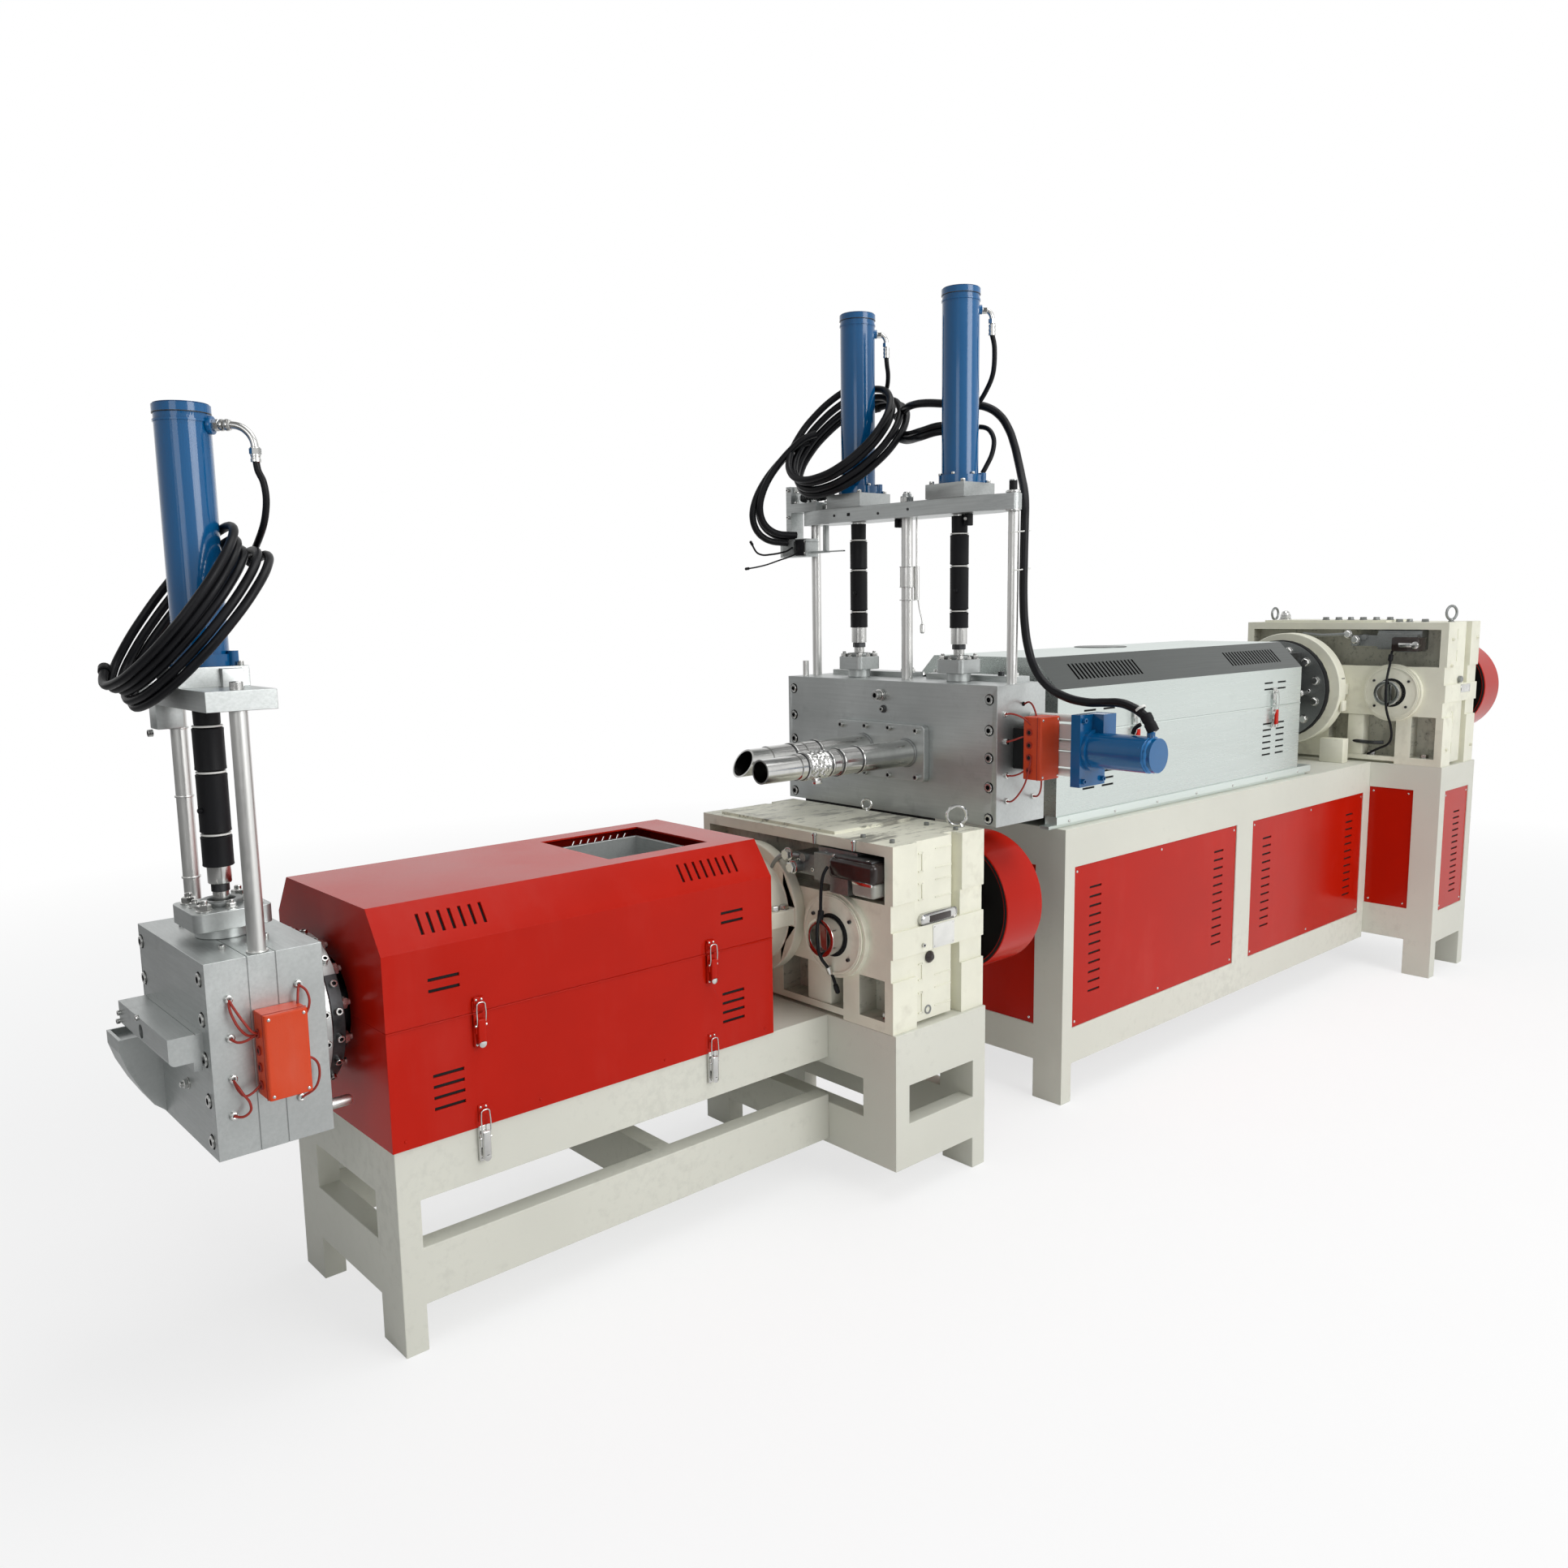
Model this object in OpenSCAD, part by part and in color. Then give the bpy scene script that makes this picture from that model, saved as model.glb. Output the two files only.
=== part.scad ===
// Two-stage plastic recycling extruder line. The main stage at the back right melts the
// plastic and pours it through two pipes over the second stage at the front left.

/* [Line] */
// Sideways distance from the main barrel's axis back to the second barrel's axis
second_offset = 112; // [60:1:180]
// Clear length between the second frame and the main frame
stage_gap = 460; // [440:1:700]
// Height of the outlet pipes above the top of the second gearbox
outlet_rise = 176; // [150:1:260]
// Wall of the sheet-metal covers
sheet = 4; // [3:0.5:6]
// Gap that moving pieces keep from fixed ones
clearance = 7; // [5:0.5:12]
// Radial play of a shaft, pin or rod in its bore
bore_play = 0.08; // [0.05:0.01:0.1]
// Gap between the two halves of a cover
seam_gap = 0.5; // [0.3:0.1:1]

/* [Second frame] */
// Length of the low part of the second frame
s_frame_len = 1190; // [1000:1:1500]
// Width of the low part
s_frame_w = 520; // [480:1:640]
// Height of the second frame
s_frame_h = 440; // [400:1:560]
// Height of the top beams
s_beam_top = 116; // [90:1:130]
// Height of the lower beams
s_beam_low = 122; // [90:1:130]
// Ground clearance under the lower beams
s_foot_h = 100; // [60:1:120]
// Thickness of the frame tubes
tube = 50; // [40:1:60]
// Width of the legs
leg_w = 105; // [80:1:120]
// Thickness of the deck plates
deck = 12; // [8:1:16]
// Width of a gearbox's border on its stand
stand_edge = 10; // [5:1:20]

/* [Second cover] */
// Distance between the red cover and the gearbox
s_adapter_len = 194; // [150:1:240]
// Width of the red cover
s_cover_w = 530; // [490:1:560]
// Height of its lower half
s_cover_low = 246; // [230:1:270]
// Height of the lid's upright wall
s_cover_wall = 154; // [120:1:200]
// Height of the lid's sloping edge
s_cover_slope = 85; // [60:1:110]
// Width of the lid's sloping edge
s_slope_w = 61; // [40:1:90]
// Length of the feed opening in the lid
s_inlet_len = 290; // [200:1:320]
// Width of the feed opening in the lid
s_inlet_w = 300; // [200:1:320]
// Distance from the feed opening to the cover's gearbox end
s_inlet_end = 105; // [60:1:160]
// Distance from a cover's end to its louvres
vent_edge = 93; // [60:1:130]
// Length of the louvres
vent_len = 68; // [40:1:90]
// Height of a louvre
vent_h = 7; // [4:0.5:10]
// Distance from one louvre to the next
vent_pitch = 23; // [16:1:30]

/* [Hinges and latches] */
// Radius of the hinge knuckles
knuckle_r = 8; // [6:0.5:12]
// Length of one hinge
hinge_len = 90; // [60:1:140]
// Radius of the hinge pins
hinge_pin_r = 3; // [2:0.5:4]
// Distance from a cover's end to its hinges
hinge_edge = 120; // [80:1:200]
// Width of the latches
latch_w = 26; // [18:1:34]
// Length of the latches
latch_len = 84; // [60:1:110]
// Distance from the red cover's end to its latches
s_latch_edge = 197; // [150:1:260]

/* [Second barrel] */
// Height of the second barrel's axis above its frame
s_axis_up = 250; // [235:1:300]
// Radius of the bare barrel
s_barrel_r = 68; // [50:1:75]
// Radius of the barrel with its heater bands
s_heater_r = 95; // [80:1:110]
// Radius of the barrel's front flange
s_flange_r = 165; // [130:1:175]
// Thickness of a barrel flange
flange_t = 26; // [18:1:36]
// Radius of the feed hole into the second barrel
s_throat_r = 52; // [35:1:60]

/* [Second screen block] */
// Length of the block along the barrel
s_block_len = 214; // [190:1:240]
// Width of the block
s_block_w = 410; // [380:1:440]
// Height of the block
s_block_h = 374; // [340:1:400]
// Distance from the block to the frame
s_block_gap = 92; // [80:1:140]
// Distance from the block's outlet face to the columns
s_column_in = 103; // [90:1:120]
// Distance between the guide rods
s_rod_span = 364; // [320:1:372]
// Length of the guide rods between the block and the crosshead
s_rod_len = 448; // [380:1:560]
// Radius of the guide rods
s_rod_r = 16; // [12:1:18]
// Width of the crosshead
s_head_w = 126; // [110:1:140]
// Travel of the screen ram
s_stroke = 28; // [10:1:30]

/* [Die head] */
// How far the die head stands out of the block
die_out = 61; // [50:1:80]
// Width of the die head
die_w = 320; // [280:1:360]
// Height of the die head
die_h = 52; // [40:1:70]
// How far the waste chute stands out of the block
chute_out = 76; // [70:1:95]
// Width of the waste chute
chute_w = 90; // [60:1:110]

/* [Hydraulics] */
// Radius of the hydraulic cylinders
jack_r = 49; // [40:1:52]
// Length of the second cylinder's tube
s_jack_len = 460; // [350:1:600]
// Length of the main cylinders' tubes
m_jack_len = 478; // [400:1:650]
// Radius of the piston rods
piston_r = 18; // [14:1:20]
// Radius of the sleeve round the second piston rod
s_sleeve_r = 29; // [25:1:32]
// Radius of the sleeves round the main piston rods
m_sleeve_r = 25.5; // [23:0.5:30]
// Radius of the rods' necks that enter the blocks
neck_r = 15; // [12:0.5:17]
// Radius of the bright couplings
coupling_r = 22; // [19:0.5:24]
// Length of the bright couplings
coupling_len = 43; // [30:1:60]
// Width of the second gland
s_gland_w = 146; // [120:1:160]
// Width of the main glands
m_gland_w = 92; // [80:1:110]
// Radius of the thin hydraulic hoses
hose_r = 6.5; // [5:0.5:8]
// Radius of the thick hose to the side cylinder
run_r = 11.5; // [9:0.5:13]
// Radius of the hose fittings
fitting_r = 8; // [7:0.5:10]

/* [Gearboxes] */
// Width of the second gearbox across the line
s_gear_w = 735; // [700:1:800]
// Height of the second gearbox
s_gear_h = 475; // [440:1:520]
// Length of the second gearbox
s_gear_len = 348; // [300:1:420]
// Sideways distance from the second barrel's axis to the input shaft
s_shaft_out = 300; // [280:1:320]
// Height of the second input shaft below the barrel's axis
s_shaft_drop = 25; // [0:1:40]
// Width of the main gearbox across the line
m_gear_w = 805; // [760:1:900]
// Height of the main gearbox
m_gear_h = 555; // [500:1:640]
// Length of the main gearbox
m_gear_len = 320; // [300:1:400]
// Sideways distance from the main barrel's axis to the input shaft
m_shaft_out = 381; // [360:1:400]
// Height of the main input shaft below the barrel's axis
m_shaft_drop = 6; // [0:1:40]
// Distance from a gearbox's front face to its input shaft
shaft_in = 191; // [180:1:220]
// Thickness of a gearbox's rim round its pockets
gear_rim = 28; // [20:1:40]
// Depth of the pockets
gear_pocket = 62; // [40:1:80]
// Half height of the thick middle band
gear_band = 92; // [80:1:100]
// How far the corner blocks stand out
gear_pad = 14; // [8:1:20]
// Width of the corner blocks
pad_w = 88; // [60:1:100]
// Radius of the bearing covers
bearing_r = 112; // [100:1:125]
// Radius of the bright shaft sleeves
sleeve_ring_r = 48; // [40:1:56]
// How far the shaft sleeves stand out
sleeve_ring_out = 62; // [40:1:80]

/* [Main frame] */
// Length of the main frame up to its gearbox end
m_frame_len = 2070; // [1900:1:2400]
// Width of the main frame
m_frame_w = 620; // [590:1:700]
// Length of the main frame's gearbox end
m_stand_len = 340; // [330:1:420]
// Height of the top beams
m_beam_top = 118; // [90:1:140]
// Height of the lower beams
m_beam_low = 110; // [80:1:130]
// Ground clearance under the lower beams
m_foot_h = 120; // [80:1:160]
// Width of the post between the two front panels
m_mid_post = 112; // [80:1:150]
// Length of the first front panel
m_panel_len = 957; // [800:1:1000]
// Depth that the panels lie behind the frame's face
panel_in = 4; // [2:1:8]
// Number of slots in a column of a side panel
panel_vents = 12; // [8:1:14]

/* [Main cover] */
// Open length between the stainless cover and the gearbox end
m_open_len = 570; // [540:1:640]
// Width of the stainless cover
m_cover_w = 556; // [520:1:590]
// Height of the strips that carry the cover
m_sill_h = 34; // [20:1:40]
// Height of its lower half
m_cover_low = 241; // [220:1:270]
// Height of the lid's upright wall
m_cover_wall = 130; // [100:1:180]
// Height of the lid's sloping edge
m_cover_slope = 90; // [60:1:110]
// Width of the lid's sloping edge
m_slope_w = 88; // [60:1:110]
// Number of narrow louvres in a group on the sloping edge
m_slope_vents = 18; // [10:1:20]

/* [Main barrel] */
// Height of the main barrel's axis above its frame
m_axis_up = 288; // [270:1:340]
// Radius of the bare main barrel
m_barrel_r = 90; // [70:1:100]
// Radius of the main barrel with its heater bands
m_heater_r = 118; // [100:1:130]
// Radius of the dark flange ring before the gearbox
m_flange_r = 195; // [170:1:205]
// Radius of the cream adapter ring
m_adapter_r = 226; // [210:1:235]
// Distance from the flange ring to the gearbox
m_adapter_len = 150; // [120:1:200]
// Radius of the feed hole into the main barrel
m_throat_r = 70; // [50:1:80]

/* [Main screen block] */
// Length of the main block along the barrel
m_block_len = 205; // [190:1:230]
// Width of the main block
m_block_w = 796; // [760:1:840]
// Height of the main block
m_block_h = 369; // [340:1:400]
// Height of the barrel's axis above the middle of the block
m_block_drop = 28; // [0:1:40]
// Distance from the block's outlet face to the columns
m_column_in = 95; // [90:1:115]
// Distance from the main block to the main frame
m_block_gap = 230; // [200:1:280]
// Distance between the outer guide rods
m_rod_span = 740; // [700:1:750]
// Length of the guide rods between the block and the crosshead
m_rod_len = 447; // [380:1:560]
// Radius of the main guide rods
m_rod_r = 14; // [11:1:16]
// Distance between the two screen rams
m_ram_span = 380; // [340:1:420]
// Travel of the main screen rams
m_stroke = 50; // [20:1:55]

/* [Side cylinder] */
// Length of the side cylinder's tube
side_jack_len = 185; // [140:1:240]
// Radius of the side cylinder
side_jack_r = 45; // [35:1:48]
// Distance from the main block to the side cylinder's flange
side_gap = 193; // [150:1:240]
// Radius of the spacers
spacer_r = 10; // [8:1:14]

/* [Outlet pipes] */
// Radius of the near outlet pipe
near_pipe_r = 36; // [30:1:38]
// Length of the near outlet pipe
near_pipe_len = 530; // [400:1:540]
// Radius of the far outlet pipe
far_pipe_r = 40; // [32:1:42]
// Length of the far outlet pipe
far_pipe_len = 470; // [350:1:500]
// Distance between the two pipes
pipe_span = 164; // [100:1:180]
// Wall of the pipes
pipe_wall = 4; // [2:0.5:6]
// Width of the outlet plate
outlet_w = 335; // [300:1:360]
// Height of the outlet plate
outlet_h = 156; // [130:1:170]

/* [Pulleys] */
// Radius of the pulleys
pulley_r = 190; // [150:1:200]
// Width of the pulley rims
pulley_w = 155; // [100:1:180]
// Thickness of the rims
pulley_rim = 14; // [8:1:20]
// Thickness of the pulley webs
pulley_web = 22; // [14:1:30]
// Distance from a gearbox to its pulley
pulley_gap = 104; // [80:1:130]
// Radius of the input shafts
shaft_r = 30; // [20:1:36]

/* [Terminal boxes] */
// Width of the terminal boxes
box_w = 80; // [60:1:100]
// Height of the terminal boxes
box_h = 162; // [120:1:180]
// Depth of the terminal boxes
box_d = 57; // [40:1:70]

/* [Hidden] */
$fn = 64;

red = "firebrick";
cream = "cornsilk";
paint = "lightgray";
steel = "silver";
dark = "dimgray";
blue = "royalblue";
black = "black";

// Second stage, counted from the left end of its frame
s_y = second_offset;
s_front = s_y - s_frame_w / 2;
s_back = s_y + s_frame_w / 2;
s_z = s_frame_h + s_axis_up;
s_shaft_y = s_y - s_shaft_out;
s_shaft_z = s_z - s_shaft_drop;
s_gear_front = s_shaft_y - shaft_in;
s_stand_x = s_frame_len;
s_end = s_stand_x + s_gear_len;
s_stand_front = s_gear_front - stand_edge;
s_stand_back = max(s_back, s_gear_front + s_gear_w + stand_edge);
s_gear_top = s_frame_h + s_gear_h;
s_cover_lip = 4;
s_cover_x = -s_cover_lip;
s_cover_end = s_stand_x - s_adapter_len;
s_cover_len = s_cover_end - s_cover_x;
s_seam = s_frame_h + s_cover_low;
s_lid_top = s_seam + s_cover_wall + s_cover_slope;
s_inlet_x = s_cover_end - s_inlet_end - s_inlet_len;
s_block_x = -s_block_gap - s_block_len;
s_column = s_block_x + s_column_in;
s_block_top = s_z + s_block_h / 2;
s_head_z = s_block_top + s_rod_len;
head_t = 37;
jack_plate_t = 38;
s_jack_plate_w = 130;
s_jack_z = s_head_z + head_t + jack_plate_t;

// Main stage
outlet_drop = 37;
outlet_z = max(s_gear_top, s_shaft_z + pulley_r + clearance * 8) + outlet_rise;
m_x = s_end + stage_gap;
m_z = outlet_z + outlet_drop;
m_frame_h = m_z - m_axis_up;
m_front = -m_frame_w / 2;
m_back = m_frame_w / 2;
m_stand_x = m_x + m_frame_len;
m_gear_end = m_stand_x + m_gear_len;
m_end = m_stand_x + m_stand_len;
m_shaft_y = -m_shaft_out;
m_shaft_z = m_z - m_shaft_drop;
m_gear_front = m_shaft_y - shaft_in - 1;
m_stand_front = m_gear_front - stand_edge / 2;
m_stand_back = max(m_back, m_gear_front + m_gear_w + stand_edge);
m_cover_x = m_x - 5;
m_cover_end = m_stand_x - m_open_len;
m_cover_len = m_cover_end - m_cover_x;
m_cover_z = m_frame_h + m_sill_h;
m_seam = m_cover_z + m_cover_low;
m_ring_x = m_stand_x - m_adapter_len;
m_block_x = m_x - m_block_gap - m_block_len;
m_block_mid = m_block_x + m_block_len / 2;
m_column = m_block_x + m_column_in;
m_block_top = m_z - m_block_drop + m_block_h / 2;
m_head_z = m_block_top + m_rod_len;
m_head_t = 41;
m_jack_plate_w = 134;
m_jack_plate_l = 126;
m_jack_z = m_head_z + m_head_t + jack_plate_t;

// Small pieces that hold the others
jack_foot_h = 22;
jack_foot = 8;
cap_h = 18;
gland_collar_h = 24;
gland_plate_h = 36;
gland_round = 16;
s_sleeve_low = s_block_top + 102;
m_sleeve_low = m_block_top + 144;
sleeve_gap = 2;
nut_h = 20;
nut_r = 21;
side_flange_w = 110;
side_flange_h = 181;
box_back = 44;
valve_back = m_rod_span / 2 + 88;
side_flange_t = 27;
side_y = -m_block_w / 2 - side_gap - side_flange_t;
outlet_plate_t = 22;
seam_w = 1.5;

// The whole line is centred on its own outline
x_low = s_block_x - max(die_out, chute_out);
x_high = m_gear_end + pulley_gap + pulley_w;
y_low = side_y - side_jack_len;
y_high = max(m_block_w / 2 + box_d, s_y + s_block_w / 2 + box_d, m_stand_back, valve_back);
mid_x = (x_low + x_high) / 2;
mid_y = (y_low + y_high) / 2;

module placed() {
    translate([-mid_x, -mid_y, 0]) children();
}

// A square block between two corners
module bar(low, high) {
    translate(low) cube(high - low);
}

// Round bars along X, Y or Z from a point
module rod_x(at, len, r) {
    translate(at) rotate([0, 90, 0]) cylinder(h = len, r = r);
}
module rod_y(at, len, r) {
    translate(at) rotate([-90, 0, 0]) cylinder(h = len, r = r);
}
module rod_z(at, len, r) {
    translate(at) cylinder(h = len, r = r);
}

// A rectangle with rounded corners, centred
module rounded(w, h, r) {
    square([w - 2 * r, h], center = true);
    square([w, h - 2 * r], center = true);
    for (sx = [-1, 1], sy = [-1, 1])
        translate([sx * (w / 2 - r), sy * (h / 2 - r)]) circle(r = r);
}

// Frames ---------------------------------------------------------------------------------

module second_frame() color(paint) placed() {
    low_top = s_foot_h + s_beam_low;
    high = s_frame_h - s_beam_top;
    for (y = [s_front, s_back - tube]) {
        bar([0, y, high], [s_stand_x, y + tube, s_frame_h]);
        bar([0, y, s_foot_h], [s_stand_x, y + tube, low_top]);
    }
    for (y = [s_front, s_back - leg_w])
        bar([0, y, 0], [tube, y + leg_w, s_frame_h]);
    bar([0, s_front, high], [tube, s_back, s_frame_h]);
    bar([0, s_front, s_foot_h], [tube, s_back, low_top]);
    bar([s_stand_x * 0.55, s_front, s_foot_h], [s_stand_x * 0.55 + tube, s_back, low_top]);
    bar([0, s_front, s_frame_h - deck], [s_stand_x, s_back, s_frame_h]);
}

s_window = [200, 300];
module second_gearbox_stand() color(paint) placed() {
    low = s_foot_h - 15;
    front = s_stand_front;
    back = s_stand_back;
    inner = s_frame_h - deck;
    difference() {
        bar([s_stand_x, front, low], [s_end, back, s_frame_h]);
        bar([s_stand_x + tube, front + tube, low - 1], [s_end - tube, back - tube, inner]);
        bar([s_stand_x - 1, front + leg_w + 10, s_window[0]], [s_end + 1, back - leg_w, s_window[1]]);
        bar([s_stand_x + tube, front - 1, s_window[0]], [s_end - tube, back + 1, s_window[1]]);
    }
    for (y = [front, back - leg_w])
        bar([s_end - tube, y, 0], [s_end, y + leg_w, low]);
    bar([s_stand_x, back - leg_w, 0], [s_stand_x + tube, back, low]);
}

m_window = [266, 742];
stand_post = 100;
m_mid_x = m_x + tube + m_panel_len;
m_stand_low = m_foot_h + 20;
module main_frame() color(paint) placed() {
    low_top = m_foot_h + m_beam_low;
    high = m_frame_h - m_beam_top;
    for (y = [m_front, m_back - tube]) {
        bar([m_x, y, high], [m_stand_x, y + tube, m_frame_h]);
        bar([m_x, y, m_foot_h], [m_stand_x, y + tube, low_top]);
        bar([m_mid_x, y, m_foot_h], [m_mid_x + m_mid_post, y + tube, m_frame_h]);
        bar([m_stand_x - tube, y, m_foot_h], [m_stand_x, y + tube, m_frame_h]);
    }
    for (y = [m_front, m_back - leg_w])
        bar([m_x, y, 0], [m_x + tube, y + leg_w, m_frame_h]);
    bar([m_x, m_front, high], [m_x + tube, m_back, m_frame_h]);
    bar([m_x, m_front, m_foot_h], [m_x + tube, m_back, low_top]);
    bar([m_x, m_front, m_frame_h - deck], [m_stand_x, m_back, m_frame_h]);
}

module main_gearbox_stand() color(paint) placed() {
    front = m_stand_front;
    back = m_stand_back;
    difference() {
        bar([m_stand_x, front, m_stand_low], [m_end, back, m_frame_h]);
        bar([m_stand_x + tube, front + tube, m_foot_h], [m_end - tube, back - tube, m_frame_h - deck]);
        bar([m_stand_x - 1, front + stand_post, m_window[0]], [m_stand_x + tube + 1, m_front, m_window[1]]);
        bar([m_stand_x + tube, front - 1, m_window[0]], [m_end - tube, front + tube + 1, m_window[1]]);
    }
    for (x = [m_stand_x, m_end - tube], y = [front, back - leg_w])
        bar([x, y, 0], [x + tube, y + leg_w, m_stand_low]);
}

// A column of short slots through an upright sheet that faces -Y or +Y
module slot_column(x, len, y, z_low, z_high, count, h) {
    step = (z_high - z_low) / (count - 1);
    for (i = [0 : count - 1])
        bar([x, y - tube, z_low + i * step - h / 2], [x + len, y + tube, z_low + i * step + h / 2]);
}

module main_side_panels() color(red) placed() {
    low = m_foot_h + m_beam_low;
    high = m_frame_h - m_beam_top;
    fit = 0.3;
    slot = 62;
    edge = 83;
    slot_low = low + 95;
    slot_high = high - 75;
    spans = [[m_x + tube, m_mid_x], [m_mid_x + m_mid_post, m_stand_x - tube]];
    for (y = [m_front + panel_in, m_back - panel_in - sheet], span = spans)
        difference() {
            bar([span[0] + fit, y, low + fit], [span[1] - fit, y + sheet, high - fit]);
            slot_column(span[0] + edge, slot, y, slot_low, slot_high, panel_vents, vent_h);
            slot_column(span[1] - edge - slot, slot, y, slot_low, slot_high, panel_vents, vent_h);
        }
    bar([m_x + panel_in, m_front + leg_w + fit, low + fit],
        [m_x + panel_in + sheet, m_back - leg_w - fit, high - fit]);
    bar([m_stand_x + panel_in, m_stand_front + stand_post + fit, m_window[0] + fit],
        [m_stand_x + panel_in + sheet, m_front - fit, m_window[1] - fit]);
    difference() {
        bar([m_stand_x + tube + fit, m_stand_front + panel_in, m_window[0] + fit],
            [m_end - tube - fit, m_stand_front + panel_in + sheet, m_window[1] - fit]);
        slot_column((m_stand_x + m_end) / 2 - slot / 2 + 20, slot, m_stand_front, m_window[0] + 60,
                    m_window[1] - 95, panel_vents + 2, vent_h);
    }
}

// Covers ---------------------------------------------------------------------------------

// Outline of a lid across the line: upright walls, sloping edges and a flat top
module lid_outline(w, wall, slope, slope_w, inset) {
    half = w / 2 - inset;
    top = wall + slope - inset;
    polygon([
        [-half, 0], [half, 0], [half, wall - inset / 2],
        [half - slope_w, top], [-half + slope_w, top], [-half, wall - inset / 2]
    ]);
}

module across(len) {
    rotate([90, 0, 90]) linear_extrude(len) children();
}

module half_shell_base(at, len, w, h) {
    difference() {
        translate(at + [0, -w / 2, 0]) cube([len, w, h]);
        translate(at + [sheet, -w / 2 + sheet, -1]) cube([len - 2 * sheet, w - 2 * sheet, h + 2]);
    }
}

module half_shell_lid(at, len, w, wall, slope, slope_w) {
    difference() {
        translate(at) across(len) lid_outline(w, wall, slope, slope_w, 0);
        translate(at + [sheet, 0, -1]) across(len - 2 * sheet)
            lid_outline(w, wall + 1, slope, slope_w, sheet);
    }
}

// Louvres cut in the upright walls on both sides
module wall_slots(x, y, z, half, len, h) {
    bar([x, y - half - 1, z - h / 2], [x + len, y + half + 1, z + h / 2]);
}

// Louvres cut in the sloping edges on both sides
module slope_slots(x, y, z, half, slope, slope_w, count, pitch, h) {
    long = sqrt(slope * slope + slope_w * slope_w);
    tilt = atan2(slope_w, slope);
    for (side = [-1, 1], i = [0 : count - 1])
        translate([x + i * pitch, y + side * (half - slope_w / 2), z + slope / 2])
            rotate([side * tilt, 0, 0]) cube([h, 6 * sheet, long * 0.44], center = true);
}

// Hinges along the back seam: the lid has the middle knuckle, the base the outer two and the pin
module hinge(x, y, z, of_lid) {
    third = hinge_len / 3;
    gap = 1;
    axis_y = y + knuckle_r + 1;
    leaf_h = 24;
    spans = of_lid ? [[third + gap, 2 * third - gap]] : [[0, third], [2 * third, hinge_len]];
    for (span = spans)
        difference() {
            union() {
                rod_x([x + span[0], axis_y, z], span[1] - span[0], knuckle_r);
                if (of_lid)
                    bar([x + span[0], y, z + seam_gap], [x + span[1], axis_y - knuckle_r / 2, z + leaf_h]);
                else
                    bar([x + span[0], y, z - leaf_h], [x + span[1], axis_y - knuckle_r / 2, z]);
            }
            if (of_lid)
                rod_x([x + span[0] - 1, axis_y, z], third, hinge_pin_r + bore_play);
        }
    if (!of_lid)
        rod_x([x, axis_y, z], hinge_len, hinge_pin_r);
}

module hinges(x, len, y, z, of_lid) {
    for (at = [x + hinge_edge, x + len - hinge_edge - hinge_len])
        hinge(at, y, z, of_lid);
}

latch_t = 9;
// Toggle latch below the seam and its catch above
module latch_lever(x, y, z) {
    bar([x - latch_w / 2, y - latch_t / 2, z - latch_len * 0.36], [x + latch_w / 2, y, z - 2]);
    bar([x - latch_w / 4, y - latch_t, z - latch_len * 0.7], [x + latch_w / 4, y, z - 2]);
    rod_y([x, y - latch_t, z - latch_len * 0.7], latch_t, latch_w / 3);
}
module latch_catch(x, y, z) {
    bar([x - latch_w / 2, y - latch_t / 2, z + seam_gap + 1], [x + latch_w / 2, y, z + latch_len * 0.3]);
    bar([x - latch_w / 3, y - latch_t, z + latch_len * 0.12], [x + latch_w / 3, y, z + latch_len * 0.24]);
}

s_half = s_cover_w / 2;
s_latches = [s_cover_x + s_latch_edge, s_cover_end - s_latch_edge];
s_vents = [s_cover_x + vent_edge, s_cover_end - vent_edge - vent_len];
s_end_hole = s_heater_r + clearance;

module second_cover_base() color(red) placed() {
    difference() {
        half_shell_base([s_cover_x, s_y, s_frame_h], s_cover_len, s_cover_w, s_cover_low);
        rod_x([s_cover_x - 1, s_y, s_z], s_cover_len + 2, s_end_hole);
        for (x = s_vents, i = [0 : 3])
            wall_slots(x, s_y, s_frame_h + 66 + i * vent_pitch, s_half, vent_len, vent_h);
    }
    hinges(s_cover_x, s_cover_len, s_y + s_half, s_seam, false);
    for (x = s_latches)
        latch_lever(x, s_y - s_half, s_seam);
}

module second_cover_lid() color(red) placed() {
    low = s_seam + seam_gap;
    difference() {
        half_shell_lid([s_cover_x, s_y, low], s_cover_len, s_cover_w, s_cover_wall - seam_gap,
                       s_cover_slope, s_slope_w);
        rod_x([s_cover_x - 1, s_y, s_z], s_cover_len + 2, s_end_hole);
        bar([s_inlet_x, s_y - s_inlet_w / 2, s_seam + s_cover_wall],
            [s_inlet_x + s_inlet_len, s_y + s_inlet_w / 2, s_lid_top + 9]);
        for (x = s_vents, i = [0 : 1])
            wall_slots(x, s_y, s_seam + 65 + i * vent_pitch, s_half, vent_len, vent_h);
        slope_slots(s_cover_x + vent_edge + 4, s_y, s_seam + s_cover_wall, s_half, s_cover_slope,
                    s_slope_w, 7, vent_pitch, vent_h);
        slope_slots(s_cover_end - vent_edge - 7 * vent_pitch, s_y, s_seam + s_cover_wall, s_half,
                    s_cover_slope, s_slope_w, 8, vent_pitch, vent_h);
    }
    hinges(s_cover_x, s_cover_len, s_y + s_half, s_seam, true);
    for (x = s_latches)
        latch_catch(x, s_y - s_half, s_seam);
}

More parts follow.
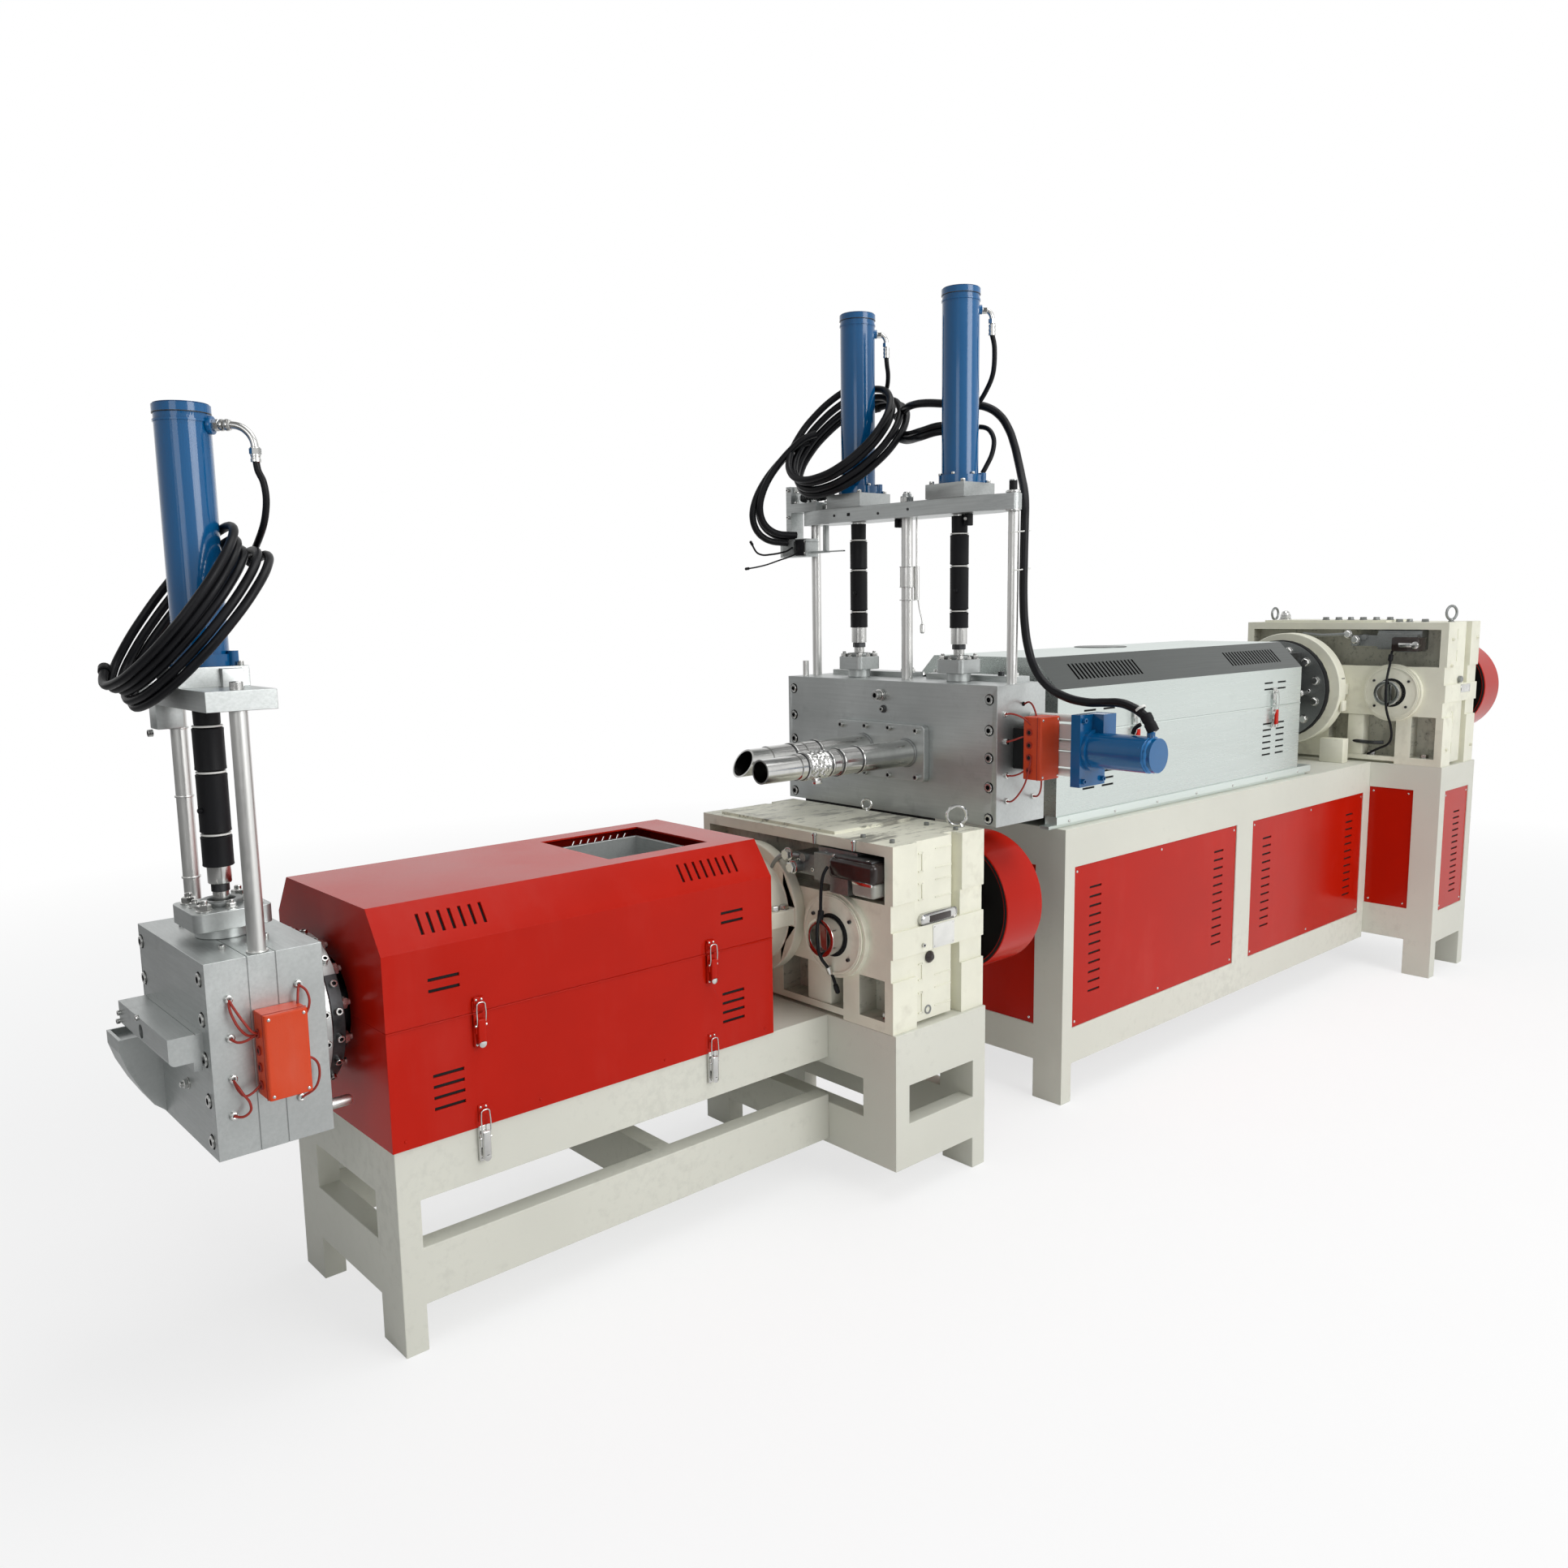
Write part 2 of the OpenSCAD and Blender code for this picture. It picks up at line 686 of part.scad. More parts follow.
// Bright toggle latches that hold the red cover down on the frame's face
module second_cover_latches() color(steel) placed()
    for (x = s_latches) {
        y = s_y - s_half;
        plate_h = latch_len * 1.05;
        step = s_half - s_frame_w / 2;
        bar([x - latch_w / 2, y - latch_t / 2, s_frame_h - plate_h],
            [x + latch_w / 2, y + step, s_frame_h - 4]);
        bar([x - latch_w / 2 - 3, y - latch_t, s_frame_h - 38], [x + latch_w / 2 + 3, y, s_frame_h + 16]);
        bar([x - latch_w / 4, y - latch_t / 2, s_frame_h + 16], [x + latch_w / 4, y, s_frame_h + 58]);
    }

m_half = m_cover_w / 2;
m_end_hole = m_heater_r + clearance;
m_slot_len = 61;
m_columns = [m_cover_x + 131, m_cover_x + 131 + 100, m_cover_end - 119 - 100 - m_slot_len + 3,
    m_cover_end - 119 - m_slot_len];
m_slope_pitch = 20;
m_latches = [m_cover_x + 400, m_cover_end - 208];

module main_cover_sill() color(steel) placed()
    for (side = [-1, 1]) {
        y = side * (m_half + 6);
        bar([m_cover_x - 3, min(y, y - side * 42), m_frame_h + 10],
            [m_cover_end + 96, max(y, y - side * 42), m_cover_z]);
        bar([m_cover_x - 30, min(y - side * 8, y - side * 42), m_frame_h],
            [m_cover_end + 70, max(y - side * 8, y - side * 42), m_frame_h + 10]);
    }

module main_cover_base() color(steel) placed() {
    difference() {
        half_shell_base([m_cover_x, 0, m_cover_z], m_cover_len, m_cover_w, m_cover_low);
        rod_x([m_cover_x - 1, 0, m_z], m_cover_len + 2, m_end_hole);
        for (x = m_columns, i = [0 : 5])
            wall_slots(x, 0, m_cover_z + 69 + i * 22, m_half, m_slot_len, vent_h - 1);
    }
    hinges(m_cover_x, m_cover_len, m_half, m_seam, false);
    for (x = m_latches)
        latch_lever(x, -m_half, m_seam);
}

module main_cover_lid() color(steel) placed() {
    low = m_seam + seam_gap;
    group = (m_slope_vents - 1) * m_slope_pitch;
    difference() {
        half_shell_lid([m_cover_x, 0, low], m_cover_len, m_cover_w, m_cover_wall - seam_gap,
                       m_cover_slope, m_slope_w);
        rod_x([m_cover_x - 1, 0, m_z], m_cover_len + 2, m_end_hole);
        for (x = m_columns, i = [0 : 1])
            wall_slots(x, 0, m_seam + 61 + i * 22, m_half, m_slot_len, vent_h - 1);
        for (x = [m_cover_x + 137, m_cover_end - 120 - group])
            slope_slots(x, 0, m_seam + m_cover_wall, m_half, m_cover_slope, m_slope_w,
                        m_slope_vents, m_slope_pitch, vent_h);
    }
    hinges(m_cover_x, m_cover_len, m_half, m_seam, true);
    for (x = m_latches)
        latch_catch(x, -m_half, m_seam);
}

// Barrels --------------------------------------------------------------------------------

throat_wall = 10;
// Barrel with heater bands, front flanges and a welded feed throat
module second_barrel() color(dark) placed() {
    x0 = s_inlet_x + clearance;
    x1 = s_inlet_x + s_inlet_len - clearance;
    mid = (x0 + x1) / 2;
    half = s_inlet_w / 2 - clearance;
    top = s_lid_top - 20;
    floor_z = s_z + s_heater_r + 8;
    end = s_stand_x - tube;
    bands = 3;
    band_pitch = (x0 - 40) / bands;
    difference() {
        union() {
            rod_x([-s_block_gap, s_y, s_z], end + s_block_gap, s_barrel_r);
            rod_x([-s_block_gap, s_y, s_z], flange_t, s_flange_r);
            rod_x([-s_block_gap + flange_t + 4, s_y, s_z], flange_t, s_flange_r - 10);
            for (i = [0 : bands - 1])
                rod_x([30 + i * band_pitch, s_y, s_z], band_pitch - 14, s_heater_r);
            bar([x0, s_y - half, floor_z], [x1, s_y + half, top]);
            rod_z([mid, s_y, s_z], floor_z - s_z + 1, s_throat_r + throat_wall);
        }
        bar([x0 + throat_wall, s_y - half + throat_wall, floor_z + throat_wall],
            [x1 - throat_wall, s_y + half - throat_wall, top + 1]);
        rod_z([mid, s_y, s_z], top - s_z, s_throat_r);
    }
}

module main_barrel() color(dark) placed() {
    start = m_block_x + m_block_len;
    bands = 7;
    band_pitch = (m_cover_len - 80) / bands;
    throat_x = (m_cover_end + m_ring_x) / 2;
    throat_top = m_z + m_barrel_r + 64;
    plate = m_throat_r + 50;
    difference() {
        union() {
            rod_x([start, 0, m_z], m_ring_x - start, m_barrel_r);
            rod_x([start, 0, m_z], flange_t * 1.5, s_flange_r);
            rod_x([start + flange_t * 1.5 + 4, 0, m_z], flange_t * 1.5, s_flange_r);
            rod_x([m_ring_x - flange_t - 8, 0, m_z], flange_t + 8, m_flange_r);
            for (i = [0 : bands - 1])
                rod_x([m_cover_x + 40 + i * band_pitch, 0, m_z], band_pitch - 20, m_heater_r);
            rod_z([throat_x, 0, m_z], throat_top - m_z, m_throat_r + 20);
            bar([throat_x - plate, -plate, throat_top - 30], [throat_x + plate, plate, throat_top]);
        }
        rod_z([throat_x, 0, m_z], throat_top, m_throat_r);
        for (sx = [-1, 1], sy = [-1, 1])
            rod_z([throat_x + sx * (plate - 18), sy * (plate - 18), throat_top - 31], 32, 7);
    }
}

// Gearboxes ------------------------------------------------------------------------------

// One storey of a gearbox's outline: corner blocks, middle field and a groove at each long side
module gear_storey(size, pad, field, groove) {
    l = size[0];
    w = size[1];
    field_x = pad_w;
    groove_x = l - pad_w - 32;
    translate([0, gear_pad]) square([l, w - 2 * gear_pad]);
    for (y = [gear_pad - pad, w - gear_pad])
        for (x = [0, l - pad_w])
            translate([x, y]) square([pad_w, pad]);
    for (y = [gear_pad - field, w - gear_pad])
        translate([field_x, y]) square([groove_x - field_x, field]);
}

// Cast housing: storeys of corner blocks, a split flange, pockets with ribs and feet
module gearbox(at, size, shaft_y, shaft_z, axis_y, adapter_r) {
    l = size[0];
    w = size[1];
    h = size[2];
    arch = 10;
    low = shaft_z - gear_band;
    high = shaft_z + gear_band + 10;
    groove_x = l - pad_w - 32;
    levels = [[0, low, gear_pad], [low, shaft_z - 34, gear_pad / 2], [shaft_z - 34, shaft_z + 34, gear_pad],
        [shaft_z + 34, high, gear_pad / 2], [high, h, gear_pad]];
    rib = 58;
    first = shaft_y - 75;
    translate(at) difference() {
        union() {
            for (z = levels)
                translate([0, 0, z[0]]) linear_extrude(z[1] - z[0])
                    gear_storey(size, z[2], gear_pad / 3, 0);
            for (y = [0, w - gear_pad])
                translate([6, y, shaft_z - 34]) cube([l - 12, gear_pad, 68]);
            rod_x([-16, shaft_y, shaft_z], 17, bearing_r);
            rod_x([-22, shaft_y, shaft_z], 7, bearing_r - 10);
            rod_x([l - 1, shaft_y, shaft_z], 23, bearing_r - 23);
            rod_x([l - 1, axis_y, shaft_z], 15, bearing_r);
            translate([20, w * 0.3, h - 1]) cube([l - 60, w * 0.62, 9]);
        }
        for (y = [-1, w - gear_pad - 22])
            for (z = [[-1, shaft_z - 34], [shaft_z + 34, h + 1]])
                translate([groove_x, y, z[0]]) cube([32, gear_pad + 23, z[1] - z[0]]);
        translate([-1, gear_rim, gear_rim]) cube([gear_pocket + 1, first - gear_rim, low - gear_rim]);
        translate([-1, first + rib, gear_rim])
            cube([gear_pocket + 1, axis_y - adapter_r - first - rib + 60, low - gear_rim]);
        translate([-1, gear_rim, high]) cube([gear_pocket + 1, w - 2 * gear_rim, h - high - gear_rim]);
        translate([pad_w, -1, -1]) cube([l - 2 * pad_w - 16, gear_pad + 31, arch + 1]);
        translate([-1, first + rib, -1]) cube([31, w - first - rib - pad_w, arch + 1]);
        rod_x([l - 80, shaft_y, shaft_z], 103, shaft_r + bore_play);
        rod_x([-23, shaft_y, shaft_z], 15, sleeve_ring_r);
    }
    translate(at) shaft_sleeve(shaft_y, shaft_z);
}

// Bright hollow sleeve at the free end of the input shaft, with a flat key inside
module shaft_sleeve(y, z) {
    wall = 9;
    difference() {
        rod_x([-sleeve_ring_out, y, z], sleeve_ring_out - 4, sleeve_ring_r);
        rod_x([-sleeve_ring_out - 1, y, z], sleeve_ring_out - 2 * wall, sleeve_ring_r - wall);
    }
    translate([-sleeve_ring_out + wall, y - 13, z - sleeve_ring_r + wall / 2])
        cube([sleeve_ring_out - 2 * wall, 26, 2 * sleeve_ring_r - wall]);
}

module second_gearbox() color(cream) placed()
    gearbox([s_stand_x, s_gear_front, s_frame_h], [s_gear_len, s_gear_w, s_gear_h],
            shaft_in, s_shaft_z - s_frame_h, s_y - s_gear_front, s_adapter_r);

module main_gearbox() color(cream) placed()
    gearbox([m_stand_x, m_gear_front, m_frame_h], [m_gear_len, m_gear_w, m_gear_h],
            m_shaft_y - m_gear_front, m_shaft_z - m_frame_h, -m_gear_front, m_flange_r);

// Split housing between the barrel and the gearbox, with a bolted belt
s_adapter_r = 148;
module second_adapter() color(cream) placed() {
    x0 = s_cover_end + clearance * 2;
    len = s_stand_x - x0;
    difference() {
        union() {
            rod_x([x0, s_y, s_z], len, s_adapter_r);
            rod_x([s_stand_x - 34, s_y, s_z], 34, s_adapter_r + 30);
            rod_x([x0, s_y, s_z], 22, s_adapter_r + 10);
            bar([x0, s_y - s_adapter_r - 22, s_z - 22], [s_stand_x, s_y + s_adapter_r + 22, s_z + 22]);
        }
        rod_x([x0 - 1, s_y, s_z], s_stand_x - tube - x0 + 1, s_barrel_r);
    }
}

module main_adapter() color(cream) placed() {
    collar = 26;
    ring = 60;
    body_r = m_flange_r + 3;
    rod_x([m_ring_x, 0, m_z], collar, m_flange_r - 20);
    rod_x([m_ring_x + collar, 0, m_z], ring, m_adapter_r);
    rod_x([m_ring_x + collar, 0, m_z], m_adapter_len - collar, body_r);
    bar([m_ring_x + collar + ring, -body_r - 10, m_z - 22], [m_stand_x, body_r + 10, m_z + 22]);
}

// Oil pump block that hangs in a gearbox's upper pocket
module oil_pump(x, y, z, w, h) {
    d = 46;
    bar([x - 2, y, z + h * 0.2], [x + gear_pocket, y + w * 0.62, z + h]);
    bar([x - d / 2, y + w * 0.25, z + h * 0.3], [x + gear_pocket, y + w * 0.6, z + h * 0.9]);
    bar([x - d * 0.7, y + w * 0.02, z + h * 0.12], [x + gear_pocket, y + w * 0.3, z + h * 0.86]);
    bar([x - 10, y + w * 0.55, z + h * 0.34], [x + gear_pocket, y + w, z + h * 0.8]);
    rod_x([x - 34, y + w * 0.9, z + h * 0.5], 40, 15);
    rod_x([x - 22, y + w * 0.8, z + h * 0.72], 30, 11);
}

module second_oil_pump() color(steel) placed()
    oil_pump(s_stand_x, s_gear_front + 118, s_gear_top - gear_rim - 122, 225, 118);

module main_oil_pump() color(steel) placed()
    oil_pump(m_stand_x, m_gear_front + 96, m_frame_h + m_gear_h - gear_rim - 96, 265, 92);

// Belt pulley with its shaft
module pulley(x, y, z) {
    hub = shaft_r + 24;
    web_x = x + pulley_gap + (pulley_w - pulley_web) / 2;
    difference() {
        rod_x([x + pulley_gap, y, z], pulley_w, pulley_r);
        difference() {
            rod_x([x + pulley_gap - 1, y, z], pulley_w + 2, pulley_r - pulley_rim);
            rod_x([web_x, y, z], pulley_web, pulley_r);
        }
    }
    rod_x([x + pulley_gap + 10, y, z], pulley_w - 20, hub);
    rod_x([x - 70, y, z], pulley_gap + pulley_w + 70, shaft_r);
}

module second_pulley() color(red) placed() pulley(s_end, s_shaft_y, s_shaft_z);
module main_pulley() color(red) placed() pulley(m_gear_end, m_shaft_y, m_shaft_z);

// Screen changers ------------------------------------------------------------------------

module second_screen_block() color(steel) placed() {
    half = s_block_w / 2;
    low = s_z - s_block_h / 2;
    seams = [s_block_len * 0.35, s_block_len * 0.59];
    difference() {
        bar([s_block_x, s_y - half, low], [s_block_x + s_block_len, s_y + half, s_block_top]);
        for (x = seams) {
            for (y = [-half, half])
                bar([s_block_x + x, s_y + y - seam_w, low - 1], [s_block_x + x + seam_w, s_y + y + seam_w, s_block_top + 1]);
            bar([s_block_x + x, s_y - half - 1, s_block_top - seam_w],
                [s_block_x + x + seam_w, s_y + half + 1, s_block_top + 1]);
        }
        rod_z([s_column, s_y, s_block_top - 130], 131, neck_r + 1);
    }
}

// Profile of the die head seen from the side: a rounded lower lip and a narrow tab
module die_outline() {
    lip = 12;
    difference() {
        square([die_out, die_h]);
        difference() {
            square([lip, lip]);
            translate([lip, lip]) circle(r = lip);
        }
    }
    translate([die_out * 0.68, -18]) square([die_out * 0.24, 19]);
}

module second_die_head() color(steel) placed() {
    near = s_y - die_w / 2 - 10;
    chute_y = s_y + s_block_w / 2 - chute_w - 5;
    chute_low = s_z - s_block_h / 2;
    chute_top = s_z - 18;
    difference() {
        translate([s_block_x - die_out, near + die_w, s_z]) rotate([90, 0, 0])
            linear_extrude(die_w) die_outline();
        bar([s_block_x - 14, near - 1, s_z + die_h - seam_w], [s_block_x - 14 + seam_w, near + die_w + 1, s_z + die_h + 1]);
        rod_x([s_block_x - die_out - 1, s_y, s_z + die_h / 2], 31, 14);
    }
    difference() {
        translate([s_block_x, chute_y + chute_w, 0]) rotate([90, 0, 0]) linear_extrude(chute_w)
            polygon([
                [0, chute_top], [-chute_out, chute_top], [-chute_out, chute_top - 26],
                [-chute_out * 0.86, chute_top - 62], [-chute_out * 0.6, chute_top - 106],
                [-chute_out * 0.3, chute_top - 146], [0, chute_low + 3]
            ]);
        translate([s_block_x - chute_out * 0.92, chute_y + 4, chute_top - 12])
            cube([chute_out * 0.92 - 6, chute_w - 8, 13]);
    }
}

// Terminal box with rounded upright edges on a dark heater block
module terminal_box(x, y, z, side, back) {
    y0 = side < 0 ? y - back - box_d : y + back;
    translate([x, y0, z - box_h / 2]) translate([0, box_d / 2, 0])
        linear_extrude(box_h) rounded(box_w, box_d, 5);
    if (back > 0)
        bar([x - box_w * 0.3, min(y, y + side * (back + 1)), z - box_h * 0.36],
            [x + box_w * 0.3, max(y, y + side * (back + 1)), z + box_h * 0.3]);
}

module terminal_boxes() color("orangered") placed()
    for (side = [-1, 1]) {
        terminal_box(s_column + 16, s_y + side * s_block_w / 2, s_z + 4, side, 0);
        terminal_box(m_block_mid - 12, side * m_block_w / 2, m_z - 4, side, side < 0 ? box_back : 0);
    }

module crown_nut(x, y, z, r) {
    rod_z([x, y, z], nut_h, r);
    rod_z([x, y, z + nut_h - 1], 7, r * 0.7);
}

module second_guide_rods() color(steel) placed()
    for (side = [-1, 1]) {
        y = s_y + side * s_rod_span / 2;
        rod_z([s_column, y, s_block_top], s_rod_len, s_rod_r);
    }

module second_crosshead() color(steel) placed()
    difference() {
        union() {
            bar([s_column - s_head_w / 2, s_y - s_rod_span / 2 - 25, s_head_z],
                [s_column + s_head_w / 2, s_y + s_rod_span / 2 + 25, s_head_z + head_t]);
            bar([s_column - s_jack_plate_w / 2, s_y - s_jack_plate_w / 2, s_head_z + head_t],
                [s_column + s_jack_plate_w / 2, s_y + s_jack_plate_w / 2, s_head_z + head_t + jack_plate_t]);
            bar([s_column + 10, s_y - s_jack_plate_w / 2 - 14, s_head_z + head_t],
                [s_column + 50, s_y - s_jack_plate_w / 2, s_head_z + head_t + jack_plate_t - 4]);
        }
        rod_z([s_column, s_y, s_head_z - 1], head_t + jack_plate_t + 2, piston_r + bore_play);
    }

// Direction in which the hose ports of the upright cylinders point
port_turn = -42;
port_dir = [cos(port_turn), sin(port_turn), 0];
port_out = jack_r + 6;
s_port_down = 39;
m_port_down = 54;
foot_port_out = jack_r + 11;
foot_port_h = 6;
// Hydraulic cylinder on its foot ring, open below for the piston rod, with two ports
module jack(x, y, z, len, port_down) {
    top = z + jack_foot_h + len;
    bore = 190;
    difference() {
        union() {
            rod_z([x, y, z], jack_foot_h, jack_r + jack_foot);
            rod_z([x, y, z], jack_foot_h + len - 10, jack_r);
            rod_z([x, y, top - cap_h - 16], 4, jack_r + 2);
            rod_z([x, y, top - cap_h], cap_h - 3, jack_r + 2);
            rod_z([x, y, top - 3], 3, jack_r - 2);
            translate([x, y, top - port_down]) rotate([0, 90, port_turn])
                cylinder(h = port_out, r = fitting_r + 4);
            translate([x, y, z] + foot_port_out * port_dir)
                cylinder(h = jack_foot_h + foot_port_h, r = fitting_r + 2);
        }
        rod_z([x, y, z - 1], bore, piston_r + bore_play);
    }
}

module second_cylinder() color(blue) placed()
    jack(s_column, s_y, s_jack_z, s_jack_len, s_port_down);

module main_cylinders() color(blue) placed()
    for (side = [-1, 1])
        jack(m_column, side * m_ram_span / 2, m_jack_z, m_jack_len, m_port_down);

// Ram: a neck that enters the block, a bright coupling and the piston rod
module ram(x, y, block_top, jack_z, sleeve_low) {
    rod_z([x, y, block_top - 60], sleeve_low - coupling_len - block_top + 61, neck_r);
    rod_z([x, y, sleeve_low - coupling_len], coupling_len, coupling_r);
    rod_z([x, y, sleeve_low - 1], jack_z - sleeve_low + 120, piston_r);
}

// Rubber sleeve in three lengths with grooves where it is tied
module sleeve(x, y, low, high, r) {
    groove = 5;
    difference() {
        rod_z([x, y, low], high - low, r);
        rod_z([x, y, low - 1], high - low + 2, piston_r);
        for (share = [0.32, 0.68])
            translate([x, y, low + share * (high - low)]) difference() {
                cylinder(h = groove, r = r + 1);
                translate([0, 0, -1]) cylinder(h = groove + 2, r = r - 3);
            }
    }
}

module second_ram() color(steel) placed()
    ram(s_column, s_y, s_block_top, s_jack_z, s_sleeve_low);
module second_ram_sleeve() color(black) placed()
    sleeve(s_column, s_y, s_sleeve_low, s_head_z - sleeve_gap, s_sleeve_r);

module near_ram() color(steel) placed()
    ram(m_column, -m_ram_span / 2, m_block_top, m_jack_z, m_sleeve_low);
module near_ram_sleeve() color(black) placed()
    sleeve(m_column, -m_ram_span / 2, m_sleeve_low, m_head_z - sleeve_gap, m_sleeve_r);
module far_ram() color(steel) placed()
    ram(m_column, m_ram_span / 2, m_block_top, m_jack_z, m_sleeve_low);
module far_ram_sleeve() color(black) placed()
    sleeve(m_column, m_ram_span / 2, m_sleeve_low, m_head_z - sleeve_gap, m_sleeve_r);

// Gland plate on a round collar
module gland(x, y, z, w) {
    difference() {
        union() {
            rod_z([x, y, z], gland_collar_h, w * 0.36);
            translate([x, y, z + gland_collar_h - 1]) linear_extrude(gland_plate_h + 1)
                rounded(w, w, gland_round);
        }
        rod_z([x, y, z - 1], gland_collar_h + gland_plate_h + 2, coupling_r + 1);
    }
}

module glands() color(steel) placed() {
    gland(s_column, s_y, s_block_top, s_gland_w);
    for (side = [-1, 1])
        gland(m_column, side * m_ram_span / 2, m_block_top, m_gland_w);
}

module main_screen_block() color(steel) placed() {
    ledge = 15;
    difference() {
        union() {
            bar([m_block_x, -m_block_w / 2, m_block_top - m_block_h],
                [m_block_x + m_block_len, m_block_w / 2, m_block_top]);
            for (side = [-1, 1])
                bar([m_block_mid + 40, min(side * 30, side * (m_rod_span / 2 - 20)), m_block_top - 1],
                    [m_block_x + m_block_len - 6, max(side * 30, side * (m_rod_span / 2 - 20)), m_block_top + ledge]);
        }
        for (side = [-1, 1])
            rod_z([m_column, side * m_ram_span / 2, m_block_top - 130], 131, neck_r + 1);
    }
}

module outlet_plate() color(steel) placed()
    translate([m_block_x, 0, outlet_z]) rotate([0, -90, 0])
        linear_extrude(outlet_plate_t) rounded(outlet_h, outlet_w, 14);

// Two outlet pipes in sleeved lengths; the far one has an oblique mouth
module outlet_pipes() color(steel) placed() {
    x = m_block_x - outlet_plate_t;
    step = 2.5;
    for (p = [[-pipe_span / 2 - 20, near_pipe_r, near_pipe_len, 0], [pipe_span / 2 - 20, far_pipe_r, far_pipe_len, 30]])
        difference() {
            union() {
                rod_x([x - p[2], p[0], outlet_z], p[2], p[1] - 2 * step);
                rod_x([x - p[2] * 0.78, p[0], outlet_z], p[2] * 0.78, p[1] - step);
                rod_x([x - p[2] * 0.52, p[0], outlet_z], p[2] * 0.52, p[1]);
                rod_x([x - p[2] * 0.3, p[0], outlet_z], p[2] * 0.3, p[1] - step);
            }
            rod_x([x - p[2] - 1, p[0], outlet_z], p[2] - 7, p[1] - 2 * step - pipe_wall);
            if (p[3] > 0)
                translate([x - p[2], p[0], outlet_z + p[1]]) rotate([0, p[3], 0])
                    cube([p[1] * 2, p[1] * 3, p[1] * 4.2], center = true);
        }
}

// The middle rod carries a clamp with a slim gas spring beside it
module main_guide_rods() color(steel) placed() {
    clamp_z = m_block_top + m_rod_len * 0.58;
    clamp_r = 20;
    spring_r = 8;
    spring = [m_column, 0, 0] + (clamp_r + spring_r - 1) * port_dir;
    for (i = [-1, 0, 1])
        rod_z([m_column, i * m_rod_span / 2, m_block_top], m_rod_len, i == 0 ? m_rod_r + 2 : m_rod_r);
    rod_z([m_column, 0, clamp_z], 53, clamp_r);
    translate(spring + [0, 0, clamp_z - 38]) cylinder(h = 94, r = spring_r);
    translate(spring + [0, 0, clamp_z + 50]) cylinder(h = m_head_z - clamp_z - 50, r = 2.5);
    rod_z([m_block_x + 30, m_rod_span / 2 - 18, m_block_top], 46, 9);
}

// Beam on the rods: tapered ends, jack plates, crown nuts and a capped boss at the near end
module main_crosshead() color(steel) placed() {
    ram = m_ram_span / 2;
    mid = 55;
    tip = 28;
    out = m_rod_span / 2 + 22;
    boss_r = m_rod_r + 3;
    difference() {
        union() {
            translate([m_column, 0, m_head_z]) linear_extrude(m_head_t) polygon([
                [-mid, -ram - 90], [-tip, -out], [4, -out], [tip, -out + 26], [mid, -ram - 90],
                [mid, ram + 90], [tip, out], [-tip, out], [-mid, ram + 90]
            ]);
            for (side = [-1, 1])
                translate([m_column - m_jack_plate_l / 2, side * ram - m_jack_plate_w / 2, m_head_z + m_head_t])
                    cube([m_jack_plate_l, m_jack_plate_w, jack_plate_t]);
            rod_z([m_column - tip + boss_r, -m_rod_span / 2 - 6, m_head_z - 4], m_head_t + 12, boss_r);
            rod_z([m_column - tip + boss_r, -m_rod_span / 2 - 6, m_head_z + m_head_t + 7], 28, 10);
            for (i = [0, 1])
                crown_nut(m_column, i * (m_rod_span / 2 - 66), m_head_z + m_head_t, nut_r - 3);
        }
        for (side = [-1, 1])
            rod_z([m_column, side * ram, m_head_z - 1], m_head_t + jack_plate_t + 2, piston_r + bore_play);
        rod_z([m_column, -m_rod_span / 2, m_head_z - 5], 5, m_rod_r);
    }
}

// Valve and limit switch at the far end of the crosshead
module valve_block() color(steel) placed() {
    end = m_rod_span / 2 + 22;
    top = m_head_z + m_head_t;
    x = m_column - 10;
    plate = valve_back - 22;
    bar([x - 30, end - 66, top], [x + 30, plate, top + 26]);
    bar([x - 10, end - 36, top + 24], [x + 10, end - 6, top + 36]);
    rod_y([x, end - 59, top + 44], 85, 11);
    bar([x - 30, plate, top - 80], [x + 20, valve_back, top + 78]);
    bar([x - 56, end - 48, m_head_z - 92], [x - 6, valve_back, m_head_z - 39]);
}

// Side cylinder that stands off the near end of the main block on spacers
module side_spacers() color("white") placed() {
    near = -m_block_w / 2;
    x = m_block_mid + 30;
    for (side = [-1, 1])
        bar([x, near - side_gap, m_z + side * 36 - 19], [x + 18, near, m_z + side * 36 + 19]);
    for (z = [-71, 0, 71])
        rod_y([x + 12, near - side_gap, m_z + z], side_gap, z == 0 ? 14 : spacer_r);
}

module side_cylinder() color(blue) placed() {
    bar([m_block_mid - side_flange_w / 2, side_y, m_z - side_flange_h / 2],
        [m_block_mid + side_flange_w / 2, side_y + side_flange_t, m_z + side_flange_h / 2]);
    bar([m_block_mid, side_y - 30, m_z + side_jack_r * 0.7],
        [m_block_mid + side_flange_w / 2, side_y + 1, m_z + side_flange_h / 2]);
    rod_y([m_block_mid, side_y - 10, m_z], 11, side_jack_r + 8);
    rod_y([m_block_mid, side_y - side_jack_len, m_z], side_jack_len, side_jack_r - 3);
    rod_y([m_block_mid, side_y - side_jack_len + 22, m_z], side_jack_len - 22, side_jack_r);
    rod_z([m_block_mid, side_y - side_jack_len + side_port_in, m_z], side_jack_r + 12, fitting_r + 2);
}

// Hoses ----------------------------------------------------------------------------------

function unit(v) = v / norm(v);

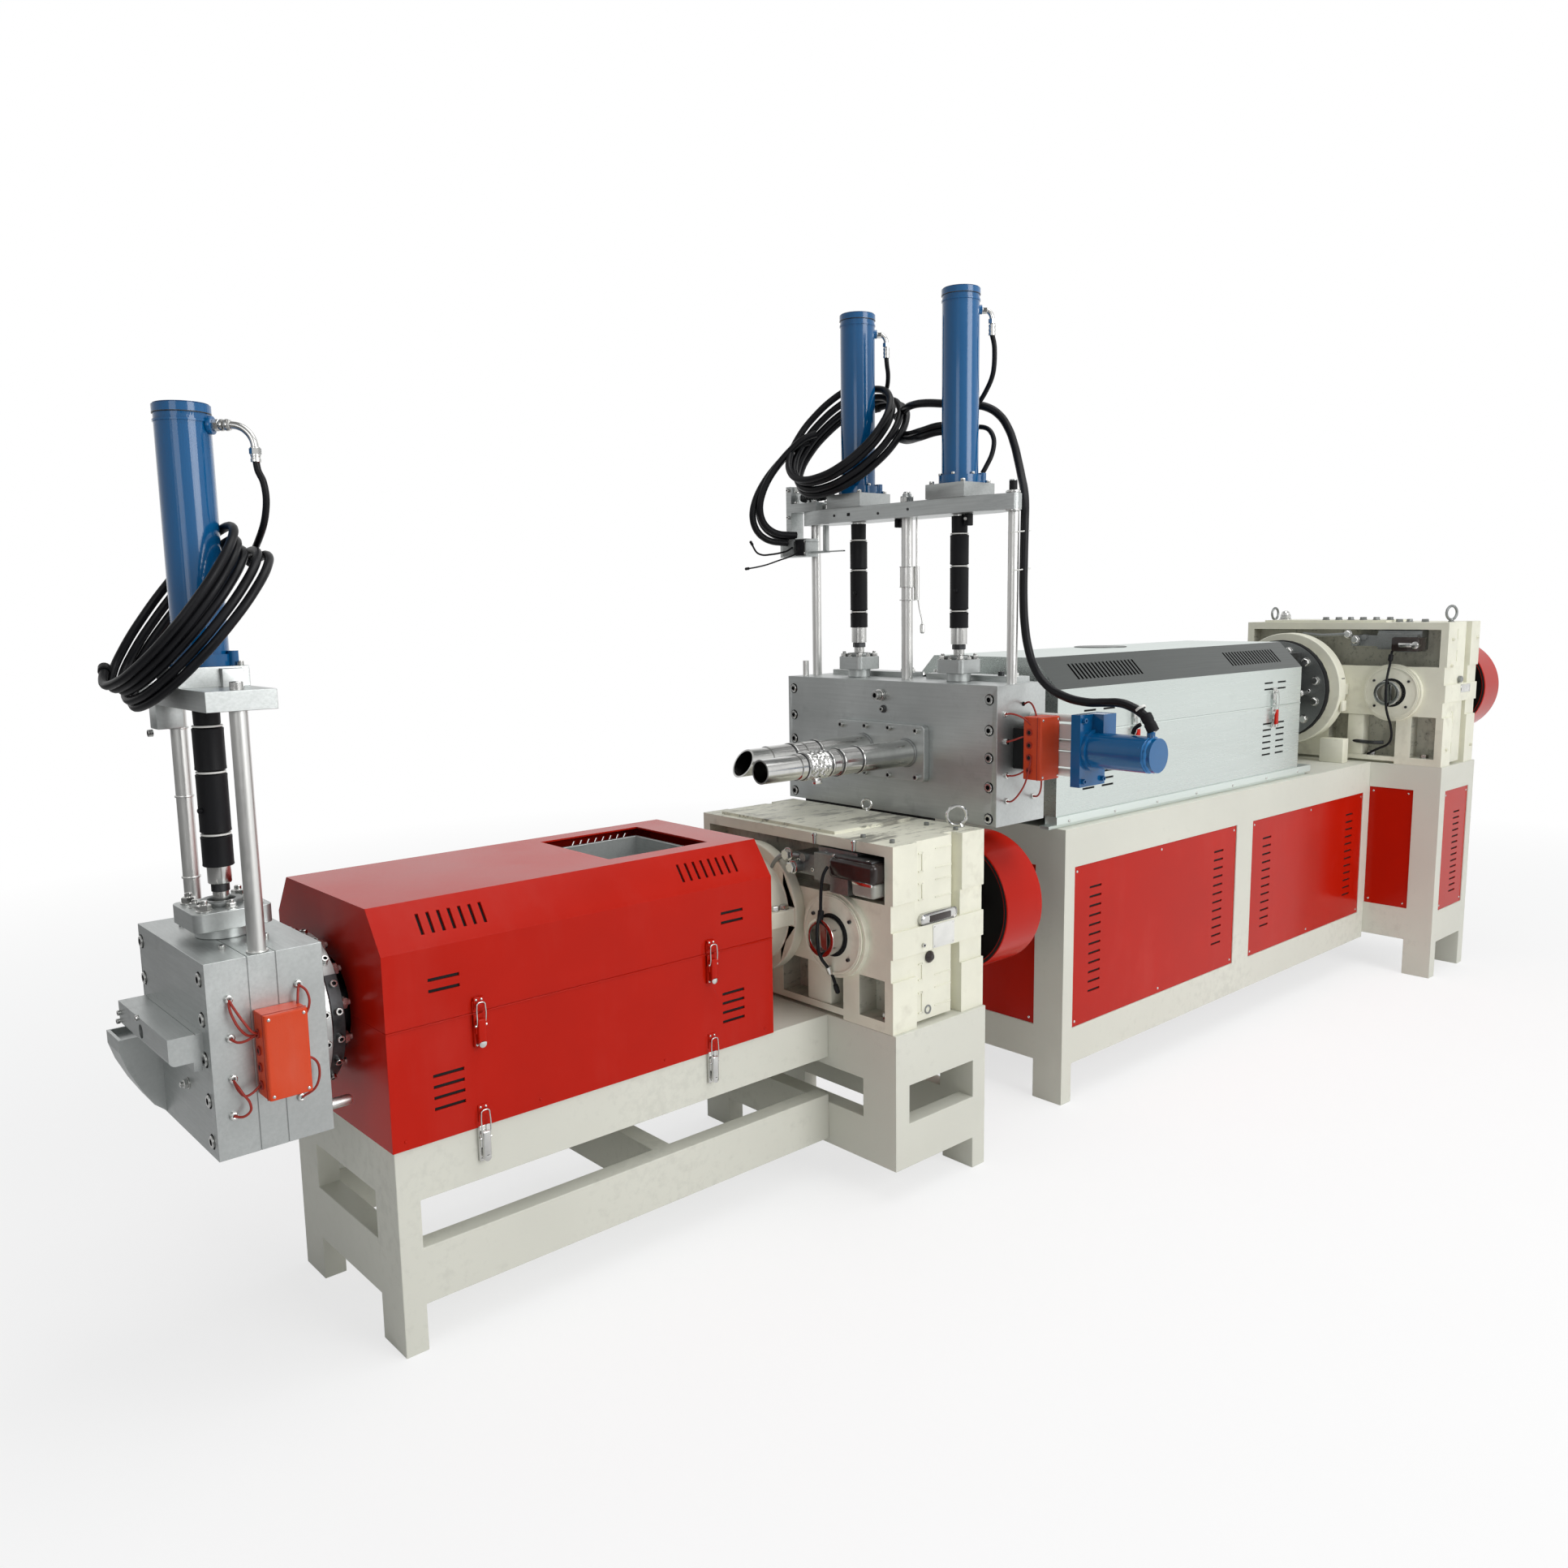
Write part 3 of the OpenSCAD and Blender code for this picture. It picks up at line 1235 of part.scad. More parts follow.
// Points on a smooth curve through the chosen ones
function curve_at(p, i, t) =
    let (a = p[max(i - 1, 0)], b = p[i], c = p[i + 1], d = p[min(i + 2, len(p) - 1)])
    0.5 * (2 * b + (c - a) * t + (2 * a - 5 * b + 4 * c - d) * t * t + (3 * b - a - 3 * c + d) * t * t * t);
function curve(p, steps) = concat(
    [for (i = [0 : len(p) - 2], s = [0 : steps - 1]) curve_at(p, i, s / steps)], [p[len(p) - 1]]);

// Side directions carried along a path without twist
function tangent(p, i) = unit(p[min(i + 1, len(p) - 1)] - p[max(i - 1, 0)]);
function carry(p, i, n) = unit(n - (n * tangent(p, i)) * tangent(p, i));
function sides(p, i = 0, n = [0.8, 0.6, 0.05]) =
    i >= len(p) ? [] : let (m = carry(p, i, n)) concat([m], sides(p, i + 1, m));

// A round hose along a path
hose_sides = 10;
module hose(points, r, steps = 3) {
    path = curve(points, steps);
    side = sides(path);
    n = hose_sides;
    last = (len(path) - 1) * n;
    rings = [for (i = [0 : len(path) - 1], k = [0 : n - 1])
        let (a = k * 360 / n) path[i] + r * (cos(a) * side[i] + sin(a) * cross(tangent(path, i), side[i]))];
    walls = [for (i = [0 : len(path) - 2], k = [0 : n - 1])
        let (j = (k + 1) % n) [i * n + j, i * n + k, (i + 1) * n + k, (i + 1) * n + j]];
    ends = [[for (k = [0 : n - 1]) k], [for (k = [n - 1 : -1 : 0]) last + k]];
    polyhedron(points = rings, faces = concat(walls, ends), convexity = 8);
}

// A coil of several turns as one closed loop: half axes a and b, half width w along its axis
coil_rings = 32;
module coil(mid, a, b, w, t) {
    n = hose_sides;
    axis = unit(cross(a, b));
    rings = [for (i = [0 : coil_rings - 1], k = [0 : n - 1])
        let (u = i * 360 / coil_rings, v = k * 360 / n, out = cos(u) * a + sin(u) * b)
        mid + out + w * sin(v) * axis + t * cos(v) * unit(out)];
    walls = [for (i = [0 : coil_rings - 1], k = [0 : n - 1])
        let (j = (k + 1) % n, m = (i + 1) % coil_rings) [i * n + k, i * n + j, m * n + j, m * n + k]];
    polyhedron(points = rings, faces = walls, convexity = 8);
}

// A place beside a column: out towards the ports, back behind it, and up
back_dir = [-sin(port_turn), cos(port_turn), 0];
function beside(column, out, back, z) = column + out * port_dir + back * back_dir + [0, 0, z];

s_axis = [s_column, s_y, 0];
near_axis = [m_column, -m_ram_span / 2, 0];
far_axis = [m_column, m_ram_span / 2, 0];
s_port_z = s_jack_z + jack_foot_h + s_jack_len - s_port_down;
m_port_z = m_jack_z + jack_foot_h + m_jack_len - m_port_down;
side_port_in = 22;
side_port = [m_block_mid, side_y - side_jack_len + side_port_in, m_z + side_jack_r + 12];

// Elbow at a port: a straight adapter, a quarter bend and a ferrule that points down
function elbow(column, z, straight, bend, ferrule) = concat(
    [beside(column, port_out, 0, z)],
    [for (a = [0 : 22.5 : 90]) beside(column, port_out + straight + bend * sin(a), 0, z - bend * (1 - cos(a)))],
    [beside(column, port_out + straight + bend, 0, z - bend - ferrule)]);

s_elbow = [34, 42, 46];
m_elbow = [3, 24, 44];
foot_port_z = m_jack_z + jack_foot_h + foot_port_h;
module hose_fittings() color(steel) placed() {
    hose(elbow(s_axis, s_port_z, s_elbow[0], s_elbow[1], s_elbow[2]), fitting_r, 1);
    for (axis = [near_axis, far_axis])
        hose(elbow(axis, m_port_z, m_elbow[0], m_elbow[1], m_elbow[2]), fitting_r, 1);
    translate(side_port) cylinder(h = 14, r = fitting_r + 3);
}

s_drop_out = port_out + s_elbow[0] + s_elbow[1];
s_drop_z = s_port_z - s_elbow[1] - s_elbow[2];
m_drop_out = port_out + m_elbow[0] + m_elbow[1];
m_drop_z = m_port_z - m_elbow[1] - m_elbow[2];

// Coils that hang round the cylinders, high behind them and low in front
s_coil = [[-22, -14, 1490], [128, 0, 130], [-52, 115, 50]];
far_coil = [[-36, 10, 1966], [132, 0, 120], [-55, 115, 57]];
module cylinder_coil(column, c, w, t) {
    coil(beside(column, c[0][0], c[0][1], c[0][2]), beside([0, 0, 0], c[1][0], c[1][1], c[1][2]),
         beside([0, 0, 0], c[2][0], c[2][1], c[2][2]), w, t);
}

module second_hose() color(black) placed() {
    hose([beside(s_axis, s_drop_out, 0, s_drop_z), beside(s_axis, s_drop_out, 0, s_drop_z - 22),
        beside(s_axis, 127, 6, 1718), beside(s_axis, 111, 14, 1690), beside(s_axis, 96, 20, 1650),
        beside(s_axis, 92, 16, 1622)], hose_r);
    cylinder_coil(s_axis, s_coil, 24, 11);
}

module far_hose() color(black) placed() {
    hose([beside(far_axis, m_drop_out, 0, m_drop_z), beside(far_axis, m_drop_out + 6, 0, m_drop_z - 26),
        beside(far_axis, m_drop_out + 2, 14, 2140), beside(far_axis, 76, 30, 2098)], hose_r);
    cylinder_coil(far_axis, far_coil, 28, 12);
    hose([beside(far_axis, -128, 96, 1985), beside(far_axis, -165, 93, 1968), beside(far_axis, -208, 89, 1929),
        beside(far_axis, -252, 85, 1873), beside(far_axis, -288, 83, 1812), beside(far_axis, -303, 88, 1765),
        beside(far_axis, -290, 100, 1722), beside(far_axis, -250, 114, 1704), beside(far_axis, -190, 134, 1704)], 22);
}

module near_hose() color(black) placed() {
    bundle = beside(near_axis, 8, 74, 1968);
    hose([beside(near_axis, m_drop_out, 0, m_drop_z), beside(near_axis, m_drop_out + 7, 0, m_drop_z - 30),
        beside(near_axis, 88, 10, 2100), beside(near_axis, 74, 30, 2058), beside(near_axis, 50, 52, 2020), bundle], hose_r);
    hose([beside(near_axis, foot_port_out, 0, foot_port_z), beside(near_axis, foot_port_out + 8, 0, foot_port_z + 14),
        beside(near_axis, 88, 2, 1888), beside(near_axis, 93, 6, 1928), beside(near_axis, 82, 20, 1968),
        beside(near_axis, 52, 52, 1985), bundle], hose_r);
    hose([bundle, beside(near_axis, -56, 76, 1963), beside(near_axis, -100, 130, 1950),
        beside(far_axis, 130, -60, 1964), beside(far_axis, 100, -10, 1982)], 14);
}

module side_hose() color(black) placed()
    hose([beside(far_axis, 108, 0, 2030), beside(far_axis, 140, -40, 2042), beside(near_axis, -120, 150, 2040),
        beside(near_axis, -56, 82, 2034), beside(near_axis, 0, 80, 2026), beside(near_axis, 52, 74, 2024),
        beside(near_axis, 84, 68, 2020), beside(near_axis, 108, 62, 2004), beside(near_axis, 126, 54, 1976),
        beside(near_axis, 140, 36, 1938), beside(near_axis, 149, 5, 1896), beside(near_axis, 157, -30, 1848),
        beside(near_axis, 160, -64, 1806), beside(near_axis, 156, -96, 1768), beside(near_axis, 150, -120, 1720),
        beside(near_axis, 148, -134, 1640), beside(near_axis, 148, -136, 1500), beside(near_axis, 152, -138, 1436),
        beside(near_axis, 160, -144, 1380), beside(near_axis, 174, -160, 1328), beside(near_axis, 197, -194, 1286),
        beside(near_axis, 229, -244, 1260), beside(near_axis, 276, -304, 1247), beside(near_axis, 320, -356, 1248),
        beside(near_axis, 360, -394, 1250), beside(near_axis, 386, -418, 1240), side_port + [0, 0, 40],
        side_port + [0, 0, 14.3]], run_r);

second_frame();
second_gearbox_stand();
second_cover_base();
second_cover_lid();
second_cover_latches();
second_barrel();
second_gearbox();
second_adapter();
second_oil_pump();
second_pulley();
second_screen_block();
second_die_head();
terminal_boxes();
second_guide_rods();
second_crosshead();
second_cylinder();
second_ram();
second_ram_sleeve();
glands();
main_frame();
main_gearbox_stand();
main_side_panels();
main_cover_sill();
main_cover_base();
main_cover_lid();
main_barrel();
main_adapter();
main_gearbox();
main_oil_pump();
main_pulley();
main_screen_block();
outlet_plate();
outlet_pipes();
main_guide_rods();
main_crosshead();
main_cylinders();
near_ram();
near_ram_sleeve();
far_ram();
far_ram_sleeve();
valve_block();
side_spacers();
side_cylinder();
hose_fittings();
second_hose();
far_hose();
near_hose();
side_hose();
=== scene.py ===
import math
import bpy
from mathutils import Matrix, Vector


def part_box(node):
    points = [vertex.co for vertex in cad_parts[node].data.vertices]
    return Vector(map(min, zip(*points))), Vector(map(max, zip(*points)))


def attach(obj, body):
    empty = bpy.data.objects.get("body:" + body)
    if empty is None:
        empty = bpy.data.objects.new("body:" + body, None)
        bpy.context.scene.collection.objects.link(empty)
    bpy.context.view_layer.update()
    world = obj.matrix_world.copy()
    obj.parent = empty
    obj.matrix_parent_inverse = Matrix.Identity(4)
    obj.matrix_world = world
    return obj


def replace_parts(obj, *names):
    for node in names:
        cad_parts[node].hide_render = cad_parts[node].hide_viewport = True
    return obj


bl_info = {
    "name": "Plastic Recycling Line",
    "version": (1, 0, 0),
    "blender": (4, 5, 0),
    "location": "View3D > Sidebar > Recycling Line",
    "description": "Dresses a two-stage plastic recycling extruder with its hoses, bolts, leads and finishes",
    "category": "Object",
}

import bpy
from bpy.props import FloatProperty, FloatVectorProperty, IntProperty, PointerProperty
from mathutils import Matrix, Vector

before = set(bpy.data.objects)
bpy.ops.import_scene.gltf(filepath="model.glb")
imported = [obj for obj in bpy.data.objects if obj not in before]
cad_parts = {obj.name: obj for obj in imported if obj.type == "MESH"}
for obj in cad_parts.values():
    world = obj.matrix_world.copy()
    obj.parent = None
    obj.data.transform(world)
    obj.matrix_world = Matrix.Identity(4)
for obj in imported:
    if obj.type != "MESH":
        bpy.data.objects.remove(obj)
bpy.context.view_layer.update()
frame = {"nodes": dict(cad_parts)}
CAD = frame["nodes"]

# Places are given in millimetres from the foot of the line, as in the part's source
MM = 0.001
FOOT = Vector((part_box("second_frame")[0].x,
               (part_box("main_frame")[0].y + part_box("main_frame")[1].y) / 2, 0))


def point(place):
    """A place in millimetres as a point of the frame in metres."""
    return FOOT + Vector(place) * MM


def local_box(node):
    """Lowest and highest corner of a CAD node, in millimetres from the foot of the line."""
    low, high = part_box(node)
    return (low - FOOT) / MM, (high - FOOT) / MM


def middle(node):
    """Middle of a CAD node, in millimetres."""
    low, high = local_box(node)
    return (low + high) / 2


UP, LEFT, RIGHT, FRONT, BEHIND = (0, 0, 1), (-1, 0, 0), (1, 0, 0), (0, -1, 0), (0, 1, 0)


def raised(z):
    """A step straight up."""
    return Vector((0, 0, z))


# ---------------------------------------------------------------- sizes and colours


def linear(*channels):
    """A screen colour, given from 0 to 1, as the linear colour that shaders use."""
    return tuple(c / 12.92 if c <= 0.04045 else ((c + 0.055) / 1.055) ** 2.4 for c in channels)


def colour(name, description, *channels):
    return FloatVectorProperty(name=name, description=description, subtype="COLOR", size=3,
                               min=0, max=1, default=linear(*channels))


def size(name, description, default, low=0.5, high=400):
    return FloatProperty(name=name, description=description + ", in millimetres", default=default,
                         min=low, max=high)


class LineColours(bpy.types.PropertyGroup):
    """Paints, metals and rubbers of the line"""
    frame: colour("Frame paint", "Pale grey paint of the two frames", 0.83, 0.83, 0.785)
    red: colour("Red paint", "Paint of the second cover, the panels and the pulleys", 0.71, 0.10, 0.03)
    cream: colour("Gearbox paint", "Thick paint on the cast gearboxes", 0.915, 0.91, 0.84)
    blue: colour("Cylinder paint", "Gloss paint of the hydraulic cylinders", 0.02, 0.35, 0.56)
    orange: colour("Terminal box paint", "Paint of the terminal boxes", 0.82, 0.26, 0.09)
    machined: colour("Machined steel", "Milled steel of blocks and crossheads", 0.76, 0.775, 0.77)
    stainless: colour("Stainless sheet", "Brushed sheet of the main cover", 0.80, 0.83, 0.815)
    chrome: colour("Bright steel", "Polished pipes, rods and fittings", 0.82, 0.82, 0.81)
    dark: colour("Dark steel", "Blackened bolts, flanges and barrels", 0.25, 0.255, 0.26)
    rubber: colour("Hose rubber", "Cover of the hydraulic hoses", 0.05, 0.052, 0.065)
    lead: colour("Lead sleeve", "Heat-proof sleeve of the heater leads", 0.62, 0.16, 0.10)
    white: colour("White plastic", "Ties and spacer bars", 0.90, 0.90, 0.88)


class LineSizes(bpy.types.PropertyGroup):
    """Sizes of the pieces that are added to the frame"""
    thin_hose: size("Thin hose", "Diameter of the hoses at the cylinder ports", 13, 8, 20)
    coil_hose: size("Coiled hose", "Diameter of the hose coiled round a cylinder", 19, 12, 26)
    run_hose: size("Run hose", "Diameter of the hose to the side cylinder", 22, 14, 28)
    turns: IntProperty(name="Coil turns", description="Whole turns of a hose coil", default=3, min=1, max=5)
    edge: size("Edge radius", "Rounding of sawn and folded edges", 1.6, 0.5, 4)
    casting_edge: size("Casting radius", "Rounding of cast edges", 4, 1, 8)
    block_bolt: size("Block bolt", "Diameter of the socket screws in the screen blocks", 24, 10, 36)
    heater_lead: size("Heater lead", "Diameter of a heater lead's sleeve", 6, 3, 10)


# ---------------------------------------------------------------- shading


class Value:
    """A shader value that Python's arithmetic works on."""

    def __init__(self, finish, socket):
        self.finish = finish
        self.socket = socket

    def _maths(self, operation, first, second):
        return self.finish.node("ShaderNodeMath", {"operation": operation}, {0: first, 1: second})

    def __add__(self, other):
        return self._maths("ADD", self, other)

    __radd__ = __add__

    def __rsub__(self, other):
        return self._maths("SUBTRACT", other, self)

    def __mul__(self, other):
        return self._maths("MULTIPLY", self, other)

    __rmul__ = __mul__


class Finish:
    """One material, or the world, built node by node."""

    def __init__(self, name, world=None):
        self.material = world or bpy.data.materials.new(name)
        self.material.use_nodes = True
        self.tree = self.material.node_tree
        self.tree.nodes.clear()
        self.coords = self.node("ShaderNodeTexCoord", output="Object")

    def node(self, kind, settings=None, values=None, output=0):
        """A node with its settings, the values or links of its sockets, and the output that is wanted."""
        made = self.tree.nodes.new(kind)
        for key, setting in (settings or {}).items():
            setattr(made, key, setting)
        for key, value in (values or {}).items():
            socket = made.inputs[key]
            if isinstance(value, Value):
                self.tree.links.new(value.socket, socket)
            elif hasattr(value, "__len__") and len(value) == 3 and socket.type == "RGBA":
                socket.default_value = (*value, 1)
            else:
                socket.default_value = value
        return Value(self, made.outputs[output])

    def noise(self, scale, detail=3, roughness=0.5, stretch=(1, 1, 1)):
        """Cloudy noise, stretched along the axes."""
        place = self.node("ShaderNodeMapping", None, {"Vector": self.coords, "Scale": stretch})
        return self.node("ShaderNodeTexNoise", None, {"Vector": place, "Scale": scale, "Detail": detail,
                                                       "Roughness": roughness}, "Fac")

    def between(self, value, low, high, start=0.0, end=1.0):
        """The value's range from low to high, spread from start to end."""
        return self.node("ShaderNodeMapRange", None, {"Value": value, "From Min": low, "From Max": high,
                                                       "To Min": start, "To Max": end})

    def mix(self, share, first, second):
        """A colour between two others."""
        made = self.tree.nodes.new("ShaderNodeMix")
        made.data_type = "RGBA"
        for key, value in (("Factor_Float", share), ("A_Color", first), ("B_Color", second)):
            socket = next(s for s in made.inputs if s.identifier == key)
            if isinstance(value, Value):
                self.tree.links.new(value.socket, socket)
            elif hasattr(value, "__len__"):
                socket.default_value = (*value, 1)
            else:
                socket.default_value = value
        return Value(self, next(s for s in made.outputs if s.identifier == "Result_Color"))

    def bump(self, height, distance, strength=1.0):
        return self.node("ShaderNodeBump", None, {"Height": height, "Distance": distance, "Strength": strength},
                         "Normal")

    def surface(self, **values):
        """The finished shader, from Base Color, Roughness and the others, spaces written as _."""
        shader = self.node("ShaderNodeBsdfPrincipled", None,
                           {key.replace("_", " "): value for key, value in values.items()}, "BSDF")
        self.node_output(shader)
        return self.material

    def node_output(self, shader, kind="ShaderNodeOutputMaterial"):
        out = self.tree.nodes.new(kind)
        self.tree.links.new(shader.socket, out.inputs["Surface"])


def shade(base, amount):
    """A darker or lighter version of a colour."""
    return tuple(min(max(c * amount, 0), 1) for c in base)


def gloss_paint(name, base, roughness=0.26, peel=0.00012, coat=0.0, dirt=0.10, shine=0.26):
    """Sprayed paint: orange peel, faint patches, dust in streaks."""
    f = Finish(name)
    patches = f.noise(2.6, 4, 0.55)
    streaks = f.noise(9, 5, 0.6, (1, 1, 0.18))
    dust = f.between(streaks * patches, 0.26, 0.42)
    base_colour = f.mix(f.between(patches, 0.35, 0.7), shade(base, 0.93), shade(base, 1.05))
    base_colour = f.mix(dust * dirt, base_colour, (0.42, 0.40, 0.36))
    peel_height = f.noise(420, 2, 0.5)
    return f.surface(Base_Color=base_colour, Roughness=f.between(patches, 0.3, 0.7, roughness - 0.05,
                                                                 roughness + 0.09),
                     Coat_Weight=coat, Coat_Roughness=0.06, Specular_IOR_Level=shine,
                     Normal=f.bump(peel_height, peel))


def frame_paint(name, base):
    """Brushed-on frame paint: soft sheen, thin drips along the tubes, scuffs and grime."""
    f = Finish(name)
    broad = f.noise(1.8, 3, 0.5)
    fine = f.noise(38, 6, 0.62)
    grime = f.between(broad * fine, 0.30, 0.42)
    tone = f.mix(f.between(broad, 0.3, 0.7), shade(base, 0.94), shade(base, 1.04))
    tone = f.mix(grime * 0.22, tone, shade(base, 0.62))
    brushed = f.noise(130, 4, 0.6, (0.25, 0.25, 1))
    return f.surface(Base_Color=tone, Roughness=f.between(fine, 0.3, 0.7, 0.42, 0.58),
                     Specular_IOR_Level=0.45, Normal=f.bump(brushed, 0.0002))


def cast_paint(name, base, wear=0.0):
    """Thick paint over a sand casting: grainy, uneven, greasy in patches, bare where it is worn."""
    f = Finish(name)
    grain = f.noise(240, 4, 0.65)
    lumps = f.noise(26, 3, 0.5)
    broad = f.noise(3.4, 5, 0.6)
    tone = f.mix(f.between(broad, 0.3, 0.72), shade(base, 0.86), shade(base, 1.05))
    tone = f.mix(f.between(lumps * broad, 0.30, 0.46) * 0.30, tone, (0.40, 0.37, 0.28))
    metal = 0.0
    rough = f.between(broad, 0.3, 0.7, 0.38, 0.56)
    if wear:
        scraped = f.noise(7, 8, 0.68, (0.45, 1.6, 1))
        bare = f.between(scraped, 0.52, 0.60) * wear
        tone = f.mix(bare, tone, (0.36, 0.35, 0.30))
        tone = f.mix(f.between(f.noise(46, 6, 0.7, (0.3, 1.2, 1)), 0.55, 0.66) * wear * 0.8, tone, (0.10, 0.10, 0.08))
        metal = bare * 0.45
    height = grain * 0.4 + lumps
    return f.surface(Base_Color=tone, Roughness=rough, Metallic=metal, Specular_IOR_Level=0.5,
                     Normal=f.bump(height, 0.0009, 0.55))


def milled_steel(name, base, along=(1, 1, 1), roughness=0.36, marks=0.5, stain=0.25):
    """Milled or ground steel: tool marks one way, clouds of haze, rubbed places."""
    f = Finish(name)
    lines = f.noise(900, 2, 0.7, along)
    broad_lines = f.noise(160, 3, 0.6, along)
    clouds = f.noise(4.2, 5, 0.55)
    tone = f.mix(f.between(clouds, 0.3, 0.7), shade(base, 0.80), shade(base, 1.06))
    tone = f.mix(f.between(broad_lines, 0.35, 0.65) * marks, tone, shade(base, 0.72))
    tone = f.mix(f.between(f.noise(17, 6, 0.7), 0.56, 0.72) * stain, tone, shade(base, 0.42))
    return f.surface(Base_Color=tone, Metallic=0.86, Specular_IOR_Level=0.5,
                     Roughness=f.between(lines * 0.6 + clouds * 0.4, 0.3, 0.7, roughness - 0.07, roughness + 0.13),
                     Normal=f.bump(lines + broad_lines * 0.5, 0.00008 * marks))


def brushed_sheet(name, base, roughness=0.27):
    """Stainless sheet brushed along the line, with soft broad bands and a few handling marks."""
    f = Finish(name)
    brush = f.noise(300, 3, 0.6, (0.015, 1, 1))
    bands = f.noise(1.3, 2, 0.4, (0.5, 1, 1.6))
    tone = f.mix(f.between(bands, 0.3, 0.7), shade(base, 0.90), shade(base, 1.06))
    tone = f.mix(f.between(brush, 0.3, 0.7) * 0.05, tone, shade(base, 0.75))
    marks = f.between(f.noise(5, 6, 0.7), 0.60, 0.74)
    return f.surface(Base_Color=f.mix(marks * 0.16, tone, shade(base, 0.6)), Metallic=0.9, Specular_IOR_Level=0.5,
                     Roughness=f.between(brush * 0.7 + bands * 0.3, 0.3, 0.7, roughness - 0.05, roughness + 0.09),
                     Normal=f.bump(brush, 0.000012))


def bright_steel(name, base, along=(1, 1, 1), roughness=0.13, smudge=0.3):
    """Polished steel with fine turning lines and darker smudges."""
    f = Finish(name)
    lines = f.noise(700, 2, 0.6, along)
    smears = f.noise(11, 6, 0.65)
    tone = f.mix(f.between(smears, 0.42, 0.68) * smudge, base, shade(base, 0.45))
    rough = f.between(smears * 0.6 + lines * 0.4, 0.3, 0.7, roughness - 0.05, roughness + 0.16)
    return f.surface(Base_Color=tone, Metallic=1.0, Roughness=rough, Normal=f.bump(lines, 0.00005))


def dark_steel(name, base):
    """Blackened, oily steel."""
    f = Finish(name)
    clouds = f.noise(24, 5, 0.6)
    scale = f.noise(210, 3, 0.6)
    tone = f.mix(f.between(clouds, 0.35, 0.68), shade(base, 0.55), shade(base, 1.9))
    return f.surface(Base_Color=tone, Metallic=0.75, Roughness=f.between(clouds, 0.3, 0.7, 0.28, 0.5),
                     Normal=f.bump(scale, 0.0002))


def hose_rubber(name, base, roughness=0.36):
    """Rubber hose: fine wrap ribs, dusty and oily patches."""
    f = Finish(name)
    dust = f.noise(13, 5, 0.6)
    weave = f.noise(700, 2, 0.6)
    tone = f.mix(f.between(dust, 0.45, 0.75) * 0.6, base, shade(base, 2.2))
    return f.surface(Base_Color=tone, Roughness=f.between(dust, 0.3, 0.72, roughness - 0.08, roughness + 0.16),
                     Specular_IOR_Level=0.22, Normal=f.bump(weave, 0.00018))


def plain_plastic(name, base, roughness=0.4):
    """Moulded plastic with a fine grain and handling marks."""
    f = Finish(name)
    marks = f.noise(15, 5, 0.6)
    tone = f.mix(f.between(marks, 0.4, 0.7), shade(base, 0.88), base)
    return f.surface(Base_Color=tone, Roughness=f.between(marks, 0.3, 0.7, roughness - 0.06, roughness + 0.1),
                     Normal=f.bump(f.noise(500, 2), 0.0001))


# Each finish: the record's slot that it belongs to, its maker, its colour (one that the user sets, or a fixed one),
# how much lighter than that it is, and the maker's other values
FINISHES = {
    "frame_paint": ("frame_paint", frame_paint, "frame", 1),
    "red_paint": ("red_paint", gloss_paint, "red", 1, 0.18, 0.00008, 0.0, 0.02, 0.13),
    "cream_paint": ("cream_paint", cast_paint, "cream", 1),
    "worn_cream": ("cream_paint", cast_paint, "cream", 1, 1.0),
    # Darker cream with worn spots: real grime and wear, and painted shade in recesses
    "grimy_cream": ("cream_paint", cast_paint, "cream", 0.62, 0.75),
    "blue_paint": ("blue_paint", gloss_paint, "blue", 1, 0.15, 0.00006, 0.4, 0.03, 0.3),
    "pale_blue": ("blue_paint", gloss_paint, linear(0.20, 0.48, 0.72), 1, 0.2, 0.0004, 0.0, 0.2),
    "dark_gloss": ("dark_steel", gloss_paint, (0.030, 0.022, 0.020), 1, 0.12, 0.00005, 0.3, 0.1),
    "orange_paint": ("orange_paint", gloss_paint, "orange", 1, 0.35, 0.00015, 0.0, 0.08),
    "block_steel": ("brushed_steel", milled_steel, "machined", 1, (1, 0.04, 1), 0.34, 0.35),
    "head_steel": ("brushed_steel", milled_steel, "machined", 1, (1, 0.03, 1.4), 0.34, 0.6),
    "dull_steel": ("dark_steel", milled_steel, "machined", 0.55, (1, 1, 1), 0.4, 0.6, 0.5),
    "stainless": ("brushed_steel", brushed_sheet, "stainless", 1),
    # A darker and a lighter copy of the stainless sheet: painted shade and painted light
    "stainless_shade": ("brushed_steel", brushed_sheet, "stainless", 0.20, 0.32),
    "stainless_light": ("brushed_steel", brushed_sheet, "stainless", 1.2, 0.4),
    "rod_steel": ("chromed_steel", bright_steel, "chrome", 1.08, (1, 1, 0.05), 0.3, 0.08),
    "bright_steel": ("chromed_steel", bright_steel, "chrome", 1),
    "pipe_steel": ("chromed_steel", bright_steel, "chrome", 1, (1, 0.1, 0.1), 0.12, 0.4),
    "dark_steel": ("dark_steel", dark_steel, "dark", 1),
    "hose_rubber": ("black_rubber", hose_rubber, "rubber", 1),
    "sleeve_rubber": ("black_rubber", hose_rubber, "rubber", 0.9, 0.5),
    # Near-black rubber: the colour of real black parts, and also painted shade in slots, sockets, gaps and hollows
    "black_gap": ("dark_steel", hose_rubber, "dark", 0.2, 0.7),
    "lead_sleeve": ("orange_paint", plain_plastic, "lead", 1, 0.5),
    "white_plastic": ("white_paint", plain_plastic, "white", 1, 0.4),
    "cup_plastic": ("white_paint", plain_plastic, (0.36, 0.36, 0.32), 1, 0.16),
}


MADE = {}


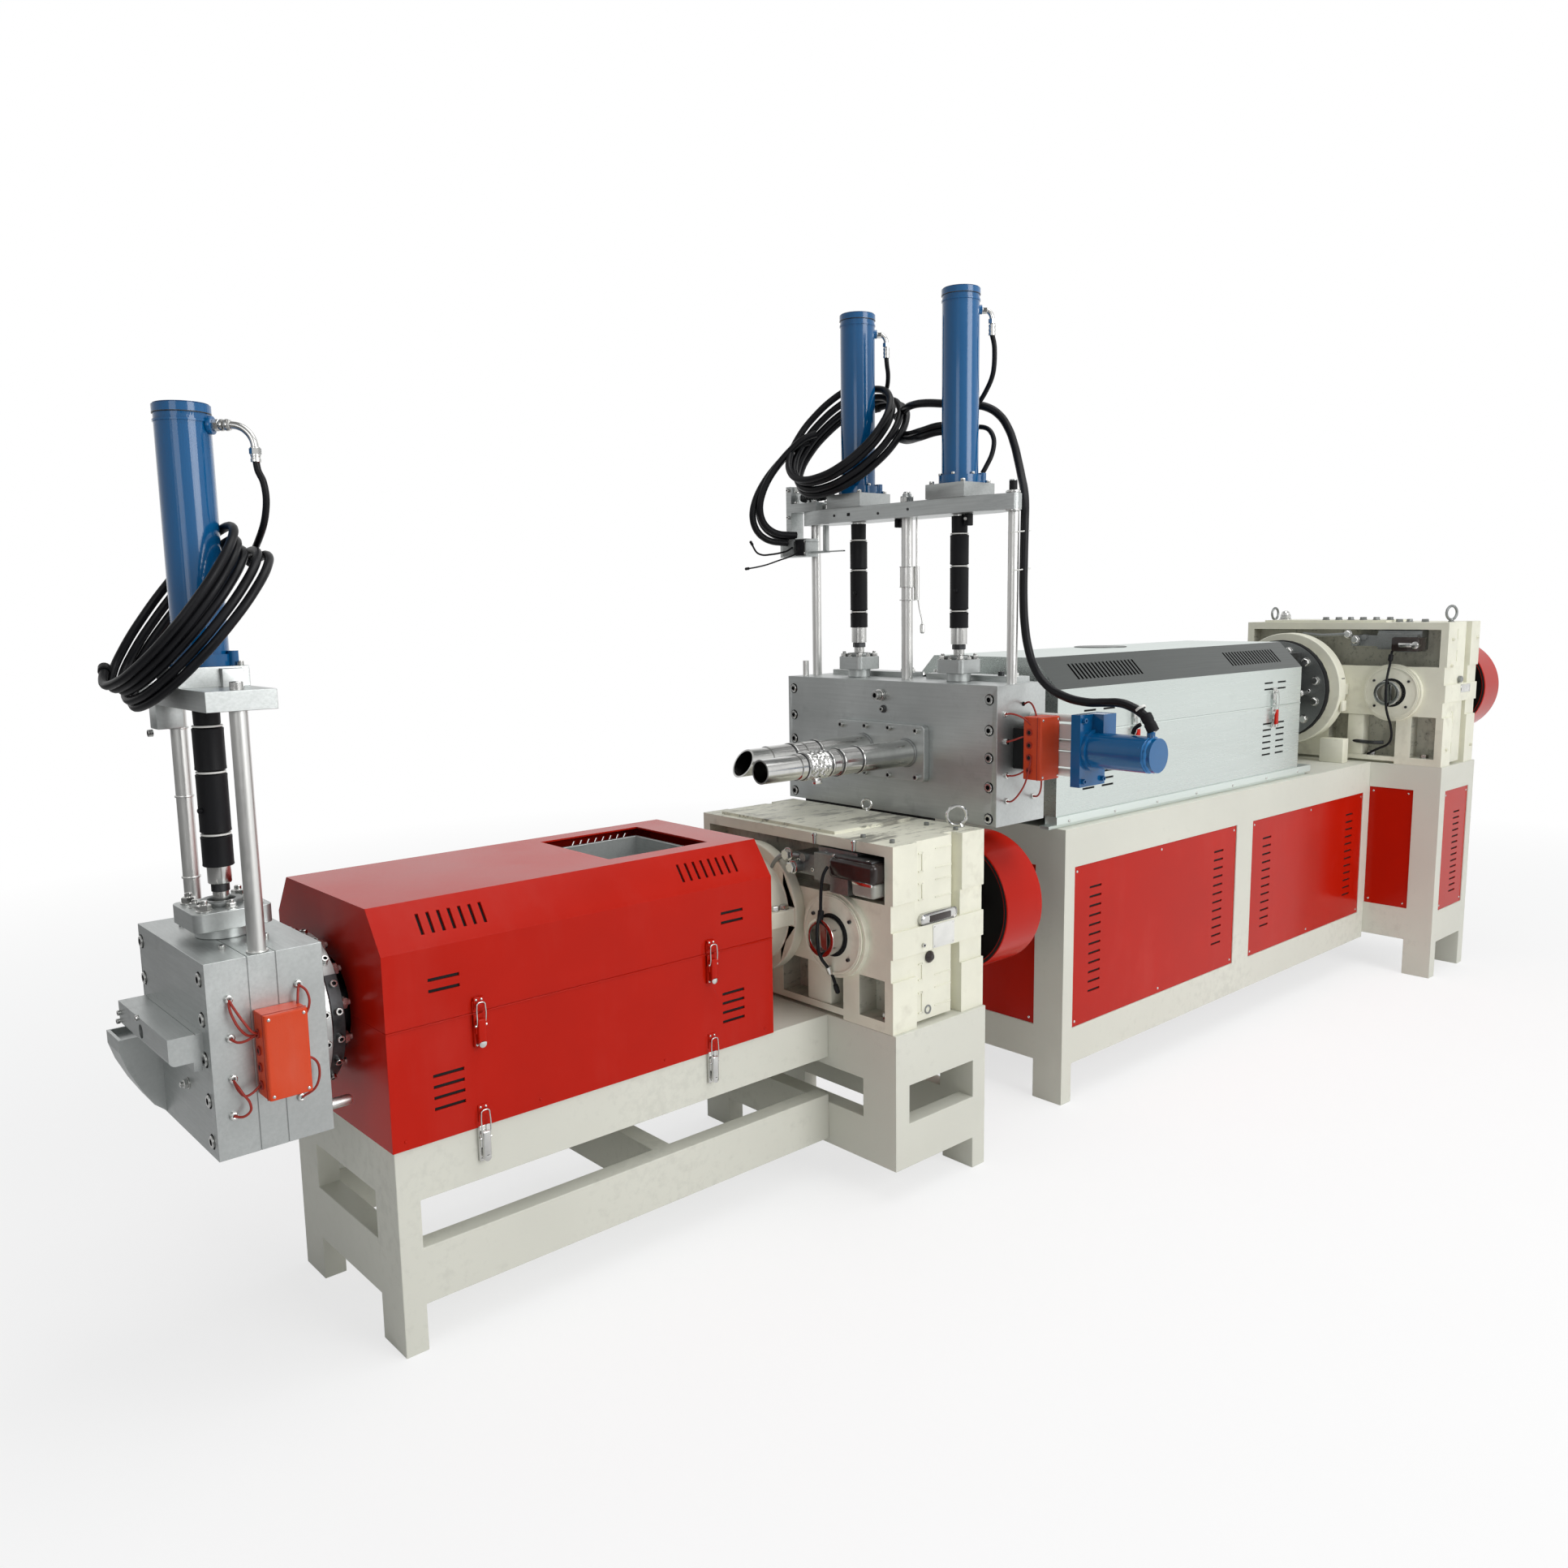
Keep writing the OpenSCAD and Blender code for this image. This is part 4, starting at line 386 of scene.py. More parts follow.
def finish(name):
    """A finish of the line by name; it is made once, from the colours that the user sets."""
    if name not in MADE:
        slot, maker, base, lighter, *values = FINISHES[name]
        if isinstance(base, str):
            base = getattr(bpy.context.scene.line_colours, base)
        MADE[name] = maker(name, shade(base, lighter), *values)
    return MADE[name]


# ---------------------------------------------------------------- modelling


def deselect():
    for o in list(bpy.context.selected_objects):
        o.select_set(False)


def only(*objects):
    """Select these objects and no others; the first is the active one."""
    deselect()
    for o in objects:
        o.select_set(True)
    bpy.context.view_layer.objects.active = objects[0]


def settle(o):
    """Put an object's place, turn and size into its mesh."""
    only(o)
    bpy.ops.object.transform_apply(location=True, rotation=True, scale=True)
    return o


def edit(o):
    only(o)
    bpy.ops.object.mode_set(mode="EDIT")
    bpy.ops.mesh.select_all(action="SELECT")


def done():
    bpy.ops.object.mode_set(mode="OBJECT")


def block(name, low, high, bevel=1.6, segments=2):
    """A square block between two corners in millimetres, with rounded edges."""
    low, high = Vector(low) * MM, Vector(high) * MM
    deselect()
    bpy.ops.mesh.primitive_cube_add(size=1, location=(low + high) / 2)
    o = bpy.context.object
    o.name = name
    o.scale = high - low
    settle(o)
    edit(o)
    bpy.ops.mesh.bevel(offset=bevel * MM, segments=segments, affect="EDGES")
    done()
    return o


def turned(name, outline, sides=24):
    """A lathed piece on the upright axis, from (radius, height) stations in millimetres."""
    first_r, first_z = outline[0]
    deselect()
    bpy.ops.mesh.primitive_circle_add(vertices=sides, radius=first_r * MM, fill_type="NGON",
                                      location=(0, 0, first_z * MM))
    o = settle(bpy.context.object)
    o.name = name
    edit(o)
    r, z = outline[0]
    for next_r, next_z in outline[1:]:
        bpy.ops.mesh.extrude_region_move(TRANSFORM_OT_translate={"value": (0, 0, (next_z - z) * MM)})
        bpy.ops.transform.resize(value=(next_r / r, next_r / r, 1), center_override=(0, 0, next_z * MM))
        r, z = next_r, next_z
    bpy.ops.mesh.select_all(action="SELECT")
    bpy.ops.mesh.normals_make_consistent(inside=False)
    done()
    return o


def carve_socket(o, rim, depth):
    """A round socket in the top of a screw: an inset of its top face, pushed in."""
    edit(o)
    bpy.ops.mesh.select_all(action="DESELECT")
    done()
    top = max(o.data.polygons, key=lambda p: (round(p.center.z, 6), p.area))
    top.select = True
    bpy.ops.object.mode_set(mode="EDIT")
    bpy.ops.mesh.inset(thickness=rim * MM)
    bpy.ops.mesh.extrude_region_move(TRANSFORM_OT_translate={"value": (0, 0, -depth * MM)})
    done()


def ring(name, inner, outer, low, high, rounding=0.8, sides=32):
    """A ring on the upright axis, spun from the outline of its section."""
    deselect()
    bpy.ops.mesh.primitive_plane_add(size=1)
    o = bpy.context.object
    o.name = name
    o.data.transform(Matrix.Rotation(math.radians(90), 4, "X"))
    o.data.transform(Matrix.Diagonal(((outer - inner) * MM, 1, (high - low) * MM, 1)))
    o.data.transform(Matrix.Translation(((inner + outer) / 2 * MM, 0, (low + high) / 2 * MM)))
    edit(o)
    bpy.ops.mesh.bevel(offset=rounding * MM, segments=2, affect="VERTICES")
    bpy.ops.mesh.delete(type="ONLY_FACE")
    bpy.ops.mesh.select_all(action="SELECT")
    bpy.ops.mesh.spin(steps=sides, angle=math.tau, center=(0, 0, 0), axis=UP)
    bpy.ops.mesh.select_all(action="SELECT")
    bpy.ops.mesh.remove_doubles(threshold=0.000005)
    bpy.ops.mesh.normals_make_consistent(inside=False)
    done()
    return o


def smooth(o, angle=35):
    only(o)
    bpy.ops.object.shade_smooth_by_angle(angle=math.radians(angle))
    return o


def joined(name, parts):
    """Several objects as one."""
    only(*parts)
    if len(parts) > 1:
        bpy.ops.object.join()
    o = bpy.context.view_layer.objects.active
    o.name = name
    o.data.name = name
    return o


def stood(place, direction=UP, turn=0.0):
    """Matrix that stands an upright piece at a place in millimetres, pointing in a direction."""
    aim = Vector(UP).rotation_difference(Vector(direction)).to_matrix().to_4x4()
    return Matrix.Translation(point(place)) @ aim @ Matrix.Rotation(math.radians(turn), 4, "Z")


def copies(model, name, places):
    """One copy of a model, with its own mesh, at each place; the model itself is taken away."""
    made = []
    for place in places:
        o = bpy.data.objects.new(name, model.data.copy())
        bpy.context.scene.collection.objects.link(o)
        o.data.transform(place)
        made.append(o)
    bpy.data.objects.remove(model)
    return joined(name, made)


def coated(o, coat, other=None, chosen=None):
    """A model's finish, and another one on the faces that chosen(middle in millimetres, normal) picks."""
    o.data.materials.clear()
    o.data.materials.append(finish(coat))
    if other:
        o.data.materials.append(finish(other))
        for face in o.data.polygons:
            face.material_index = int(chosen(face.center / MM, face.normal))
    return o


def finished(o, coat=None, body="line", angle=35):
    """A new piece with its finish, on the CAD body that it moves with; without a finish it keeps its own."""
    if coat:
        coated(o, coat)
    coat = o.data.materials[0].name.split(".")[0]
    if o.type == "MESH":
        smooth(o, angle)
    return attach(o, body)


def moved(o):
    """A piece that was modelled in millimetres from the foot of the line, put in the frame."""
    o.data.transform(Matrix.Translation(FOOT))
    return o


def dress(coat, *nodes):
    """CAD nodes keep their shape and get a finish."""
    for node in nodes:
        o = CAD[node]
        if not o.material_slots:
            o.data.materials.append(finish(coat))
        for slot in o.material_slots:
            slot.material = finish(coat)


SHARP = 32  # degrees between two faces from which on their edge is rounded


def softened(node, coat, edge, body="line", segments=2, cut=None):
    """A merged copy of a CAD node with rounded edges, and with holes that are cut by another object."""
    o = bpy.data.objects.new(node + "_dressed", CAD[node].data.copy())
    bpy.context.scene.collection.objects.link(o)
    edit(o)
    bpy.ops.mesh.remove_doubles(threshold=0.00002)
    bpy.ops.mesh.dissolve_limited(angle_limit=math.radians(0.4))
    done()
    if cut:
        only(o)
        drill = o.modifiers.new("Holes", "BOOLEAN")
        drill.operation = "DIFFERENCE"
        drill.solver = "EXACT"
        drill.object = cut
        bpy.ops.object.modifier_apply(modifier=drill.name)
        bpy.data.objects.remove(cut)
    smooth(o, SHARP)
    rounding = o.modifiers.new("Edge", "BEVEL")
    rounding.width = edge * MM
    rounding.segments = segments
    rounding.limit_method = "ANGLE"
    rounding.angle_limit = math.radians(SHARP)
    rounding.harden_normals = True
    bpy.ops.object.modifier_apply(modifier=rounding.name)
    o.data.materials.clear()
    o.data.materials.append(finish(coat))
    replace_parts(o, node)
    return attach(o, body)


def second_coat(o, coat, chosen):
    """Another finish on the faces that chosen(middle in millimetres, normal) picks."""
    o.data.materials.append(finish(coat))
    for face in o.data.polygons:
        if chosen((face.center - FOOT) / MM, face.normal):
            face.material_index = len(o.data.materials) - 1
    return o


def fixing(kind, d):
    """An upright screw or nut for a thread of diameter d, standing on the plane z = 0."""
    if kind == "socket":
        o = turned("fixing", [(d * 0.72, 0), (d * 0.75, 0.5), (d * 0.75, d * 0.86), (d * 0.67, d * 0.94)], 18)
        carve_socket(o, d * 0.26, d * 0.5)
        # The inside of the socket is painted near-black: painted shade in the recess
        return coated(o, "bright_steel", "black_gap",
                      lambda at, n: math.hypot(at.x, at.y) < d * 0.45 and at.z < d * 0.93)
    if kind == "pan":
        o = turned("fixing", [(d, 0), (d, d * 0.18), (d * 0.85, d * 0.42), (d * 0.5, d * 0.58)], 14)
        return coated(o, "bright_steel")
    head = turned("fixing", [(d * 0.8, d * 0.16), (d * 0.9, d * 0.22), (d * 0.9, d * 0.76), (d * 0.78, d * 0.86)], 6)
    parts = [head, turned("washer", [(d * 1.0, 0), (d * 1.04, d * 0.03), (d * 1.04, d * 0.14), (d * 0.98, d * 0.17)],
                          20)]
    if kind == "nut":
        parts.append(turned("stud", [(d * 0.46, d * 0.7), (d * 0.48, d * 1.3), (d * 0.38, d * 1.4)], 12))
    if kind == "cap":
        parts.append(turned("dome", [(d * 0.72, d * 0.8), (d * 0.7, d * 1.1), (d * 0.5, d * 1.4),
                                     (d * 0.2, d * 1.52)], 14))
    return coated(joined("fixing", parts), "bright_steel")


def fixings(name, kind, d, places, direction=UP, coat=None, body="line"):
    """Screws or nuts of one kind at places in millimetres, all pointing one way or each its own."""
    model = fixing(kind, d)
    if coat:
        coated(model, coat)
    spots = [place if isinstance(place[0], (tuple, Vector)) else (place, direction) for place in places]
    o = copies(model, name, [stood(place, way, 23 * i + 8) for i, (place, way) in enumerate(spots)])
    return finished(o, None, body, 30)


def around(centre, radius, count, start=0.0, x=None):
    """Places round an axis along X, at equal steps."""
    turns = [math.radians(start + 360 * i / count) for i in range(count)]
    return [Vector((x if x is not None else centre[0], centre[1] + radius * math.cos(a),
                    centre[2] + radius * math.sin(a)))
            for a in turns]


def drills(holes):
    """Round cutters, given as (place, direction, radius, depth), as one object."""
    made = []
    for place, direction, radius, depth in holes:
        o = turned("drill", [(radius, -depth), (radius, 6)], 24)
        o.data.transform(stood(place, direction))
        made.append(o)
    return joined("drill", made)


def plate(name, low, high, coat, rounding=1.2, body="line", segments=2):
    """A plate or block between two corners in millimetres from the foot of the line."""
    return finished(moved(block(name, low, high, rounding, segments)), coat, body)


def round_piece(name, outline, place, direction, coat, body="line", sides=24):
    """A lathed piece at a place, pointing in a direction."""
    o = turned(name, outline, sides)
    o.data.transform(stood(place, direction))
    return finished(o, coat, body)


def rings(name, sizes, spots, coat, direction=UP, body="line"):
    """Equal rings, (inner, outer, low, high), at several places."""
    model = ring(name, *sizes)
    coated(model, coat)
    return finished(copies(model, name, [stood(place, direction) for place in spots]), None, body)


def evened(points, count=18):
    """The same smooth route with its places more evenly spread."""
    points = [Vector(p) for p in points]
    whole = [points[0]] + points + [points[-1]]
    made = []
    for k in range(count):
        t = k / (count - 1) * (len(points) - 1)
        i = min(int(t), len(points) - 2)
        t -= i
        a, b, c, d = whole[i:i + 4]
        made.append(0.5 * (2 * b + (c - a) * t + (2 * a - 5 * b + 4 * c - d) * t * t
                           + (3 * b - a - 3 * c + d) * t ** 3))
    return made


def soft_curve(name, points, diameter, sides=3):
    """A round line through points given in millimetres, on one smooth open curve."""
    data = bpy.data.curves.new(name, "CURVE")
    data.dimensions = "3D"
    spline = data.splines.new("BEZIER")
    spline.bezier_points.add(len(points) - 1)
    for knot, place in zip(spline.bezier_points, points):
        knot.co = point(place)
        knot.handle_left_type = knot.handle_right_type = "AUTO"
    spline.resolution_u = 8
    data.bevel_depth = diameter * MM / 2
    data.bevel_resolution = sides
    data.use_fill_caps = True
    o = bpy.data.objects.new(name, data)
    bpy.context.scene.collection.objects.link(o)
    return o


def run_length(o):
    """Length of a curve's own line, in metres."""
    bpy.context.view_layer.update()
    spline = o.data.splines[0]
    return spline.calc_length()


def hose(name, points, diameter, coat="hose_rubber",
         nodes=(), sides=4):
    """A free hose or lead: a round curve of the given diameter through the points."""
    if len(points) < 15:
        points = evened(points)
    o = soft_curve(name, points, diameter, sides)
    o.data.materials.append(finish(coat))
    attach(o, "line")
    if nodes:
        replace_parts(o, *nodes)
    run_length(o)
    return o


def pipe(name, points, diameter, coat, body="line", sides=3):
    """A rigid bent pipe, as a mesh."""
    o = soft_curve(name, points, diameter, sides)
    only(o)
    bpy.ops.object.convert(target="MESH")
    o = bpy.context.object
    edit(o)
    bpy.ops.mesh.remove_doubles(threshold=0.00001)
    bpy.ops.mesh.normals_make_consistent(inside=False)
    done()
    return finished(o, coat, body, 50)


# ---------------------------------------------------------------- places along the line

SECOND_AXIS, MAIN_AXIS = 690, 1128  # heights of the two barrels' axes

PORT_TURN = math.radians(-42)
OUT = Vector((math.cos(PORT_TURN), math.sin(PORT_TURN), 0))
BACK = Vector((-math.sin(PORT_TURN), math.cos(PORT_TURN), 0))
SECOND = middle("second_ram").to_2d().to_3d()
NEAR = middle("near_ram").to_2d().to_3d()
FAR = middle("far_ram").to_2d().to_3d()


def beside(column, out, back, z):
    """A place beside an upright cylinder: out towards its ports, back behind it, and up."""
    return column + out * OUT + back * BACK + raised(z)


def beside_all(column, places):
    """Places beside one upright cylinder."""
    return [beside(column, *place) for place in places]


def winding(column, mid, a, b, start, turns, pitch, swell, knots=14):
    """Knots of a hose wound round a cylinder: an ellipse whose turns lie side by side."""
    centre = beside(column, *mid)
    long_axis = beside(Vector((0, 0, 0)), *a)
    wide_axis = beside(Vector((0, 0, 0)), *b)
    normal = long_axis.cross(wide_axis).normalized()
    knots_made = []
    steps = round(turns * knots)
    for i in range(steps + 1):
        turn = i / knots
        u = math.radians(start) - turn * math.tau
        step = pitch * (turn - turns / 2) * (1 + swell * math.cos(u - 0.6))
        grow = 1 + 0.045 * math.sin(1.7 * turn + 0.6) + 0.03 * math.sin(5.1 * turn)
        ring = math.cos(u) * long_axis + math.sin(u) * wide_axis
        knots_made.append(centre + ring * grow + step * normal)
    return knots_made


def coupling(name, place, direction, diameter):
    """A rubber ferrule round a hose end."""
    r = diameter / 2
    o = turned(name, [(r + 0.6, -16), (r + 2.2, -15), (r + 2.2, -8), (r + 1.2, -7), (r + 1.2, -3), (r + 2.2, -2),
                      (r + 2.2, 4), (r + 1.2, 5), (r + 1.2, 9), (r + 2.2, 10), (r + 2.2, 15), (r + 0.6, 16)], 20)
    o.data.transform(stood(place, direction))
    finished(o, "sleeve_rubber")


def plug_of(name, outline, coil):
    """The rubber plug in the loose end of a coil."""
    return round_piece(name, outline, coil[-1], (coil[-1] - coil[-2]).normalized(), "sleeve_rubber", sides=20)


# ---------------------------------------------------------------- operators


class LINE_OT_camera(bpy.types.Operator):
    """Set the camera in front of the second stage, as the line is usually pictured"""
    bl_idname = "line.camera"
    bl_label = "Camera"

    def execute(self, context):
        data = bpy.data.cameras.new("camera")
        camera = bpy.data.objects.new("camera", data)
        context.scene.collection.objects.link(camera)
        data.sensor_fit = "HORIZONTAL"
        data.sensor_width = 36
        data.lens = 28.29
        data.clip_end = 200
        turn = (Matrix.Rotation(math.radians(-41.954), 4, "Z") @ Matrix.Rotation(math.radians(90 - 8.3027), 4, "X")
                @ Matrix.Rotation(math.radians(-0.8376), 4, "Z"))
        camera.matrix_world = Matrix.Translation(point((-957, -2378, 1500))) @ turn
        context.scene.camera = camera
        context.scene.view_settings.view_transform = "Standard"
        return {"FINISHED"}


class LINE_OT_second_hoses(bpy.types.Operator):
    """Hang the second cylinder's hose and its coil"""
    bl_idname = "line.second_hoses"
    bl_label = "Second stage hoses"

    def execute(self, context):
        sizes = context.scene.line_sizes
        d = sizes.coil_hose - 2  # the hose here is a little thinner than the main stage's
        coil = winding(SECOND, (-22, -14, 1490), (128, 0, 130), (-52, 115, 50), 38, sizes.turns + 1.61, d * 1.05,
                       0.12)
        drop = beside_all(SECOND, [(131, 0, 1780), (134, -1, 1760), (143, -2, 1738), (144, 2, 1706), (133, 14, 1670),
                                   (112, 36, 1640)]) + [coil[0] + raised(12)]
        hose("second_drop_hose", drop, sizes.thin_hose, nodes=["second_hose"])
        coupling("second_hose_coupling", coil[0], (coil[1] - coil[0]).normalized(), d)
        plug = plug_of("second_hose_plug", [(9.6, -14), (11.4, -12), (11.4, 4), (9, 8), (4, 9.5)], coil)
        hose("second_coil_hose", coil, d)
        return {"FINISHED"}


class LINE_OT_main_hoses(bpy.types.Operator):
    """Hang the main cylinders' hoses: the coil, the bundle to the valves, the link and the side run"""
    bl_idname = "line.main_hoses"
    bl_label = "Main stage hoses"

    def execute(self, context):
        sizes = context.scene.line_sizes
        d = sizes.coil_hose + 1
        coil = winding(FAR, (-36, 10, 1966), (132, 0, 120), (-55, 115, 57), 40, sizes.turns + 1.0, d * 1.05, 0.15)
        drop = beside_all(FAR, [(82, 0, 2194.5), (84, 2, 2172), (88, 12, 2146), (87, 34, 2118),
                                (78, 68, 2096)]) + [coil[0] + raised(18)]
        hose("far_drop_hose", drop, sizes.thin_hose, nodes=["far_hose"])
        coupling("far_hose_coupling", coil[0], (coil[1] - coil[0]).normalized(), d)
        plug = plug_of("far_hose_plug", [(10, -14), (12, -12), (12, 4), (9, 8), (4, 9.5)], coil)
        hose("far_coil_hose", coil, d)
        bundle = [(-128, 96, 1985), (-168, 93, 1968), (-212, 89, 1930), (-254, 85, 1880), (-284, 84, 1826),
                  (-296, 88, 1774), (-284, 98, 1728), (-248, 114, 1700), (-190, 134, 1694)]
        for i, (across, up) in enumerate(((-17, 14), (18, 7), (-3, -18))):
            route = []
            for k, (out, back, z) in enumerate(bundle):
                spread = 1 + 0.12 * math.sin(k * 0.9 + i * 2.1)
                route.append(beside(FAR, out + up * spread * 0.7, back + across * spread, z + up * spread * 0.7))
            hose(f"valve_hose_{i + 1}", route, sizes.coil_hose + 1)
        near_bundle = beside(NEAR, 8, 74, 1968)
        drop = beside_all(NEAR, [(82, 0, 2194.5), (89, 0, 2158.5), (88, 10, 2100), (74, 30, 2058), (50, 52, 2020)])
        hose("near_drop_hose", drop + [near_bundle + raised(8)], sizes.thin_hose, nodes=["near_hose"])
        foot = beside_all(NEAR, [(60, 0, 1838.5), (70, 0, 1856), (86, 2, 1890), (91, 10, 1928), (78, 34, 1958),
                                 (46, 58, 1966)])
        hose("near_foot_hose", foot + [near_bundle + raised(-8)], sizes.thin_hose)
        link = [near_bundle] + beside_all(NEAR, [(-50, 82, 1966), (-92, 118, 1958)]) + beside_all(
            FAR, [(132, -64, 1962), (100, -10, 1982)])
        for i, lift in enumerate((8, -9)):
            hose(f"link_hose_{i + 1}", [place + raised(lift) for place in link], 19)
        port = Vector((middle("side_cylinder").x, local_box("side_cylinder")[0].y + 22, local_box("side_hose")[0].z))
        side = beside_all(FAR, [(112, 10, 2028), (128, -40, 2040)]) + beside_all(NEAR, [
            (-108, 168, 2043), (-78, 120, 2040), (-38, 92, 2034), (0, 80, 2029), (46, 76, 2027), (84, 68, 2018),
            (114, 58, 1996), (135, 42, 1960), (147, 18, 1915), (154, -10, 1865), (157, -42, 1822), (157, -76, 1788),
            (154, -108, 1750), (150, -128, 1700), (148, -134, 1620), (148, -136, 1500), (152, -138, 1436),
            (160, -144, 1380), (174, -160, 1328), (197, -194, 1286), (229, -244, 1260), (276, -304, 1247),
            (312, -348, 1249), (338, -374, 1250), (360, -394, 1243)])
        hose("side_run_hose", side + [port + Vector((0, 18, 22)), port], sizes.run_hose, nodes=["side_hose"])
        return {"FINISHED"}


class LINE_OT_fittings(bpy.types.Operator):
    """Model the elbows, nuts and ferrules at the hose ports"""
    bl_idname = "line.fittings"
    bl_label = "Hose fittings"

    def elbow(self, name, column, z, straight, bend, ferrule):
        """A bent tube out of a port and down to a hose, with its nuts and the crimp on the hose."""
        arc = [beside(column, 55 + straight + bend * math.sin(a), 0, z - bend * (1 - math.cos(a)))
               for a in [math.radians(d) for d in (0, 22.5, 45, 67.5, 90)]]
        tube = pipe(name + "_elbow", [beside(column, 55, 0, z)] + arc + [arc[-1] - raised(ferrule - 8)], 14,
                    "bright_steel", sides=4)
        nut = turned(name + "_nut", [(9.5, 0), (10.8, 1), (10.8, 11), (9.5, 12)], 6)
        nuts = copies(nut, name + "_nuts", [stood(beside(column, 56, 0, z), OUT), stood(arc[-1], (0, 0, -1), 20),
                                            stood(arc[0], -OUT, 12)])
        finished(nuts, "bright_steel", angle=25)
        round_piece(name + "_crimp", [(8.4, 0), (9.4, 1), (9.4, 6), (8.6, 7), (8.6, 10), (9.4, 11), (9.4, 17),
                                      (8.6, 18), (8.6, 21), (9.4, 22), (9.4, 27), (7.4, 28)],
                    arc[-1] - raised(ferrule - 2), UP, "bright_steel", sides=20)
        return tube

    def execute(self, context):
        second = local_box("second_cylinder")[1].z - 39
        main = local_box("main_cylinders")[1].z - 54
        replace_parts(self.elbow("second_port", SECOND, second, 34, 42, 28), "hose_fittings")
        self.elbow("near_port", NEAR, main, 3, 24, 44)
        self.elbow("far_port", FAR, main, 3, 24, 44)
        nut = turned("side_port_nut", [(9, 0), (11, 1), (11, 9), (8.5, 10), (8.5, 14)], 6)
        nut.data.transform(stood((middle("side_cylinder").x, local_box("side_cylinder")[0].y + 22,
                                  local_box("side_hose")[0].z - 15)))
        finished(nut, "bright_steel", angle=25)
        return {"FINISHED"}


class LINE_OT_screen_blocks(bpy.types.Operator):
    """Sink the screws of the screen blocks and their outlet plate"""
    bl_idname = "line.screen_blocks"
    bl_label = "Screen blocks"

    def sunk(self, node, places, direction, d):
        """A block with counterbored holes and the screws in them."""
        holes = [(place, direction, d * 0.62, d * 0.5) for place in places]
        softened(node, "block_steel", 1.0, cut=drills(holes))
        fixings(node + "_screws", "socket", d / 1.5, [Vector(p) - Vector(direction) * d * 0.48 for p in places],
                direction)

    def execute(self, context):
        d = context.scene.line_sizes.block_bolt
        low, high = local_box("second_screen_block")
        self.sunk("second_screen_block", [(low.x, y, low.z + z) for y in (low.y + 31, high.y - 17)
                                          for z in (30, 109, 188, 264, 340)], LEFT, d)
        fixings("second_block_small_screws", "socket", 8, [(low.x + x, y, high.z) for x, y in (
            (60, -8), (150, 20), (60, 232), (150, 204))])
        low, high = local_box("main_screen_block")
        self.sunk("main_screen_block", [(low.x, y, z) for y in (low.y + 26, high.y - 24)
                                        for z in (1248, 1168, 1096, 1019, 936)], LEFT, d)
        x = low.x  # the face of the block
        fixings("block_centre_screw", "socket", 17, [(x - 12, 11, 1244)], LEFT)
        rings("block_centre_washers", (9, 17, 0, 4, 1.2), [(x - 1, 11, 1244), (x - 7, 11, 1244)], "bright_steel",
              LEFT)
        rings("block_small_washer", (6, 11, 0, 3), [(x - 1, 3, 1205)], "dark_steel", LEFT)
        fixings("block_small_screw", "socket", 9, [(x - 3, 3, 1205)], LEFT)
        softened("outlet_plate", "block_steel", 2)
        x = local_box("outlet_plate")[0].x
        corners = [(x, y, z) for y, z in ((145, 1155), (48, 1157), (-42, 1157), (-143, 1155), (-143, 1027),
                                          (145, 1027), (48, 1025), (-42, 1025))]
        fixings("outlet_plate_screws", "socket", 11, corners, LEFT)
        softened("second_die_head", "block_steel", 1.6)
        low, high = local_box("second_die_head")
        fixings("die_head_screws", "socket", 7, [(low.x + 15, 250, 720), (low.x + 15, 262, 700),
                                                 (low.x + 15, 118, 742)],
                LEFT, "bright_steel")
        fixings("die_head_nut", "nut", 11, [(-306, 60, 612)], LEFT)
        # Small studs on the block's ledge plates
        fixings("ledge_studs", "nut", 9, [(1742, y, 1299.5) for y in (-320, -90, -55, 55, 90, 320)])
        fixings("ledge_screws", "socket", 12, [(1722, y, 1299.5) for y in (-285, 285)], coat="dark_steel")
        return {"FINISHED"}


